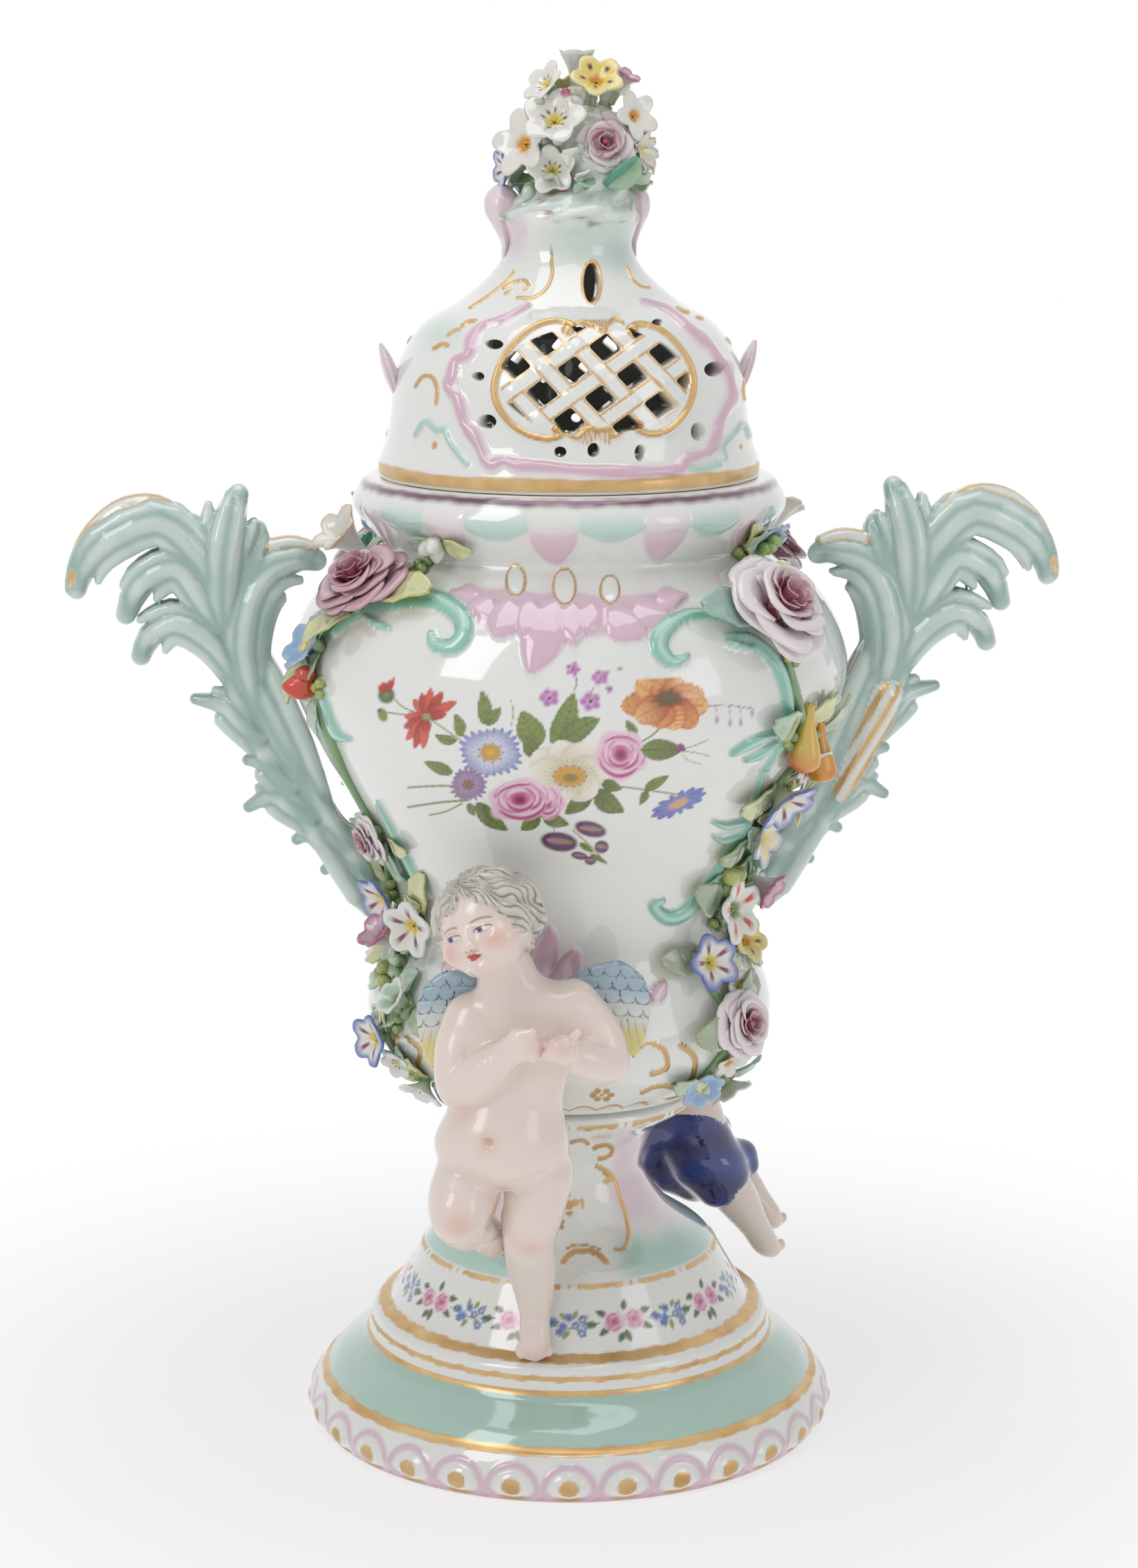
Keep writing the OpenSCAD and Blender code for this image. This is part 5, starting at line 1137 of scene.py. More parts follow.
# modelled flowers and leaves
class Heap:
    # gathers the parts of one piece into one mesh
    def __init__(self):
        self.points, self.colour, self.quads, self.tris, self.count = [], [], [], [], 0

    def add(self, points, colour, quads=(), tris=()):
        points = np.asarray(points).reshape(-1, 3)
        self.points.append(points)
        self.colour.append(np.broadcast_to(colour, points.shape))
        for kind, faces in ((self.quads, quads), (self.tris, tris)):
            if len(faces):
                kind.append(np.asarray(faces) + self.count)
        self.count += len(points)

    def sheet(self, grid, thick, colour, back=None):
        # thin leaf of porcelain with a closed edge
        m, n = grid.shape[:2]
        normal = unit(np.cross(np.gradient(grid, axis=1), np.gradient(grid, axis=0)))
        half = (np.broadcast_to(thick, (m, n)) / 2)[..., None]
        number = np.arange(m * n).reshape(m, n)
        face = np.stack([number[:-1, :-1], number[:-1, 1:], number[1:, 1:], number[1:, :-1]], -1).reshape(-1,
            4)
        loop = np.concatenate([number[0, :-1], number[:-1, -1], number[-1, :0:-1], number[:0:-1, 0]])
        after = np.roll(loop, -1)
        wall = np.stack([after, loop, loop + m * n, after + m * n], 1)
        colour = np.broadcast_to(colour, grid.shape)
        back = colour if back is None else np.broadcast_to(back, grid.shape)
        points = np.concatenate([(grid + normal * half).reshape(-1, 3),
                                 (grid - normal * half).reshape(-1, 3)])
        tones = np.concatenate([colour.reshape(-1, 3), back.reshape(-1, 3)])
        self.add(points, tones, np.concatenate([face, (face + m * n)[:, ::-1], wall]))

    def rings(self, grid, colour):
        # closed rings from end to end, with a point at each end
        m, n = grid.shape[:2]
        quads = ringQuads(m, n)
        ends = np.stack([grid[0].mean(0), grid[-1].mean(0)])
        j = np.arange(n)
        first = np.stack([np.full(n, m * n), (j + 1) % n, j], 1)
        last = np.stack([np.full(n, m * n + 1), (m - 1) * n + j, (m - 1) * n + (j + 1) % n], 1)
        colour = np.broadcast_to(colour, grid.shape)
        tones = [colour.reshape(-1, 3), colour[0].mean(0)[None], colour[-1].mean(0)[None]]
        self.add(np.concatenate([grid.reshape(-1, 3), ends]), np.concatenate(tones), quads,
                 np.concatenate([first, last]))

    def tube(self, path, radius, colour, sides=8):
        path = np.asarray(path, float)
        t = unit(np.gradient(path, axis=0))
        side = unit(np.cross(t, np.where(np.abs(t[:, 2:]) < 0.9, [[0, 0, 1.0]], [[1.0, 0, 0]])))
        other = np.cross(t, side)
        a = np.linspace(0, 2 * math.pi, sides, endpoint=False)[None, :, None]
        r = np.broadcast_to(radius, (len(path),))[:, None, None]
        self.rings(path[:, None] + r * (np.cos(a) * side[:, None] + np.sin(a) * other[:, None]), colour)

    def ball(self, centre, size, colour, frame=None, sides=12):
        v = np.linspace(-1, 1, sides // 2 + 2)[1:-1] * math.pi / 2
        a = np.linspace(0, 2 * math.pi, sides, endpoint=False)
        grid = (np.stack([np.cos(v)[:, None] * np.cos(a), np.cos(v)[:, None] * np.sin(a),
                          np.sin(v)[:, None] + 0 * a], -1) * np.broadcast_to(size, (3,)))
        self.rings(centre + (grid if frame is None else grid @ frame[1].T), colour)

    def make(self, name, body, slot, material):
        points = np.concatenate(self.points)
        quads = np.concatenate(self.quads) if self.quads else []
        tris = np.concatenate(self.tris) if self.tris else []
        piece(name, points, quads, tris, body, slot, [name], material, np.concatenate(self.colour))


def frameAt(origin, outward, up=(0, 0, 1), spin=0.0):
    ez = unit(np.asarray(outward, float))
    ex = unit(np.cross(np.asarray(up, float) + np.array([0.001, 0.002, 0]), ez))
    ey = np.cross(ez, ex)
    s, c = math.sin(math.radians(spin)), math.cos(math.radians(spin))
    return np.asarray(origin, float), np.stack([ex * c + ey * s, ey * c - ex * s, ez], 1)


def put(frame, local):
    return frame[0] + local @ frame[1].T


roseLook = {"rounds": ((5, 56, 1.0, 0.46, 0.1, 0, 0.0), (5, 56, 0.86, 0.66, 0.09, 36, 0.0),
                       (4, 62, 0.7, 0.8, 0.06, 12, 0.06), (3, 70, 0.56, 0.86, 0.03, 70, 0.5),
                       (5, 46, 0.42, 0.9, 0.02, 10, 1.0), (4, 54, 0.27, 0.93, 0.0, 30, 1.0)), "thick": 0.072,
                       "across": 13, "along": 12}


def roseModelled(heap, frame, r, edge, body, heart, draw):
    k = roseLook
    u, v = np.linspace(-1, 1, k["across"])[None, :], np.linspace(0, 1, k["along"])[:, None]
    for ring, (count, spread, lip, height, roll, offset, core) in enumerate(k["rounds"]):
        # each petal darkens toward its base, painted shade inside the cup; in the core rings the heart colour
        # is the rose's own
        base, leaf, rim = (mix(body, heart, 0.14 + 0.86 * core), mix(body, heart, 0.85 * core),
                           mix(edge, heart, 0.6 * core))
        for m in range(count):
            wobble = draw.normal(0, 0.085, 4)
            s = v * (1 - 0.2 * u ** 4 - 0.025 * np.cos(7 * u + 100 * wobble[0]))
            turn = math.radians(offset + 360 * m / count + 90 * wobble[1])
            wide = math.radians(spread) * (0.35 + 0.65 * np.sin(math.pi / 2 * np.minimum(s / 0.6, 1)))
            radius = (0.1 + (lip * (1 + wobble[2]) - 0.1) * s ** 1.1
                      + roll * ease(0.6, 1, s) * (0.6 + 0.4 * np.cos(math.pi * u)))
            rise = (height * (1 + 0.8 * wobble[3]) * np.sin(math.pi / 2 * np.minimum(s, 1)) ** 0.9
                    - roll * ease(0.72, 1, s) ** 2 + 0.06 * u ** 2 * s)
            radius = radius * (1 + 0.06 * np.sin(3.4 * u + 90 * wobble[0]) * s) + 0.02 * m
            phi = turn + u * wide
            off = 0.07 * np.array([math.cos(2.1 * ring + 1), math.sin(2.1 * ring + 1)])
            grid = (r * np.stack([radius * np.cos(phi) + off[0], radius * np.sin(phi) + off[1] + 0.06 * core,
                                  rise + 0 * phi], -1))
            tone = mix(base, leaf, ease(0.1, 0.7, s)[..., None])
            tone = mix(tone, rim, (0.85 * ease(0.7, 1.0, s))[..., None])
            heap.sheet(put(frame, grid), k["thick"] * r * (1 - 0.45 * v) * (1 - 0.4 * core), tone,
                       mix(mix(leaf, rim, 0.5), rim, (0.5 + 0.5 * s)[..., None]))
    heap.ball(put(frame, np.array([0, 0.06, 0.62]) * r), np.array([0.15, 0.15, 0.3]) * r, heart, frame)
    heap.ball(put(frame, np.array([0, 0, 0.16]) * r), np.array([0.42, 0.42, 0.2]) * r, leafGreen, frame)


def funnel(heap, frame, r, throat, petal, rim, back, dots=None, lobes=5, depth=0.16, tall=0.95, rimBand=0.2,
           flare=1.0):
    # bell or cup blossom on a short stalk
    n = lobes * 12
    a = np.linspace(0, 2 * math.pi, n, endpoint=False)
    lobe = np.cos(lobes * a)
    sharp = np.abs(np.cos(lobes * a / 2)) * 2 - 1
    v = np.linspace(0, 1, 15)[:, None]
    inR = 0.1 + 0.9 * flare * v ** 1.7
    inZ = tall * (0.34 + 0.66 * v ** 0.85)
    grow = 1 + depth * (0.5 * lobe + 0.5 * sharp) * v ** 2
    curl = 0.1 * (lobe * v ** 2) - 0.1 * ease(0.7, 1, v) * (lobe > 0) * lobe
    inner = np.stack([inR * grow * np.cos(a), inR * grow * np.sin(a), inZ + curl], -1)
    w = np.linspace(1, 0, 9)[:, None]
    outR = 0.2 + 0.84 * flare * w ** 1.8
    outZ = tall * (0.02 + 0.96 * w ** 0.8) - 0.03
    growOut = 1 + depth * (0.5 * lobe + 0.5 * sharp) * w ** 2
    curlOut = 0.1 * (lobe * w ** 2) - 0.1 * ease(0.7, 1, w) * (lobe > 0) * lobe - 0.04
    outer = np.stack([outR * growOut * np.cos(a), outR * growOut * np.sin(a),
                      np.maximum(outZ + curlOut, -0.02)], -1)
    tone = mix(throat, petal, ease(0.3, 0.55, v)[..., None] + 0 * a[None, :, None])
    tone = mix(tone, rim, (ease(1 - rimBand, 1.0, v) + 0 * a)[..., None])
    if dots is not None:
        spotTone, many, at, long, thin = dots
        spot = ease(thin, 0.5 + 0.5 * thin, np.cos(many * a)) * np.exp(-((v - at) / long) ** 2)
        tone = mix(tone, spotTone, np.clip(spot * 1.3, 0, 1)[..., None])
    toneOut = mix(back, mix(petal, white, 0.2), (ease(0.15, 0.7, w) + 0 * a)[..., None])
    toneOut = mix(toneOut, rim, (ease(0.8, 1.0, w) + 0 * a)[..., None])
    grid = put(frame, r * np.concatenate([outer[::-1], inner[::-1]]))
    heap.rings(grid, np.concatenate([toneOut[::-1], tone[::-1]]))
    for k in range(5):
        b = 2 * math.pi * k / 5 + 0.4
        heap.ball(put(frame, r * np.array([0.12 * math.cos(b), 0.12 * math.sin(b), tall * 0.46])), 0.07 * r,
                  mix(throat, paint(236, 214, 110), 0.5), sides=6)


def petalFlower(heap, frame, r, count, inner, outer, eye, tall, point, wide, draw, stripe):
    # open flower of separate petals round an eye
    u, v = np.linspace(-1, 1, 9)[None, :], np.linspace(0, 1, 10)[:, None]
    for m in range(count):
        jig = draw.normal(0, 0.05, 2)
        turn = 2 * math.pi * (m + jig[0]) / count
        s = v * (1 - 0.1 * u ** 2)
        half = (wide * 2.4 / count
                * np.sin(math.pi * np.minimum(s * (1 - 0.42 * (1 - point)) + 0.1, 1)) ** (0.6 + point * 0.5))
        out = 0.12 + 0.9 * s
        rise = tall * (0.35 + 0.65 * s ** 0.9) + 0.1 * u ** 2 * s - 0.12 * ease(0.7, 1, s) + jig[1]
        across = u * half
        grid = (r * np.stack([out * math.cos(turn) - across * math.sin(turn),
                              out * math.sin(turn) + across * math.cos(turn), rise + 0 * across], -1))
        tone = mix(inner, outer, ease(0.25, 0.9, s)[..., None])
        tone = mix(tone, stripe, (ease(0.35, 0.1, np.abs(u)) * ease(0.9, 0.4, s) * 0.7)[..., None])
        heap.sheet(put(frame, grid), 0.07 * r * (1.2 - 0.6 * v), tone)
    heap.ball(put(frame, np.array([0, 0, tall * 0.5 * r])), np.array([0.2, 0.2, 0.16]) * r, eye, frame, 10)
    stalk = np.linspace(0, tall * 0.5, 5)[:, None] * np.array([0, 0, 1.0])
    heap.tube(put(frame, r * stalk), 0.14 * r, leafGreen)


def leafModelled(heap, root, along, outward, size, half, tone, tip, vein, bend=0.25, fold=0.18, teeth=5,
                 flank=None):
    along, outward = unit(np.asarray(along, float)), unit(np.asarray(outward, float))
    side = np.cross(outward, along)
    u, v = np.linspace(-1, 1, 11)[None, :], np.linspace(0, 1, 15)[:, None]
    saw = 1 - 0.14 * np.abs(((v * teeth) % 1) - 0.5)
    wide = half * np.sin(math.pi * np.clip(0.06 + 0.9 * v, 0, 1)) ** 0.7 * saw
    lift = (bend * size * np.sin(math.pi * v * 0.8) + fold * half * np.abs(u) * np.sin(math.pi * v)
            + 0.06 * half * np.cos(12 * v - 3 * np.abs(u)))
    grid = root + (size * v)[..., None] * along + (u * wide)[..., None] * side + lift[..., None] * outward
    shade = mix(tone, tip, (v ** 1.2 + 0 * u)[..., None])
    if flank is not None:
        shade = mix(shade, flank, (ease(-0.05, 0.1, u) * 0.9 + 0 * v)[..., None])
    ribs = (ease(0.12, 0.03, np.abs(u)) * ease(0.98, 0.8, v)
            + 0.5 * ease(0.86, 0.97, np.cos(2 * math.pi * (v * 6 - np.abs(u) * 0.8))))
    shade = mix(shade, vein, np.clip(ribs * 0.6, 0, 1)[..., None])
    heap.sheet(grid, 0.16 * half * (1.1 - 0.5 * np.abs(u)) + 0 * v + 0.35, shade,
               mix(tone, white, 0.35) if flank is None else shade)


def bud(heap, frame, r, tone, tip):
    v = np.linspace(0, 1, 9)[:, None]
    a = np.linspace(0, 2 * math.pi, 15, endpoint=False)
    radius = 0.62 * np.sin(math.pi * np.clip(0.1 + 0.86 * v, 0, 1)) ** 0.8 * (1 + 0.1 * np.cos(5 * a + 4 * v))
    heap.rings(put(frame, r * np.stack([radius * np.cos(a), radius * np.sin(a), 1.7 * v + 0 * a], -1)),
               mix(tone, tip, (ease(0.3, 0.8, v) + 0 * a)[..., None]))


butter, amber, scarlet = paint(232, 212, 110), paint(224, 160, 40), paint(204, 70, 40)
skyBlue, cornBlue, ivory = paint(140, 176, 214), paint(92, 118, 190), paint(232, 230, 222)
rosePale, roseBody, roseHeart = paint(240, 231, 233), paint(230, 213, 220), paint(172, 66, 90)
mauvePale, mauveBody, mauveHeart = paint(208, 170, 180), paint(186, 133, 147), paint(154, 72, 94)
mintLeaf, tealLeaf, limeLeaf, mossLeaf = (paint(150, 190, 150), paint(80, 158, 138), paint(206, 206, 110),
                                          paint(120, 150, 92))
leafTones = ((mossLeaf, limeLeaf), (mintLeaf, tealLeaf), (limeLeaf, mossLeaf), (tealLeaf, mintLeaf))
streak = (paint(126, 56, 104), 5, 0.62, 0.17, 0.75)
flowerLooks = {
    "dotted": dict(throat=butter, petal=ivory, rim=white, back=mintLeaf, dots=(plum, 9, 0.5, 0.07, 0.3)),
    "redDotted": dict(throat=mossLeaf, petal=ivory, rim=white, back=mintLeaf,
                      dots=(scarlet, 5, 0.72, 0.15, 0.55), depth=0.22),
    "blueRim": dict(throat=butter, petal=ivory, rim=cornBlue, back=mintLeaf, dots=streak, rimBand=0.24,
                    tall=1.1),
    "streaked": dict(throat=butter, petal=ivory, rim=white, back=mintLeaf, dots=streak, tall=1.0),
    "sky": dict(throat=butter, petal=skyBlue, rim=mix(skyBlue, white, 0.3), back=skyBlue, lobes=6, depth=0.12,
                tall=0.7),
    "yellow": dict(throat=amber, petal=butter, rim=mix(butter, white, 0.3), back=mintLeaf,
                   dots=(paint(104, 40, 44), 5, 0.68, 0.09, 0.6), lobes=5, tall=1.05),
    "pinkBell": dict(throat=roseHeart, petal=mix(roseBody, deepPink, 0.5), rim=paint(190, 110, 140),
                     back=ivory, depth=0.12, flare=0.75, tall=1.5),
    "blueYellow": dict(throat=butter, petal=mix(butter, white, 0.5), rim=mix(cornBlue, white, 0.4),
                       back=skyBlue, depth=0.26),
    "cream": dict(throat=amber, petal=ivory, rim=ivory, back=ivory, depth=0.24, tall=0.9),
    "green": dict(throat=mossLeaf, petal=mix(mintLeaf, white, 0.3), rim=white, back=mossLeaf, depth=0.14,
                  flare=0.7, tall=1.2),
}


# garlands on the body
garland = {
    "leftRoses": ((162.91, -53, 0.88, 75), (87, -64, 0.5, 150)),
    "leftBlossoms": ((182.02, -38, 0.7, 100, "bud"), (146, -64, 1, 200, "sky"),
                     (135, -61, 0.7, 180, "redBud"), (66, -70, 0.95, -30, "blueRim"),
                     (60, -53, 1, 20, "streaked"),
                     (48, -67, 1, 250, "pinkBell"), (34, -51, 0.9, 110, "green"),
                     (22, -62, 0.9, 250, "blueRim"), (10, -50, 0.8, 120, "dotted")),
    "leftFillers": ((171, -76, 1.1, "tulip"), (54, -62, 0.5, "yellow"), (40, -68, 0.4, "berry"),
                    (30, -60, 0.55, "green"), (16, -57, 0.6, "dotted")),
    "rightRoses": ((157.84, 48, 0.98, -75), (28, 52, 0.62, -90)),
    "rightBlossoms": ((180, 70, 0.9, -90, "berries"), (126, 55, 1.05, -80, "drop"),
                      (118, 67, 0.95, 40, "drop"), (104, 57, 1.05, -100, "blueRim"),
                      (98, 69, 0.85, 100, "yellow"),
                      (88, 58, 0.9, -110, "blueYellow"), (72, 70, 0.9, 120, "pinkBell"),
                      (64, 54, 1.1, -60, "redDotted"), (50, 67, 0.8, 130, "yellow"),
                      (48, 45, 0.95, -80, "blueRim"),
                      (10, 44, 0.8, -70, "sky"), (8, 60, 0.8, 60, "streaked")),
    "rightFillers": ((113, 64, 0.75, "redDotted"), (95, 60, 0.5, "sky"), (80, 64, 0.6, "green"),
                     (76, 52, 0.5, "berry"), (56, 60, 0.55, "green"), (38, 56, 0.6, "dotted"),
                     (18, 50, 0.6, "cream")),
    "roseRadius": 16.0, "blossomRadius": 7.6, "leaf": 15.0, "stem": 1.5,
}


def onBody(height, angle, off=0.0):
    z = vase["seat"] + height
    slope = (vaseRadius(z + 1) - vaseRadius(z - 1)) / 2
    a = math.radians(angle)
    n = unit(np.array([1.0, -slope]))
    normal = np.array([n[0] * math.sin(a), -n[0] * math.cos(a), n[1]])
    r = vaseRadius(z)
    return np.array([r * math.sin(a), -r * math.cos(a), z]) + off * normal, normal


def alongBody(normal, direction):
    # clockwise from straight up, seen from outside
    across = unit(np.cross([0, 0, 1.0], normal))
    up = np.cross(normal, across)
    d = math.radians(direction)
    return up * math.cos(d) + across * math.sin(d)


def blossomModelled(heap, kind, frame, r, draw):
    if kind == "bud":
        for lean, spin in ((0.5, 0), (0.7, 130), (0.5, 240)):
            tilt = np.array([lean * math.cos(math.radians(spin)), lean * math.sin(math.radians(spin)), 1])
            bud(heap, frameAt(frame[0], frame[1] @ tilt), 0.75 * r, mix(mossLeaf, ivory, 0.4), ivory)
    elif kind == "berry":
        for m in range(3):
            heap.ball(put(frame, r * np.array([0.8 * math.cos(2.1 * m), 0.8 * math.sin(2.1 * m), 0.7])),
                      0.72 * r, mix(mossLeaf, limeLeaf, draw.uniform(0.1, 0.7)), sides=14)
    elif kind == "tulip":
        funnel(heap, frame, r, butter, ivory, mix(amber, ivory, 0.7), ivory, lobes=5, depth=0.2, tall=1.9,
               rimBand=0.12, flare=0.78)
    elif kind == "redBud":
        bud(heap, frame, 1.1 * r, scarlet, paint(214, 60, 40))
        heap.ball(put(frame, np.array([0.5, 0.4, 0.7]) * r), 0.6 * r, scarlet)
    elif kind == "berries":
        funnel(heap, frame, 1.0 * r, skyBlue, mix(skyBlue, cornBlue, 0.5), mix(skyBlue, white, 0.2), cornBlue,
               depth=0.2, tall=0.6)
        for k in range(9):
            a = 2.4 * k
            s = 0.16 * math.sqrt(k)
            heap.ball(put(frame, r * np.array([s * math.cos(a), s * math.sin(a), 0.75 - 0.3 * s])), 0.26 * r,
                      mix(paint(168, 200, 110), mossLeaf, draw.uniform(0, 0.5)))
    elif kind == "drop":
        down = unit(alongBody(frame[1][:, 2], 182 + draw.uniform(-8, 8)) + 0.35 * frame[1][:, 2])
        hang = frameAt(frame[0] + 2.5 * frame[1][:, 2] + 0.8 * r * -down, down)
        v = np.linspace(0, 1, 17)[:, None]
        a = np.linspace(0, 2 * math.pi, 20, endpoint=False)
        radius = ((0.2 + 0.42 * ease(0.1, 0.85, v)) * np.sqrt(np.clip(1 - ease(0.8, 1.02, v) ** 2, 0.02, 1))
                  * (1 + 0.05 * np.cos(5 * a)))
        heap.rings(put(hang, r * np.stack([radius * np.cos(a), radius * np.sin(a), 2.5 * v + 0 * a], -1)),
                   mix(mix(amber, butter, (0.5 * np.cos(a) + 0.2 + 0 * v)[..., None].clip(0, 1)), scarlet,
                       (ease(0.55, 0.95, v) * (0.55 + 0.45 * np.cos(a - 1)))[..., None]))
        heap.tube(frame[0] + np.linspace(0, 1, 5)[:, None] * (hang[0] - frame[0]), 0.9, mossLeaf)
    else:
        funnel(heap, frame, r, **flowerLooks[kind])


def makeGarland(prefix, roses, blossoms, fillers, turn, seed):
    draw = np.random.default_rng(seed)
    rot = axisTurn(turn)
    greens, reds, opened = Heap(), Heap(), Heap()
    k = garland

    def leafBeside(height, angle, stalk, size, direction, tones=None):
        at, normal = onBody(height, angle, 0.8)
        way = alongBody(normal, direction)
        drawn = leafTones[draw.integers(4)]
        tone, tip = tones or drawn
        leafModelled(greens, at + way * stalk, way, normal, size, 0.32 * size, tone, tip, darkGreen,
                     bend=0.12)

    for number, (height, angle, size, direction) in enumerate(roses):
        at, normal = onBody(height, angle, 0.2)
        r = size * k["roseRadius"]
        tones = ((mauvePale, mauveBody, mauveHeart) if angle < 0 and number == 0
                 else (rosePale, roseBody, roseHeart))
        roseModelled(reds, frameAt(at, normal + np.array([0, 0, 0.12]), spin=40 * number + angle), r, *tones,
                     draw)
        leafBeside(height, angle, 0.45 * r, 1.45 * k["leaf"] * math.sqrt(size), direction,
                   (paint(204, 202, 92), limeLeaf) if number == 0 and angle < 0 else None)
        leafBeside(height, angle, 0.5 * r, 1.2 * k["leaf"] * math.sqrt(size), direction + 125)
    for height, angle, size, direction, kind in blossoms:
        at, normal = onBody(height, angle, 0.2)
        lean = normal + 0.28 * alongBody(normal, draw.uniform(0, 360))
        blossomModelled(opened, kind, frameAt(at, lean, spin=draw.uniform(0, 72)),
                        size * k["blossomRadius"] * 1.08, draw)
        leafBeside(height, angle, 0.3 * size * k["blossomRadius"] + 1, k["leaf"] * size * 1.05, direction)
        leafBeside(height, angle, 0.3 * size * k["blossomRadius"] + 1, k["leaf"] * size * 0.8,
                   direction + draw.uniform(120, 200))
    # smaller flowers and berries between them
    for height, angle, size, kind in fillers:
        at, normal = onBody(height, angle, 0.2)
        lean = normal + 0.3 * alongBody(normal, draw.uniform(0, 360))
        blossomModelled(opened, kind, frameAt(at, lean, spin=draw.uniform(0, 72)),
                        size * k["blossomRadius"] * 1.08, draw)
        leafBeside(height, angle, 1.0, k["leaf"] * 0.7, draw.uniform(0, 360))
    # winding stem with buds and berries between the flowers
    stops = np.array(sorted([f[:2] for f in roses] + [f[:2] for f in blossoms], key=lambda f: -f[0]))
    path = curve(stops, 8)
    wave = np.sin(np.arange(len(path)) * 0.8) * 1.2
    line = np.array([onBody(h, a + w * 0.7, 0.9)[0] for (h, a), w in zip(path, wave)])
    greens.tube(line, k["stem"] + 0.3 * np.sin(np.arange(len(line))), mix(mossLeaf, mintLeaf, 0.4))
    for (h, a) in path[3::7]:
        at, normal = onBody(h + draw.uniform(-4, 4), a + draw.uniform(-5, 5), 0.4)
        if draw.uniform() < 0.5:
            bud(greens, frameAt(at, normal + 0.8 * alongBody(normal, draw.uniform(0, 360))), 3.2, mossLeaf,
                mix(mintLeaf, white, 0.5))
        else:
            for m in range(3):
                greens.ball(at + normal * 1.4 + alongBody(normal, 120 * m + 30) * 1.9, 1.7,
                            mix(mossLeaf, limeLeaf, draw.uniform(0, 0.6)), sides=10)
        leafBeside(h + draw.uniform(-6, 6), a + draw.uniform(-6, 6), 1.0, k["leaf"] * draw.uniform(0.6, 0.9),
                   draw.uniform(0, 360))
    for heap, suffix, slot, look in ((greens, "leaves", "leaf_green_porcelain", "leaf"),
                                     (reds, "roses", "pink_porcelain", "petal"),
                                     (opened, "blossoms", "petal_porcelain", "petal")):
        heap.points = [p @ rot.T for p in heap.points]
        heap.make(prefix + "_" + suffix, "vase", slot, finish[look])


makeGarland("front_left", garland["leftRoses"], garland["leftBlossoms"], garland["leftFillers"], 0, 21)
makeGarland("front_right", garland["rightRoses"], garland["rightBlossoms"], garland["rightFillers"], 0, 22)
makeGarland("back_right", garland["leftRoses"], garland["leftBlossoms"][::2], garland["leftFillers"], 180, 23)
makeGarland("back_left", garland["rightRoses"], garland["rightBlossoms"][::2], garland["rightFillers"], 180,
            24)
print("garlands made")


# bunch on the cover
bunch = {
    "at": 408.2, "radius": 14.5, "lip": 390.7, "lean": 5.0, "rose": (10.9, -11.4, 410.4, 9.4), "bell": 8.4,
    "flowers": ((8.4, -9, 429.6, 6.5, "yellow", (0.1, -0.72, 0.7)),
                (-7.4, -7, 428.6, 5.8, "dotted", (-0.66, -0.5, 0.6)),
                (-4.6, -13.4, 418, 7.8, "dotted", (-0.1, -0.8, 0.62)),
                (20.4, -8.6, 419, 5.8, "cream", (0.6, -0.75, 0.25)),
                (23.6, -5, 408.4, 7.4, "spiky", (0.85, -0.5, 0.05)),
                (-14.4, -10.6, 410.6, 7.8, "cream", (-0.6, -0.72, 0.25)),
                (-5.2, -15.4, 402.6, 6.0, "dotted", (-0.15, -0.95, 0.25)),
                (-19.6, -3, 402.6, 5.2, "blueRim", (-0.95, -0.3, -0.05)),
                (16.4, -1.6, 428.4, 4.6, "pinkBell", (0.5, -0.2, 0.8)),
                (-11.6, 1, 421, 5.8, "cream", (-0.8, 0.1, 0.55)), (-16, 8, 405, 6.8, "cream", None),
                (-9, 13, 414, 7, "dotted", None), (0, 15.4, 403.4, 6.8, "blueRim", None),
                (9, 14, 414, 7, "streaked", None), (19, 10, 405, 6.8, "dotted", None),
                (-3, 8, 426, 6.2, "yellow", None), (12, 7, 427, 6.2, "cream", None),
                (22.6, 5, 415, 5.8, "sky", None)),
    "buds": ((-0.4, -15.2, 398.4, 2.6, (-0.72, -0.35, -0.6), "rosy"),
             (-11.4, -11.4, 397.4, 3.9, (-0.45, -0.5, -0.75), "green"),
             (-8.4, -9.6, 422.6, 2.5, (-0.4, -0.6, 0.5), "green"),
             (3, -13.4, 409, 3.0, (0.1, -1, 0.2), "green"), (15, -11.6, 401, 2.6, (0.5, -0.8, -0.1), "green"),
             (-1, -9.4, 424.6, 2.6, (0, -0.7, 0.7), "rosy"), (-12, 12, 398, 3.4, (-0.5, 0.6, -0.5), "green"),
             (18, 11, 399, 3.2, (0.5, 0.6, -0.5), "rosy")),
}


def onBunch(angle, lift, r):
    a, e = math.radians(angle), math.radians(lift)
    d = np.array([math.cos(e) * math.sin(a), -math.cos(e) * math.cos(a), math.sin(e)])
    return np.array([bunch["lean"], 0, bunch["at"]]) + r * d, d


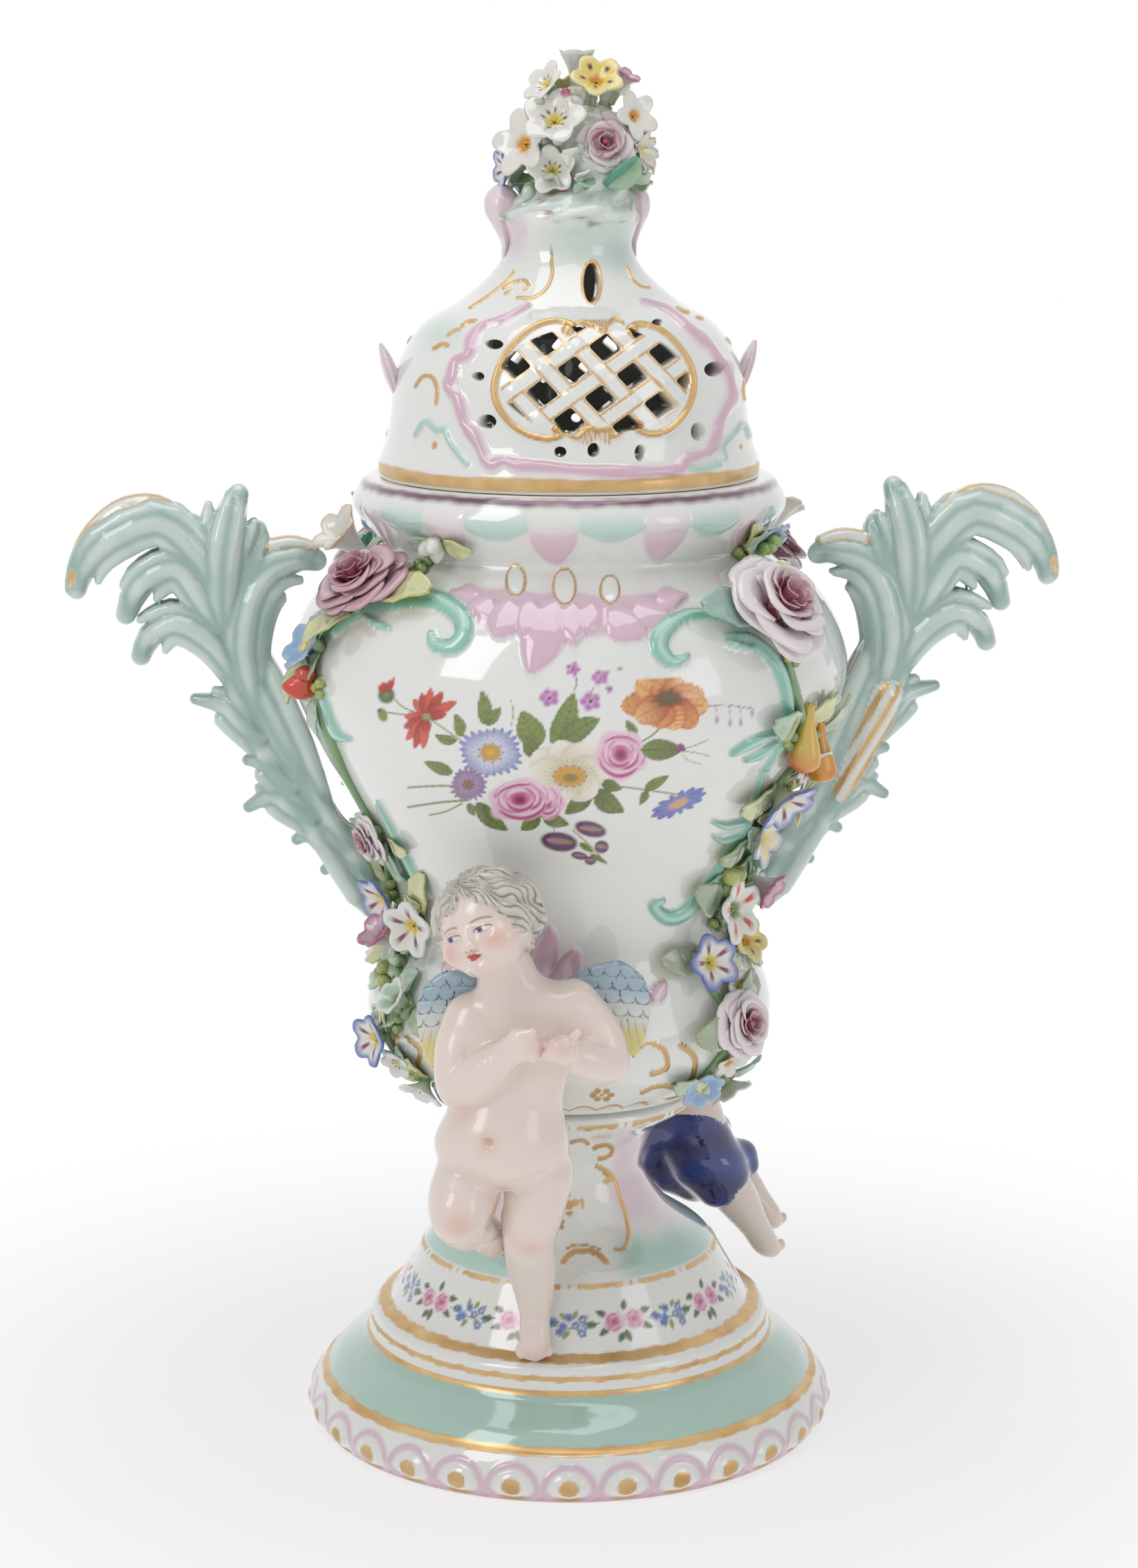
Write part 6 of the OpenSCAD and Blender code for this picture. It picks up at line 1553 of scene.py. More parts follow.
def makeBunch():
    k = bunch
    draw = np.random.default_rng(31)
    core, red, opened, bell, greens = Heap(), Heap(), Heap(), Heap(), Heap()
    z0 = k["lip"] + 0.25
    ball = [[k["radius"] * math.cos(e), k["at"] + k["radius"] * math.sin(e)]
            for e in np.radians([-15, 10, 35, 60, 78, 89])]
    line = curve([[22.6, z0 - 3.4], [23.0, z0 - 1.4], [21.6, z0 + 1], [18.6, z0 + 3.6], [15.4, z0 + 7]]
                 + ball, 5)
    a = np.linspace(0, 2 * math.pi, 72, endpoint=False)
    grid = turnedRows(line, np.degrees(a))
    lump = 1 + 0.05 * np.sin(3 * a + line[:, 1:] * 0.5) + 0.04 * np.sin(7 * a - line[:, 1:] * 0.9)
    grid[..., :2] *= np.minimum(lump, 1.06)[..., None]
    spots = (np.sin(2 * a + 0.9 * np.sin(3 * a) + line[:, 1:] * 0.31)
             * np.sin(5 * a + 1.7 * np.sin(2 * a + 1) - line[:, 1:] * 0.23)
             + 0.3 * np.sin(17 * a + line[:, 1:] * 2.1))
    shade = mix(mix(white, paleGreen, 0.35), stain,
                (0.8 * ease(0.62, 1.0, spots) * ease(z0 + 12, z0 + 5, line[:, 1:]))[..., None])
    shade = mix(shade, mix(ivory, mintLeaf, 0.3),
                (ease(z0 + 8, z0 + 16, line[:, 1:]) * 0.8 + 0 * a)[..., None])
    grid[..., 0] += (k["lean"] * ease(z0, z0 + 12, line[:, 1:])) + 0 * a
    core.rings(grid, shade)
    middle = np.array([k["lean"], 0, k["at"]])

    def stalked(x, y, z, facing, back):
        # the flower's own frame, and a stalk from the mound to it
        centre = np.array([x, y, z], float)
        facing = unit(np.array(facing, float)) if facing else unit(centre - middle + [0, 0, 4])
        origin = centre - back * facing
        foot = middle + (k["radius"] - 1.2) * unit(origin - middle)
        if np.linalg.norm(origin - middle) > k["radius"]:
            greens.tube(curve([foot, mix(foot, origin, 0.5) + [0, 0, 0.4], origin + 0.6 * facing], 5), 1.3,
                        mix(mossLeaf, ivory, 0.35))
        return frameAt(origin, facing, spin=draw.uniform(0, 72))

    x, y, z, r = k["rose"]
    roseModelled(red, stalked(x, y, z, (0.18, -0.95, 0.22), 0.5 * r), r, rosePale, roseBody, roseHeart, draw)
    # small petals fill the gaps between the flowers
    taken = unit(np.array([k["rose"][:3]] + [f[:3] for f in k["flowers"]]) - middle)
    for n in range(64):
        at, d = onBunch(137.5 * n, -26 + 1.6 * n, k["radius"] - 0.6)
        if (taken[0] @ d > 0.8) or (taken @ d > 0.955).any():
            continue
        across = unit(np.cross(d, [0.3, 0.2, 1.0]))
        way = unit(d + 0.75 * (across * math.cos(2.4 * n) + np.cross(d, across) * math.sin(2.4 * n)))
        leafModelled(opened, at, way, d - (d @ way) * way, 6.6, 3.4, ivory, mix(ivory, rosePale, n % 2),
                     mix(ivory, mossLeaf, 0.3), bend=0.2, fold=0.5, teeth=1)
    for x, y, z, r, kind, facing in k["flowers"]:
        r *= 1.1
        frame = stalked(x, y, z, facing, 0.7 * r)
        if kind == "spiky":
            petalFlower(opened, frame, r, 11, ivory, mix(ivory, butter, 0.2), butter, tall=0.75, point=0.9,
                        wide=0.9, draw=draw, stripe=butter)
            petalFlower(opened, frame, r * 0.8, 8, ivory, ivory, butter, tall=1.05, point=0.9, wide=0.9,
                        draw=draw, stripe=butter)
        else:
            blossomModelled(opened, kind, frame, r, draw)
    for x, y, z, r, facing, kind in k["buds"]:
        tones = ((mix(mossLeaf, ivory, 0.3), mix(mintLeaf, white, 0.5)) if kind == "green"
                 else (rosePale, paint(190, 92, 128)))
        bud(greens, stalked(x, y, z, facing, 0.4 * r), r, *tones)
    # tall tube flower on the top
    at, d = onBunch(0, 90, k["radius"] - 0.4)
    r = k["bell"]
    frame = frameAt(at - np.array([2.4, 0, 0.6]), d)
    v = np.linspace(0, 1, 18)[:, None]
    b = np.linspace(0, 2 * math.pi, 40, endpoint=False)
    outR = ((0.26 + 0.04 * v + 0.34 * ease(0.5, 1, v) * v) * (1 + 0.06 * np.cos(5 * b) * v ** 3)
            * (1 + 0.015 * np.cos(10 * b)))
    tube = np.stack([outR * np.cos(b), outR * np.sin(b), 2.04 * v + 0.04 * np.cos(5 * b) * v ** 3 - 0.06], -1)
    w = np.linspace(1, 0, 6)[:, None]
    inR = np.maximum(0.24 + 0.34 * w ** 2, 0.05) * (1 + 0.06 * np.cos(5 * b) * w ** 2)
    mouth = np.stack([inR * np.cos(b), inR * np.sin(b), 1.4 + 0.6 * w + 0.04 * np.cos(5 * b) * w ** 2 - 0.06],
                     -1)
    tones = mix(mix(mossLeaf, ivory, 0.72), mix(mintLeaf, white, 0.8), (ease(0.2, 0.9, v) + 0 * b)[..., None])
    bell.rings(put(frame, r * np.concatenate([tube, mouth])),
               np.concatenate([tones, mix(mossLeaf, white, (0.8 * w + 0 * b)[..., None])]))
    for n in range(8):
        angle, lift = 45 * n + 8, -34 if n % 2 == 0 else -26
        at, d = onBunch(angle, lift, k["radius"] + 0.4)
        way = unit(np.array([0, 0, 1.0]) * 0.35 + unit(np.cross([0, 0, 1.0], d)) * (0.4 if n % 2 else -0.5)
                   + d * 0.75)
        tone, tip = ((mintLeaf, tealLeaf), (mix(mossLeaf, white, 0.4), mintLeaf),
                     (mix(limeLeaf, white, 0.4), mintLeaf))[n % 3]
        leafModelled(greens, at, way, unit(d * 0.6 - np.array([0, 0, 0.4])), 9.0 if n < 3 else 12.0, 4.2,
                     tone, tip, mossLeaf, bend=0.12, fold=0.5, teeth=3)
    leafModelled(greens, np.array([11.4, -13.2, 398]), (0.74, -0.12, 0.66), (0.3, -0.9, -0.3), 13.0, 4.3,
                 mix(mintLeaf, white, 0.25), mintLeaf, mossLeaf, bend=0.1, fold=0.7, teeth=2, flank=tealLeaf)
    for heap, part, slot, look in (
            (core, "core", "leaf_green_porcelain", "leaf"), (red, "rose", "pink_porcelain", "petal"),
            (opened, "blossoms", "petal_porcelain", "petal"), (bell, "bell", "leaf_green_porcelain", "leaf"),
            (greens, "leaves", "leaf_green_porcelain", "leaf")):
        heap.make("bunch_" + part, "cover", slot, finish[look])


makeBunch()
print("bunch made")


# soft forms of balls and rods, blended and skinned as one surface
def ballTo(p, centre, radii):
    q = (p - np.asarray(centre, float)) / radii
    far = np.linalg.norm(q, axis=-1)
    return far * (far - 1) / np.maximum(np.linalg.norm(q / radii, axis=-1), 1e-6)


def rodTo(p, a, b):
    a, b = np.asarray(a, float), np.asarray(b, float)
    d = b[:3] - a[:3]
    t = np.clip(((p - a[:3]) @ d) / (d @ d), 0, 1)
    return np.linalg.norm(p - a[:3] - t[..., None] * d, axis=-1) - mix(a[3], b[3], t)


def melt(a, b, soft):
    h = np.clip(0.5 + 0.5 * (b - a) / soft, 0, 1)
    return mix(b, a, h) - soft * h * (1 - h)


def carve(a, b, soft):
    return -melt(-a, b, soft)


def limbTo(p, stops):
    d = np.full(len(p), 99.0)
    path = curve(stops, 5)
    for a, b in zip(path[:-1], path[1:]):
        reach = max(a[3], b[3]) + 9
        close = ((p > np.minimum(a, b)[:3] - reach) & (p < np.maximum(a, b)[:3] + reach)).all(1).nonzero()[0]
        d[close] = np.minimum(d[close], rodTo(p[close], a, b))
    return d


def trunkTo(p, stops):
    s = curve(stops, 6)
    x, y, rx, ry = (np.interp(p[:, 2], s[:, 2], s[:, k]) for k in (0, 1, 3, 4))
    side = (np.sqrt(((p[:, 0] - x) / rx) ** 2 + ((p[:, 1] - y) / ry) ** 2) - 1) * np.minimum(rx, ry)
    return np.maximum(side, np.maximum(s[0, 2] - p[:, 2], p[:, 2] - s[-1, 2]))


def skinned(form, low, high, step):
    # surface of a soft form on a grid, finer samples only near the surface
    low = np.asarray(low, float)
    n = np.ceil((np.asarray(high, float) - low) / step).astype(int) + 1
    axes = [low[k] + step * np.arange(n[k]) for k in range(3)]
    every = 4
    rough = np.stack(np.meshgrid(*[a[::every] for a in axes], indexing="ij"), -1)
    far = form(rough.reshape(-1, 3)).reshape(rough.shape[:3])
    field = far[np.ix_(*[np.minimum((np.arange(n[k]) + every // 2) // every, far.shape[k] - 1)
                         for k in range(3)])]
    close = np.nonzero(np.abs(field) < every * step * 1.7)
    field[close] = form(np.stack([axes[k][close[k]] for k in range(3)], -1))
    inside = field < 0

    def corner(grid, o):
        return grid[o[0]:n[0] - 1 + o[0], o[1]:n[1] - 1 + o[1], o[2]:n[2] - 1 + o[2]]

    many = sum(corner(inside, (i, j, k)).astype(int) for i in (0, 1) for j in (0, 1) for k in (0, 1))
    active = (many > 0) & (many < 8)
    number = np.full(active.shape, -1)
    number[active] = np.arange(active.sum())
    total, hits = np.zeros((active.sum(), 3)), np.zeros(active.sum())
    quads = []
    for axis in range(3):
        j, k = (axis + 1) % 3, (axis + 2) % 3
        for u in (0, 1):
            for v in (0, 1):
                a = [0, 0, 0]
                a[j], a[k] = u, v
                b = list(a)
                b[axis] = 1
                fa, fb = corner(field, a)[active], corner(field, b)[active]
                cross = (fa < 0) != (fb < 0)
                spot = np.tile(np.array(a, float), (len(fa), 1))
                spot[:, axis] = np.where(cross, fa / np.where(cross, fa - fb, 1), 0)
                total += spot * cross[:, None]
                hits += cross
        under = np.take(inside, np.arange(n[axis] - 1), axis)
        at = np.stack(np.nonzero(under != np.take(inside, np.arange(1, n[axis]), axis)), -1)
        at = at[(at[:, j] > 0) & (at[:, k] > 0) & (at[:, j] < n[j] - 1) & (at[:, k] < n[k] - 1)]

        def cell(dj, dk):
            q = at.copy()
            q[:, j] -= dj
            q[:, k] -= dk
            return number[tuple(q.T)]

        ring = np.stack([cell(1, 1), cell(0, 1), cell(0, 0), cell(1, 0)], 1)
        quads.append(np.where(under[tuple(at.T)][:, None], ring, ring[:, ::-1]))
    points = low + step * (np.stack(np.nonzero(active), -1) + total / hits[:, None])
    for _ in range(2):
        slope = slopeOf(form, points, 0.3 * step)
        points = points - (form(points) / np.maximum((slope ** 2).sum(-1), 0.2))[:, None] * slope
    return points, np.concatenate(quads)


def slopeOf(form, p, h):
    return np.stack([(form(p + h * e) - form(p - h * e)) / (2 * h) for e in np.eye(3)], -1)


# handles: fluted leaves whose ribs end in separate lobes, skinned as one surface
# celadon, a darker celadon painted as shade in the grooves, and a pale celadon
celadon, celadonGrooveShade, celadonPale = paint(190, 212, 205), paint(138, 175, 164), paint(218, 230, 225)
handleLook = {
    "shoulder": 88.0, "turn": 6, "step": 0.8, "soft": 1.9, "rib": 0.46, "core": 0.8,
    "leaves": (
        (((20, 144, 4, 5), (25, 166, 6.6, 9), (33, 178, 7.2, 10), (42, 183, 7.2, 10), (57.6, 176, 6.8, 8.5),
          (64.2, 167.4, 5, 5), (66, 161.8, 4, 2)),
         ((0.7, 1, 0), (0.05, 0.95, -1), (-0.65, 0.84, -3.4))),
        (((19, 142, 4, 5), (28, 160, 6, 10), (35, 169, 6.4, 10), (46, 164, 6, 8), (51, 153.6, 4, 2)),
         ((0.6, 0.82, 1.6), (-0.05, 1, 0), (-0.75, 0.76, -3.6))),
        (((14, 128, 4, 5), (24, 144, 6, 10), (35, 151, 6, 9.5), (43.4, 147, 5, 7), (46.6, 140.6, 4, 2)),
         ((0.75, 0.72, 3.2), (0.1, 1, 0), (-0.7, 0.76, -3.8))),
        (((20, 144, 4, 5), (21, 160, 7, 10), (20, 174, 7.6, 11), (17.5, 185, 6, 8), (15.4, 191, 4, 2.4)),
         ((0.85, 0.72, 3.4), (0.28, 1, 0.6), (-0.3, 0.94, -1.6), (-0.9, 0.76, -3.6))),
        (((18, 144, 4, 5), (13.5, 163, 5.4, 8), (11, 174, 4.6, 6), (9.8, 179.6, 4, 2)),
         ((0.4, 0.9, 1.6), (-0.3, 1, 0))),
         (((24, 150, 3, 4), (28, 166, 5.4, 8), (29, 177, 4.6, 6), (30, 182, 4, 1.8)),
          ((0.4, 1, 0), (-0.5, 0.84, -2.2))),
          (((9, 120, 4, 5), (14, 140, 7, 10), (12, 157, 7, 10.5), (6, 166.6, 6, 8), (-3, 170, 4.6, 5.4),
            (-8.6, 169.6, 4, 2)),
         ((-0.7, 1, 0), (-0.05, 0.95, 1.4), (0.65, 0.78, 4), (0.8, 0.5, 4.4))),
        (((-13, 82, 3, 3.5), (-8, 94, 5, 6.4), (-3, 108, 6, 8), (3, 122, 6.6, 9), (9, 136, 6, 8.4),
          (13, 146, 4, 5)), ((0.5, 1, 0), (-0.6, 1, 0)))),
    "fringe": (((10, 114), (21, 124.5), (30, 126.5)), ((0, 98), (8, 106), (14, 106.6)),
               ((-6, 88), (6, 95.5), (14, 91.5)), ((-16, 79), (-8, 84.5), (-1, 80.6)),
               ((-24, 69), (-17, 74), (-10, 70.6))),
    "crests": (((26, 162, 1.6), (29, 175, 2.4), (38, 187, 3), (50, 187.8, 3), (60.4, 180.4, 2.8),
                (66, 170.4, 2.4), (67.4, 163.6, 1.8)),
               ((15.6, 122, 1.4), (20.6, 141, 2.2), (18.8, 158.6, 2.6), (11.4, 171.6, 2.6), (0, 175.8, 2.2),
                (-8, 174.2, 1.5))),
    "branch": ((-5, 93, 6.2), (8, 114, 6.2), (15, 130, 6), (21, 150, 5), (22, 160, 2.4)),
    "scroll": ((-1, 92, -4.4, 3), (5, 106, -4.2, 4.6), (11, 119, -3.8, 5.6), (13, 124.4, -3.6, 5.8)),
}


def lanes(stops, flutes, rib, core):
    # one path of rods for each rib on both sides of a leaf, and one through its middle
    s = curve(stops, 6)
    v = np.linspace(0, 1, len(s))
    t = unit(np.gradient(s[:, :2], axis=0))
    rows = [np.stack([s[:, 0], 0 * v, s[:, 1], core * s[:, 2]], -1)[::3]]
    w = np.linspace(0, 1, 13)
    for across, end, kick in flutes:
        x, z, thick, wide = (np.interp(w * end, v, s[:, i]) for i in range(4))
        out = 0.75 * across * thick + kick * w ** 3
        r = rib * np.maximum(thick, 4.6) * (1 - 0.5 * w ** 6)
        nx, nz = np.interp(w * end, v, -t[:, 1]), np.interp(w * end, v, t[:, 0])
        for side in (-1, 1):
            rows.append(np.stack([x + nx * out, side * 0.62 * wide * math.sqrt(1 - across ** 2), z + nz * out,
                                  r], -1))
    return rows


def pathTo(p, path):
    a, b = path[:-1], path[1:]
    d = b[:, :3] - a[:, :3]
    off = p[:, None] - a[None, :, :3]
    t = np.clip((off * d).sum(-1) / (d * d).sum(-1), 0, 1)
    return (np.linalg.norm(off - t[..., None] * d, axis=-1) - mix(a[:, 3], b[:, 3], t)).min(1)


def leafGroups():
    k = handleLook
    base = np.array([k["shoulder"], 0, vase["seat"], 0])
    groups = []
    for stops, flutes in k["leaves"]:
        groups.append([base + row for row in lanes(stops, flutes, k["rib"], k["core"])])
    for a, b, c in (np.array(f, float) for f in k["fringe"]):
        stops = [(*a, 6.4, 6.5), (*mix(a, b, 0.6), 6.2, 7), (*b, 5, 5.6), (*c, 2.4, 1.8)]
        groups.append([base + row for row in lanes(stops, ((0.75, 0.8, 1.6), (0, 1, 0), (-0.8, 0.66, -2.4)),
            0.42, 0.7)])
    rootH = 64.0
    slope = (vaseRadius(vase["seat"] + rootH + 1) - vaseRadius(vase["seat"] + rootH - 1)) / 2
    out = 7.2 * unit(np.array([1.0, -slope]))
    root = (vaseRadius(vase["seat"] + rootH) + out[0] - k["shoulder"], rootH + out[1])
    stops = ([(root[0] - 1.5, root[1] - 5, 2.2)]
             + [(root[0], root[1], 6.6), (mix(root[0], -5, 0.45), mix(root[1], 93, 0.45), 7)]
             + list(k["branch"]))
    stops = [(x, z, r, 1.1 * r) for x, z, r in stops]
    groups.append([base + row for row in lanes(stops, ((0.6, 1, 0), (-0.6, 1, 0)), 0.5, 0.7)])
    for crest in k["crests"]:
        rows = curve([(x, 0, z, r) for x, z, r in crest], 4)
        groups.append([base + rows + np.array([0, y, 0, -0.3 * abs(y)]) for y in (-2.6, 0, 2.6)])
    groups.append([base + curve([(x, y, z, r) for x, z, y, r in k["scroll"]], 4)])
    return groups


def handleTo(p, groups):
    # distance to the handle, the gap between the two nearest ribs and the nearest group
    near, second, which = np.full(len(p), 99.0), np.full(len(p), 99.0), np.zeros(len(p), int)
    d = np.full(len(p), 99.0)
    for n, rows in enumerate(groups):
        low, high = np.concatenate(rows)[:, :3].min(0) - 11, np.concatenate(rows)[:, :3].max(0) + 11
        close = ((p > low) & (p < high)).all(1).nonzero()[0]
        own = None
        for row in rows:
            far = pathTo(p[close], row)
            own = far if own is None else melt(own, far, handleLook["soft"])
            first = far < near[close]
            second[close] = np.where(first, near[close], np.minimum(second[close], far))
            which[close] = np.where(first, n, which[close])
            near[close] = np.minimum(near[close], far)
        if own is not None:
            d[close] = melt(d[close], own, 0.8)
    return d, second - near, which


def makeHandles():
    k = handleLook
    groups = leafGroups()
    whole = np.concatenate([row for rows in groups for row in rows])
    form = lambda p: handleTo(p, groups)[0]
    points, quads = skinned(form, whole[:, :3].min(0) - 9, whole[:, :3].max(0) + 9, k["step"])
    _, gap, which = handleTo(points, groups)
    # painted shade: the celadon goes darker down in the grooves where two ribs meet and paler up on the
    # ridges
    ridge = ease(0.0, 2.2, gap)[:, None]
    mottle = (0.5 + 0.5 * np.sin(0.31 * points[:, 0] + 0.5 * np.sin(0.4 * points[:, 2]))
              * np.sin(0.27 * points[:, 2] + 0.8 * np.sin(0.5 * points[:, 1])))
    tone = mix(celadonGrooveShade, mix(celadon, celadonPale, (0.3 + 0.6 * mottle)[:, None]), 0.25 + 0.75 * ridge)
    first = len(k["leaves"]) + len(k["fringe"]) + 1
    crest, scroll = (which == first) | (which == first + 1), which == first + 2
    for name, turn, striped in (("left_handle", 180 + k["turn"], False), ("right_handle", k["turn"], True)):
        spun = points @ axisTurn(turn).T
        look = np.where((crest | (scroll & striped))[:, None], mix(white, celadonPale, 0.25), tone)
        film = crest * ease(0.9, 0.4, gap)
        u = points[:, 0] - k["shoulder"]
        line = np.cos(2 * math.pi * (0.84 * (u - 5.5) - 0.5 * (points[:, 2] - vase["seat"] - 108)) / 4.2)
        film = np.maximum(film, scroll * striped * ease(-0.3, 0.5, line))
        piece(name, spun, quads, [], "vase", "sea_green_porcelain", [name], finish["acanthus"], look, film)


makeHandles()


# curled leaves of the cover
ribbedLook = {"steps": 12, "sides": 60}


def ribbed(heap, stops, rot, ribs, depth, tones):
    # ribbed leaf swept in the radial plane: reach, height, half thickness, half width
    deep, middle, pale = tones
    s = curve(stops, ribbedLook["steps"])
    t = unit(np.gradient(s[:, :2], axis=0))
    a = np.linspace(0, 2 * math.pi, ribbedLook["sides"], endpoint=False)
    v = np.linspace(0, 1, len(s))[:, None]
    flank = np.sin(a) ** 2
    groove = 0.5 - 0.5 * np.cos(2 * ribs * a + 2.5 * v * np.cos(a))
    rib = 1 - depth * groove * (0.35 + 0.65 * flank) * ease(0, 0.12, v)
    c, b = s[:, 2:3] * rib * np.cos(a), s[:, 3:4] * rib * np.sin(a)
    grid = np.stack([s[:, :1] - t[:, 1:] * c, b, s[:, 1:2] + t[:, :1] * c], -1)
    # painted shade: darker down in the grooves between the ribs, paler on the ribs
    tone = mix(mix(middle, deep, 0.55), mix(middle, pale, 0.7), (1 - groove)[..., None])
    tone = mix(tone, pale, (0.35 * ease(0.3, 1.0, v) + 0 * a)[..., None])
    heap.rings(grid @ rot.T, tone)


def makeScrollLeaves():
    heap = Heap()
    v, z = lid, lid["seat"]
    profile = coverLine(8)
    windowZ, lip, neck = z + 33, z + v["lipH"], v["spout"]
    side = float(np.interp(windowZ, profile[:, 1], profile[:, 0])) + 1.2
    # the first of the three tones is painted shade for the grooves of the curled leaves
    rosy = (mix(pink, deepPink, 0.3), palePink, mix(palePink, white, 0.5))
    for turn in (7, 187):
        rot = axisTurn(turn)
        size = 1.0 if turn > 90 else 0.8
        ribbed(heap, [[neck + 0.6, lip - 15, 0.6, 3], [neck + 0.2, lip - 10, 1.3, 6 * size],
                      [neck + 0.8, lip - 5, 3.2 * size, 8 * size],
                      [neck + 1.1, lip - 0.6, 5.3 * size, 8.6 * size],
                      [neck + 0.8, lip + 3.2, 5.4 * size, 7.8 * size],
                      [neck + 0.4, lip + 6, 3.4 * size, 5 * size], [neck, lip + 7.4, 0.9, 1.6]], rot, ribs=3,
                      depth=0.06, tones=rosy)
        ribbed(heap, [[side - 1, windowZ - 9, 0.6, 1.6], [side + 0.2, windowZ - 3, 2.2, 5],
                      [side + 2.2, windowZ + 3, 2.0, 4.8], [side + 4, windowZ + 8, 0.6, 1.5]], rot, ribs=4,
                      depth=0.14, tones=rosy)
    heap.make("cover_scroll_leaves", "cover", "pink_porcelain", finish["petal"])


makeScrollLeaves()
print("handles and curled leaves made")


# putti: soft forms of balls and rods, skinned as one surface
# skin, rosy blush that also serves as painted shade in creases, hair and its lines
skin, blushAndCreaseShade, hairTone, hairLine = (paint(238, 223, 214), paint(226, 168, 150), paint(212, 208, 199),
                                   paint(112, 104, 95))


def toeRow(middle, step, arch):
    # five toes: place and size of the middle one, and the change along the row
    return [np.array(middle) + k * np.array(step) + abs(k) * np.array(arch) for k in range(-2, 3)]


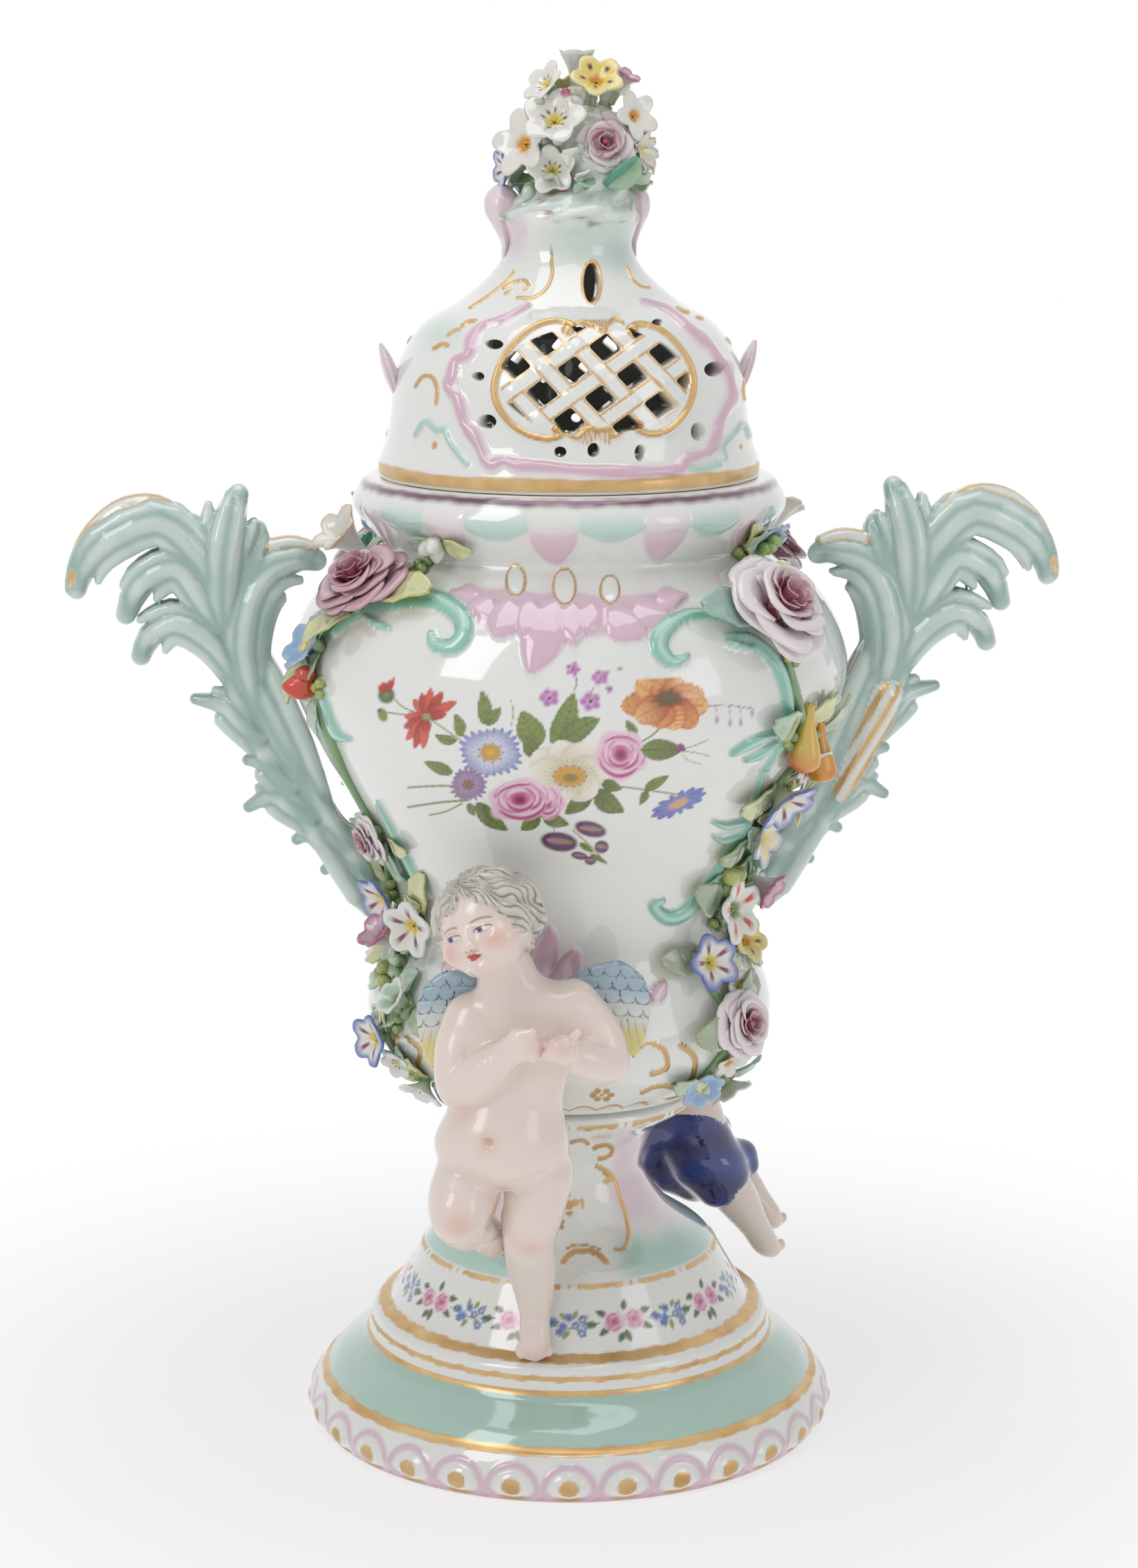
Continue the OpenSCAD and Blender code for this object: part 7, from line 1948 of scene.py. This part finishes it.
putti = {
    "front": {
        "turn": 0, "inward": 0.0, "head": (-24.4, -16.6, 146), "look": (26, 4, 24), "squat": 0.92,
        "step": 0.3,
        "torso": ((-19.4, -12, 63.4, 13, 9), (-19.6, -12.8, 67.4, 17.6, 12), (-20, -14.4, 72.6, 20, 14.2),
                  (-20.4, -15.6, 79, 20, 14.8), (-18.5, -13.4, 90, 16.8, 14.2),
                  (-15.5, -12.2, 104, 17.4, 13.2), (-14, -12, 115, 17.8, 11),
                  (-14.6, -12.4, 120.4, 15.6, 9.8), (-16.4, -12.8, 124.2, 11.6, 9.4),
                  (-18.2, -13.2, 128.6, 9.6, 9.2), (-20.6, -13.8, 134, 9.2, 9), (-22.6, -14, 140, 8.4, 8.4)),
        "swell": ((-21, -19.5, 78, 14, 11.4, 13), (-22.5, -17, 107, 9, 7.4, 8), (-7.5, -16.6, 109, 9, 7.4, 8),
                  (-4.6, -13, 119, 10, 8.6, 6.6), (1.2, -12.6, 115.6, 8.4, 8.2, 8.4),
                  (-29, -13, 112, 8.4, 8.2, 8.4), (-28, -7, 67, 9, 8, 9), (-11, -7, 67, 9, 8, 9)),
        "navel": (-24, -31.6, 81.5),
        "arms": (((-30, -13, 114.4, 7.6), (-33, -16.4, 105, 7.5), (-32.4, -21, 95.6, 7.0),
                  (-26, -25, 101, 6.7), (-18.5, -28.5, 108, 4.6), (-14.5, -30.5, 111, 4.9)),
                 ((1.4, -12, 118.6, 7.8), (8, -15.2, 111, 7.5), (11.2, -18.6, 103, 6.9),
                  (6.2, -24, 104.6, 6.4), (0.5, -28.5, 107.8, 4.5), (-1.5, -32, 110, 4.6))),
        "fingers": (((-10.6, -33.6, 114.4, 1.8), (-7.8, -31.4, 114, 1.5)),
                    ((-10.2, -33.9, 112.2, 1.8), (-7.4, -31.6, 112, 1.5)),
                    ((-10.3, -33.6, 110, 1.8), (-7.9, -31.2, 109.8, 1.5)),
                    ((-11, -32.8, 108, 1.6), (-8.8, -30.8, 107.8, 1.4)),
                    ((-15, -32.6, 115, 1.9), (-10.6, -34.2, 116.2, 1.4)),
                    ((-14, -31, 112.4, 4.6), (-11.4, -32, 111.2, 3.9)),
                    ((-0.6, -34.4, 112.6, 1.7), (2.6, -35.2, 116.6, 1.2)),
                    ((-2.6, -35.2, 113, 1.7), (-0.8, -37, 114.4, 1.4)),
                    ((-4.2, -35, 112, 1.7), (-3.4, -37, 113, 1.4)),
                    ((-5.2, -34.2, 110.4, 1.6), (-5, -36.2, 111.2, 1.4)),
                    ((-4.4, -33, 108.4, 1.9), (-6.8, -34.4, 109, 1.4)),
                    ((-1.2, -32.4, 110.4, 4.4), (-3.4, -33.8, 110.6, 3.8))),
        "legs": (((-8.8, -13, 66, 10.3), (-11.2, -12.4, 54, 9.6), (-12.2, -8.6, 43.5, 8),
                  (-11.6, -1.6, 33, 7.7), (-10.8, 4, 21, 5.9), (-10.6, 6.2, 13, 4.7), (-10.6, 4.6, 6.4, 4.9),
                  (-10.6, 4.2, 3.4, 4.0)),
                 ((-30, -14, 66, 10.5), (-32.4, -19.6, 60.4, 10.2), (-33, -24, 56, 8.6),
                  (-31.4, -18, 51, 7.5), (-28, -11, 48, 6.2), (-25, -4.6, 45.4, 4.6), (-24, -1, 41, 4.4),
                  (-24, 0.2, 38, 3.2))),
        "toes": toeRow((-10.6, 3.6, 1.9, 1.75), (2.1, 0, 0, -0.12), (0, 0.25, 0.35, 0))
        + toeRow((-24, 0.6, 36.4, 1.4), (1.7, 0, 0, 0), (0, 0, 0.5, 0)),
        # rosy blush on knees, elbows, hands and feet, and painted shade in the navel and the groin crease:
        # place, size, amount
        "blushAndCreaseShade": ((-24, -30, 81, 3.4, 0.5), (-12, -16, 45, 3.6, 0.7), (-33, -31, 56, 4, 0.6),
                  (-33, -26, 90, 4, 0.35), (14, -22, 94, 4, 0.35), (-10.6, 2, 2, 4, 0.4),
                  (-24, 0, 37, 4, 0.6),
                  (-9, -34, 112, 4, 0.35), (-2, -37, 113, 4, 0.3), (-20, -24, 64, 3.5, 0.35)),
        "wings": (("right_wing", (-18.6, -3.8, 111.2), -1), ("left_wing", (-3, -3, 114), 1)),
    },
    "rear": {
        "turn": 158, "inward": 2.7, "head": (6.4, -17, 130.2), "look": (-18, 2, -8), "squat": 0.94,
        "step": 0.42,
        "torso": ((-4, -12, 41, 17, 11), (-4, -12, 46.4, 19.4, 12.6), (-3, -14, 54, 20.4, 14),
                  (0, -16, 64, 20, 14.6), (5, -14.6, 76, 17.8, 14.4), (9, -13.4, 88, 17.8, 13.4),
                  (11, -13, 97, 17.2, 10.6),
                  (12, -13.6, 104.5, 10, 8.4), (11.4, -14.4, 112, 7.4, 7.4)),
        "swell": ((-1, -20, 63, 14, 11.4, 13), (3, -18.5, 91, 8.5, 7.4, 7), (18, -18, 92, 8.5, 7.4, 7),
                  (-12, -7, 51, 9, 8, 9), (4, -7, 51, 9, 8, 9)),
        "navel": (-2, -32, 66),
        "arms": (((-6, -13, 94, 7.4), (-10.6, -17, 87, 7.3), (-13.6, -21, 81.4, 7), (-8, -26, 85, 6.6),
                  (-1, -31, 89, 4.6), (2.5, -33, 91, 4.9)),
                 ((28, -13, 95, 7.4), (33.6, -15.6, 88.6, 7.3), (37.4, -18.4, 83.4, 6.8),
                  (33, -23.6, 87, 6.4), (28, -29, 91, 4.4), (25, -31.4, 92.6, 4.1))),
        "fingers": (((3.4, -34, 93.4, 1.8), (6.4, -35.4, 94, 1.4)),
                    ((4, -34.4, 91.4, 1.8), (7, -35.6, 92, 1.4)),
                    ((3.8, -34, 89.6, 1.8), (6.6, -35.2, 90, 1.4)),
                    ((0.5, -33.6, 93.6, 1.8), (2.6, -35, 96.6, 1.3)),
                    ((23.6, -34, 94.6, 1.7), (21.6, -35.6, 95.4, 1.3)),
                    ((22.8, -33.8, 92.8, 1.7), (20.6, -35.4, 93, 1.3)),
                    ((23.2, -33.4, 91, 1.7), (21.2, -35, 91, 1.3)),
                    ((26.2, -32.6, 95, 1.7), (26.4, -33.8, 98, 1.3))),
        "legs": (((-14, -10, 48, 10.8), (-22, -4, 36, 10), (-28, -2, 26, 8.6), (-34, -6, 16, 7.4),
                  (-39, -11, 5, 5.2), (-42, -14, -2, 4.6), (-43.4, -17, -5, 3.4)),
                 ((8, -14, 48, 10.8), (-5, -22, 35.5, 9.2), (-19, -23, 25, 8), (-29, -22.5, 17, 6.8),
                  (-36, -23.5, 9, 5), (-39.5, -24.5, 4.5, 4.5), (-41, -26, 2, 3.2))),
        "toes": toeRow((-44, -19, -6, 1.6), (0.6, 1.5, 0, 0), (0, 0, 0.4, 0))
        + toeRow((-42, -27, 1, 1.5), (0.6, 1.5, 0, 0), (0, 0, 0.4, 0)),
        # rosy blush on knees and feet, and painted shade in the navel: place, size, amount
        "blushAndCreaseShade": ((-2, -31, 66, 3.4, 0.5), (-28, -8, 26, 5, 0.4), (-12, -30, 30, 4, 0.5),
                  (-43, -17, -5, 4, 0.5), (-41, -27, 1, 4, 0.5)),
        "wings": (("right_wing", (6.4, -4.6, 97.2), -1), ("left_wing", (22, -4, 99.5), 1)),
    },
}
puttoBase = (0.0, -65.0, 38.6)


def placed(points, k):
    return (points + np.array(puttoBase) + np.array([0, k["inward"], 0])) @ axisTurn(k["turn"]).T


def figureTo(p, k):
    d = trunkTo(p, k["torso"])
    for s in k["swell"]:
        d = melt(d, ballTo(p, s[:3], np.array(s[3:])), 5.0)
    d = carve(d, ballTo(p, k["navel"], np.array([1.6, 2.2, 1.2])), 1.4)
    d = melt(d, melt(limbTo(p, k["legs"][0]), limbTo(p, k["legs"][1]), 0.8), 1.8)
    for toe in k["toes"]:
        d = melt(d, ballTo(p, toe[:3], np.array([1.0, 1.1, 1.3]) * toe[3]), 0.7)
    for arm in k["arms"]:
        d = melt(d, limbTo(p, arm), 1.6)
    for a, b in k["fingers"]:
        d = melt(d, rodTo(p, a, b), 0.6)
    return d


def turnedHead(look):
    yaw, pitch, roll = look[0], math.radians(look[1]), math.radians(look[2])
    ry = np.array([[math.cos(roll), 0, -math.sin(roll)], [0, 1, 0], [math.sin(roll), 0, math.cos(roll)]])
    rx = np.array([[1, 0, 0], [0, math.cos(pitch), math.sin(pitch)], [0, -math.sin(pitch), math.cos(pitch)]])
    return axisTurn(-yaw) @ ry @ rx


face = {"eyeX": 5.3, "eyeZ": -2.6, "lipZ": -10.0}


def headTo(q):
    d = ballTo(q, (0, 1.2, 1.4), np.array([15.0, 15.2, 13.8]))
    d = melt(d, ballTo(q, (0, -3.2, -7), np.array([12.6, 11.2, 9.2])), 5.0)
    d = melt(d, ballTo(q, (0, -5, -13.6), np.array([8.6, 7.4, 4.2])), 3.0)
    x, z = face["eyeX"], face["eyeZ"]
    for s in (-1, 1):
        d = melt(d, ballTo(q, (s * 7.0, -8.4, -7.2), np.array([5.4, 5.2, 5.0])), 3.0)
        d = carve(d, ballTo(q, (s * x, -15.8, z + 0.2), np.array([3.4, 2.4, 2.0])), 2.2)
        d = melt(d, ballTo(q, (s * x, -11.6, z), np.array([2.9, 2.3, 2.0])), 0.5)
        d = melt(d, rodTo(q, (s * 2.6, -13.9, z + 1.5, 0.5), (s * 7.8, -12.2, z + 1.4, 0.4)), 0.9)
        d = melt(d, ballTo(q, (s * 1.35, -14.9, -7.0), np.array([1.1, 1.3, 0.9])), 0.9)
        d = melt(d, ballTo(q, (s * 1.0, -14.4, face["lipZ"] + 0.55), np.array([1.5, 1.0, 0.65])), 0.7)
        d = melt(d, ballTo(q, (s * 14.6, 1.5, -4.0), np.array([1.6, 2.8, 3.6])), 1.2)
    d = melt(d, rodTo(q, (0, -14.0, -1.6, 0.8), (0, -15.7, -6.2, 1.45)), 2.0)
    d = melt(d, ballTo(q, (0, -14.2, face["lipZ"] - 0.8), np.array([1.5, 1.1, 0.75])), 0.7)
    return melt(d, ballTo(q, (0, -11.6, -14.4), np.array([3.4, 3.0, 2.4])), 2.5)


def hairAt(q):
    # locks part over the forehead and fall to both sides
    x, y, z = q.T
    wave = 0.5 * np.sin(1.1 * z + 2 * np.sign(x)) + 0.35 * np.sin(2.3 * z)
    wide = np.interp(z, [-16, -6, -1.4, 3.2, 7, 9.8, 12], [13.4, 12.9, 11.8, 8.8, 4.8, 1.0, 0])
    cover = (ease(-0.5, 0.9, np.maximum(np.abs(x) - wide + wave * 0.9, y - 0.5))
             * ease(-13.5, -11, z + 0.8 * np.sin(1.4 * x)))
    cover = np.maximum(cover, ease(1.15, 0.75, np.hypot((x + 4.2) / 4.6, (z - 8.2) / 3.4)) * (y < 0))
    part = unit(np.array([0, -0.55, 0.83]))
    other = np.cross(part, [1.0, 0, 0])
    phi = np.arctan2(x, q @ other)
    down = np.arccos(np.clip(unit(q) @ part, -1, 1))
    strand = np.cos(40 * phi + 4.0 * np.sin(5.5 * down + 1.5 * np.sin(5 * phi)))
    lock = np.cos(9 * phi + 2.2 * np.sin(5.5 * down + np.sin(3 * phi)))
    return cover, strand, lock


def facePaint(q, cover, strand, lock):
    x, y, z = q.T
    front = ease(-4, -9, y)
    side = np.abs(x)
    tone = np.tile(skin, (len(q), 1))

    def over(mask, colour):
        tone[:] = mix(tone, colour, np.clip(mask * front, 0, 1)[:, None])

    over(0.62 * np.exp(-((side - 8.2) / 4.2) ** 2 - ((z + 7.0) / 3.6) ** 2), blushAndCreaseShade)
    over(0.25 * np.exp(-((side - 5.3) / 3.6) ** 2 - ((z - 0.6) / 1.4) ** 2), blushAndCreaseShade)
    over(0.3 * np.exp(-(x / 3) ** 2 - ((z + 15.4) / 2) ** 2), blushAndCreaseShade)
    ex, ez = side - face["eyeX"], z - face["eyeZ"]
    lid = 1.0 * np.sqrt(np.clip(1 - (ex / 2.9) ** 2, 0, 1))
    over(ease(0.12, -0.12, np.maximum(ez - lid * 0.85, -lid * 0.75 - ez)) * (np.abs(ex) < 2.9),
         paint(238, 236, 230))
    gaze = ex + 0.8 * np.sign(x)
    eye = ease(0.12, -0.12, np.maximum(np.hypot(gaze, ez * 0.9) - 1.05,
                                       np.maximum(ez - lid * 0.85, -lid * 0.75 - ez)))
    over(eye, paint(96, 118, 172))
    over(eye * ease(0.75, 0.45, np.hypot(gaze, ez * 0.9)), paint(44, 48, 78))
    over(ease(0.34, 0.1, np.abs(ez - lid * 0.95)) * (np.abs(ex) < 3.1), paint(104, 86, 78))
    over(0.55 * ease(0.3, 0.08, np.abs(ez - lid * 0.95 - 0.95)) * (np.abs(ex) < 2.8), paint(206, 140, 124))
    over(0.35 * ease(0.3, 0.08, np.abs(ez + lid * 0.8)) * (np.abs(ex) < 2.6), paint(190, 130, 116))
    brow = 3.5 + 0.9 * np.cos((side - 5.0) / 3.4 * 1.4) - 0.9
    over(0.8 * ease(0.5, 0.18, np.abs(ez - brow)) * ease(1.9, 2.7, side) * ease(9.2, 8.0, side),
         paint(146, 132, 122))
    over(0.9 * ease(0.5, 0.25, np.hypot(side - 0.95, (z + 7.9) * 1.2)), paint(190, 84, 70))
    lx, lz = side / 2.35, z - face["lipZ"]
    upper = lz - 0.95 * (1 - lx ** 2) * (0.72 + 0.35 * np.sin(math.pi * np.clip(lx, 0, 1)))
    lower = -lz - 1.35 * np.sqrt(np.clip(1 - (lx / 0.82) ** 2, 0, 1))
    over(ease(0.14, -0.1, np.maximum(upper, lower)) * (side < 2.4), paint(198, 62, 50))
    over(0.6 * ease(0.16, 0.05, np.abs(lz)) * (side < 2.2), paint(130, 30, 34))
    grey = mix(hairTone, hairLine, (0.8 * ease(-0.6, -0.97, strand)
                                    + 0.2 * ease(-0.2, -1, lock))[:, None].clip(0, 1))
    edge = cover * ease(0.9, 0.35, cover)
    return mix(mix(tone, grey, ease(0.25, 0.6, cover)[:, None]), hairLine, (0.35 * edge)[:, None])


def makePutto(name, k):
    spread = np.array([p[:3] for leg in k["legs"] for p in leg] + [p[:3] for arm in k["arms"] for p in arm]
                      + [p[:3] for p in k["torso"]])
    low, high = spread.min(0) - [12, 12, 6], spread.max(0) + [14, 16, 6]
    form = lambda p: figureTo(p, k)
    points, quads = skinned(form, low, high, 0.8)
    tone = np.tile(skin, (len(points), 1))
    # rosy blush on the joints, hands and feet, and painted shade in the navel and groin crease
    for x, y, z, r, amount in k["blushAndCreaseShade"]:
        tone = mix(tone, blushAndCreaseShade, (amount * np.exp(-(((points - [x, y, z]) / r) ** 2).sum(-1)))[:, None])
    parts = [name + "_" + part for part in ("torso", "right_arm", "left_arm", "right_leg", "left_leg")]
    piece(name + "_figure", placed(points, k), quads, [], "vase", "flesh_porcelain", parts, finish["flesh"],
          tone)
    q, quads = skinned(headTo, (-19, -19, -19.5), (19, 19, 19), k["step"])
    cover, strand, lock = hairAt(q)
    normal = unit(slopeOf(headTo, q, 0.1))
    tone = facePaint(q, cover, strand, lock)
    q = q + normal * (ease(0.1, 0.75, cover) * (1.5 + 0.3 * strand + 0.75 * lock))[:, None]
    turned = np.array(k["head"]) + (q * [1, 1, k["squat"]]) @ turnedHead(k["look"]).T
    piece(name + "_head", placed(turned, k), quads, [], "vase", "flesh_porcelain", [name + "_head"],
          finish["flesh"], tone)
    for part, root, side in k["wings"]:
        makeWing(name + "_" + part, np.array(root), side, k)


wing = {
    "rows": ((17, 0.9, 14.5, 2), (15.6, 0.8, 13, 6.4), (14.4, 0.5, 10.6, 10.6), (13.3, 0.2, 7, 13.4),
             (13.8, -0.2, 2, 13.6), (15.4, -0.8, -4, 11.4), (18, -1.5, -8.6, 7.4), (20.2, -2, -11.6, 4),
             (21.2, -2.2, -13, 1.2)),
    "thick": 2.6, "pitch": 4.0, "wide": 4.6, "quill": 2.8,
    "blue": paint(164, 188, 203), "pale": paint(224, 226, 221), "yellow": paint(226, 213, 142),
    "line": paint(88, 82, 80),
}


def makeWing(name, root, side, figure):
    k = wing
    rows = respaced(curve(k["rows"], 10), lambda p: 0.3 + 0 * p[:, 0])
    u = np.linspace(-1, 1, 84)
    x, z = rows[:, :1] + u * rows[:, 3:4], rows[:, 2:3] + 0 * u
    r = (14.5 - z) / k["pitch"] - 0.25 * u ** 2
    column = (x / k["wide"] + 0.5 * (np.floor(r) % 2)) % 1 - 0.5
    arc = 0.1 + 0.82 * np.sqrt(np.clip(1 - (2 * column) ** 2, 0, 1))
    f = r % 1
    scale = ease(0.13, 0.04, np.abs(f - arc)) * ease(4.3, 3.9, r) * ease(0.5, 1.0, r)
    lean = x - 15 + 0.32 * (z + 13) * np.tanh((x - 17) / 8)
    quillGap = np.abs((lean / k["quill"]) % 1 - 0.5)
    quill = ease(0.1, 0.04, quillGap) * ease(3.9, 4.5, r)
    height = (0.45 * np.where(r < 4.1, np.where(f < arc, 1 - f * 0.6, 0.2),
                              0.5 + 0.5 * np.sqrt(np.clip(1 - (1 - 2 * quillGap) ** 2, 0, 1))))
    tone = mix(k["blue"], k["pale"], ease(1.4, 3.8, r)[..., None])
    tone = mix(tone, k["yellow"], ease(3.9, 5.4, r)[..., None])
    tone = mix(tone, k["line"], (0.85 * np.maximum(scale, 0.8 * quill))[..., None])
    edge = np.sqrt(np.clip(1 - np.abs(u) ** 6, 0, 1))
    bow = rows[:, 1:2] + 1.6 * u ** 2 * 0.6
    grid = np.stack([x * side, bow + 0 * x, z], -1) + root
    grid[..., 1] -= height * edge
    heap = Heap()
    heap.sheet(grid[:, ::-1] if side > 0 else grid, k["thick"] * (0.35 + 0.65 * edge) + 0 * x,
               tone[:, ::-1] if side > 0 else tone, k["pale"])
    heap.points = [placed(p, figure) for p in heap.points]
    heap.make(name, "vase", "wing_porcelain", finish["wing"])


# cobalt, with a darker cobalt painted as shade in the fold troughs and a paler cobalt painted as light on the
# crests
drapery = {"cobalt": paint(32, 48, 132), "deep": paint(16, 24, 80), "light": paint(58, 82, 176),
           "stops": ((-9, -4.6, 36, 11), (-16, -5.2, 36, 12.6), (-21, -3.6, 33, 13), (-26, -2.4, 27.5, 12),
                     (-29, -3, 23.5, 10.6)),
           "knots": ((-25, -13.5, 37, 4.6), (-34, -11.5, 30, 4.8), (-36.5, -12, 25, 3.4), (-17, -16, 36, 4.4),
                     (-10, -6, 26, 10.4), (-18, -7, 21.5, 9.6)),
           "thigh": ((-14, -10, 50, 9.6), (-22, -4, 36, 9.2), (-28, -2, 26, 8.0), (-34, -6, 16, 7.0))}


def makeDrapery(figure):
    k = drapery

    def fold(p):
        # long folds that sag round the thigh
        fall = p[:, 2] + 0.34 * p[:, 0] + 0.02 * (p[:, 0] + 22) ** 2 - 0.1 * p[:, 1]
        return (np.cos(0.8 * fall + 1.4 * np.sin(0.17 * p[:, 0] + 0.1 * p[:, 1])),
                np.cos(0.36 * fall + 0.08 * p[:, 0] + 1.2))

    def form(p):
        d = limbTo(p, k["stops"])
        for knot in k["knots"]:
            d = melt(d, ballTo(p, knot[:3], knot[3]), 3.5)
        small, large = fold(p)
        return carve(d - 0.09 * small - 0.45 * large, limbTo(p, k["thigh"]), 0.6)

    points, quads = skinned(form, (-44, -26, 8), (2, 16, 56), 0.7)
    # painted shade and painted light: the cobalt darkens in the troughs of the long folds and pales on their
    # crests
    wave = fold(points)[1]
    tone = mix(mix(k["cobalt"], k["deep"], (0.6 * ease(0.1, -0.95, wave))[:, None]), k["light"],
               (0.3 * ease(0.5, 1.0, wave))[:, None])
    piece("rear_putto_drapery", placed(points, figure), quads, [], "vase", "blue_porcelain",
          ["rear_putto_drapery"], finish["cobalt"], tone)


makePutto("front_putto", putti["front"])
makePutto("rear_putto", putti["rear"])
makeDrapery(putti["rear"])
print("putti made")


# inner fastenings keep their own shapes
inner = {"cork": cork("corkPacking"), "steel": dullSteel("dullSteel")}
for node in ("tie_rod", "upper_washer", "upper_nut", "lower_washer", "lower_nut", "packing_ring"):
    mesh = frame["nodes"][node].data
    mesh.materials.clear()
    mesh.materials.append(inner["cork" if node == "packing_ring" else "steel"])
print("fastenings finished")


# stage
stageLook = {
    "floorReach": 3.0, "clear": 0.1, "fade": 0.34, "glow": 0.62, "worldLight": 0.36, "lens": 78.85,
    "sensor": 36.0, "farEnd": 20,
    # place, aim, size and power of the lamps
    "keyLamp": ((-0.9, -0.9, 1.15), (0, 0, 0.24), (0.5, 0.9), 4.9),
    "fillLamp": ((1.05, -0.8, 0.6), (0, 0, 0.22), (0.45, 0.8), 1.5),
    "topLamp": ((-0.05, -0.1, 1.3), (0, 0, 0.3), (0.8, 0.8), 3.6),
}


def makeStage():
    look = stageLook
    mesh = bpy.data.meshes.new("floor")
    reach = look["floorReach"]
    mesh.from_pydata([(-reach, -reach, 0), (reach, -reach, 0), (reach, reach, 0), (-reach, reach, 0)], [],
                     [(0, 1, 2, 3)])
    floor = bpy.data.objects.new("floor", mesh)
    bpy.context.scene.collection.objects.link(floor)
    material, w, bsdf = shader("paleFloor")
    feed(w.tree, bsdf, {"Base Color": rgba(paint(246, 246, 246)), "Roughness": 0.8,
                        "Specular IOR Level": 0.1})
    far = w.add("ShaderNodeVectorMath", {"operation": "LENGTH"}, {0: w.place()}, "Value")
    opened = w.add("ShaderNodeMapRange", {"interpolation_type": "SMOOTHSTEP"},
                   {0: far, 1: look["clear"], 2: look["fade"], 3: look["glow"], 4: 1.0})
    light = w.add("ShaderNodeEmission", {}, {"Color": (1, 1, 1, 1), "Strength": 1.0})
    out = w.tree.nodes["Material Output"]
    mixed = w.add("ShaderNodeMixShader", {}, {0: opened, 1: Wire(w.tree, bsdf.outputs[0]), 2: light})
    w.tree.links.new(mixed.socket, out.inputs[0])
    mesh.materials.append(material)
    world = bpy.data.worlds.new("studio")
    bpy.context.scene.world = world
    world.use_nodes = True
    w = Wire(world.node_tree)
    path = world.node_tree.nodes.new("ShaderNodeLightPath")
    seen = Wire(world.node_tree, path.outputs["Is Camera Ray"])
    for ray in ("Is Glossy Ray", "Is Transmission Ray"):
        seen = seen.sum("MAXIMUM", seen, Wire(world.node_tree, path.outputs[ray]))
    feed(w.tree, w.tree.nodes["Background"],
         {"Strength": w.remap(seen, bottom=look["worldLight"]), "Color": (1, 1, 1, 1)})
    for name in ("keyLamp", "fillLamp", "topLamp"):
        place, aim, size, power = look[name]
        data = bpy.data.lights.new(name, "AREA")
        data.shape = "RECTANGLE"
        data.size, data.size_y = size
        data.energy = power
        lamp = bpy.data.objects.new(name, data)
        d = np.array(aim) - np.array(place)
        lamp.location = place
        lamp.rotation_euler = (math.acos(-d[2] / np.linalg.norm(d)), 0, math.atan2(d[1], d[0]) - math.pi / 2)
        bpy.context.scene.collection.objects.link(lamp)
    data = bpy.data.cameras.new("camera")
    data.lens, data.sensor_width, data.clip_end = look["lens"], look["sensor"], look["farEnd"]
    eye = bpy.data.objects.new("camera", data)
    eye.location = (0, -sheet["distance"] * mm, sheet["height"] * mm)
    eye.rotation_euler = (math.pi / 2 - sheet["pitch"], 0, 0)
    bpy.context.scene.collection.objects.link(eye)
    bpy.context.scene.camera = eye
    bpy.context.scene.view_settings.view_transform = "Standard"
    print("stage set")


makeStage()
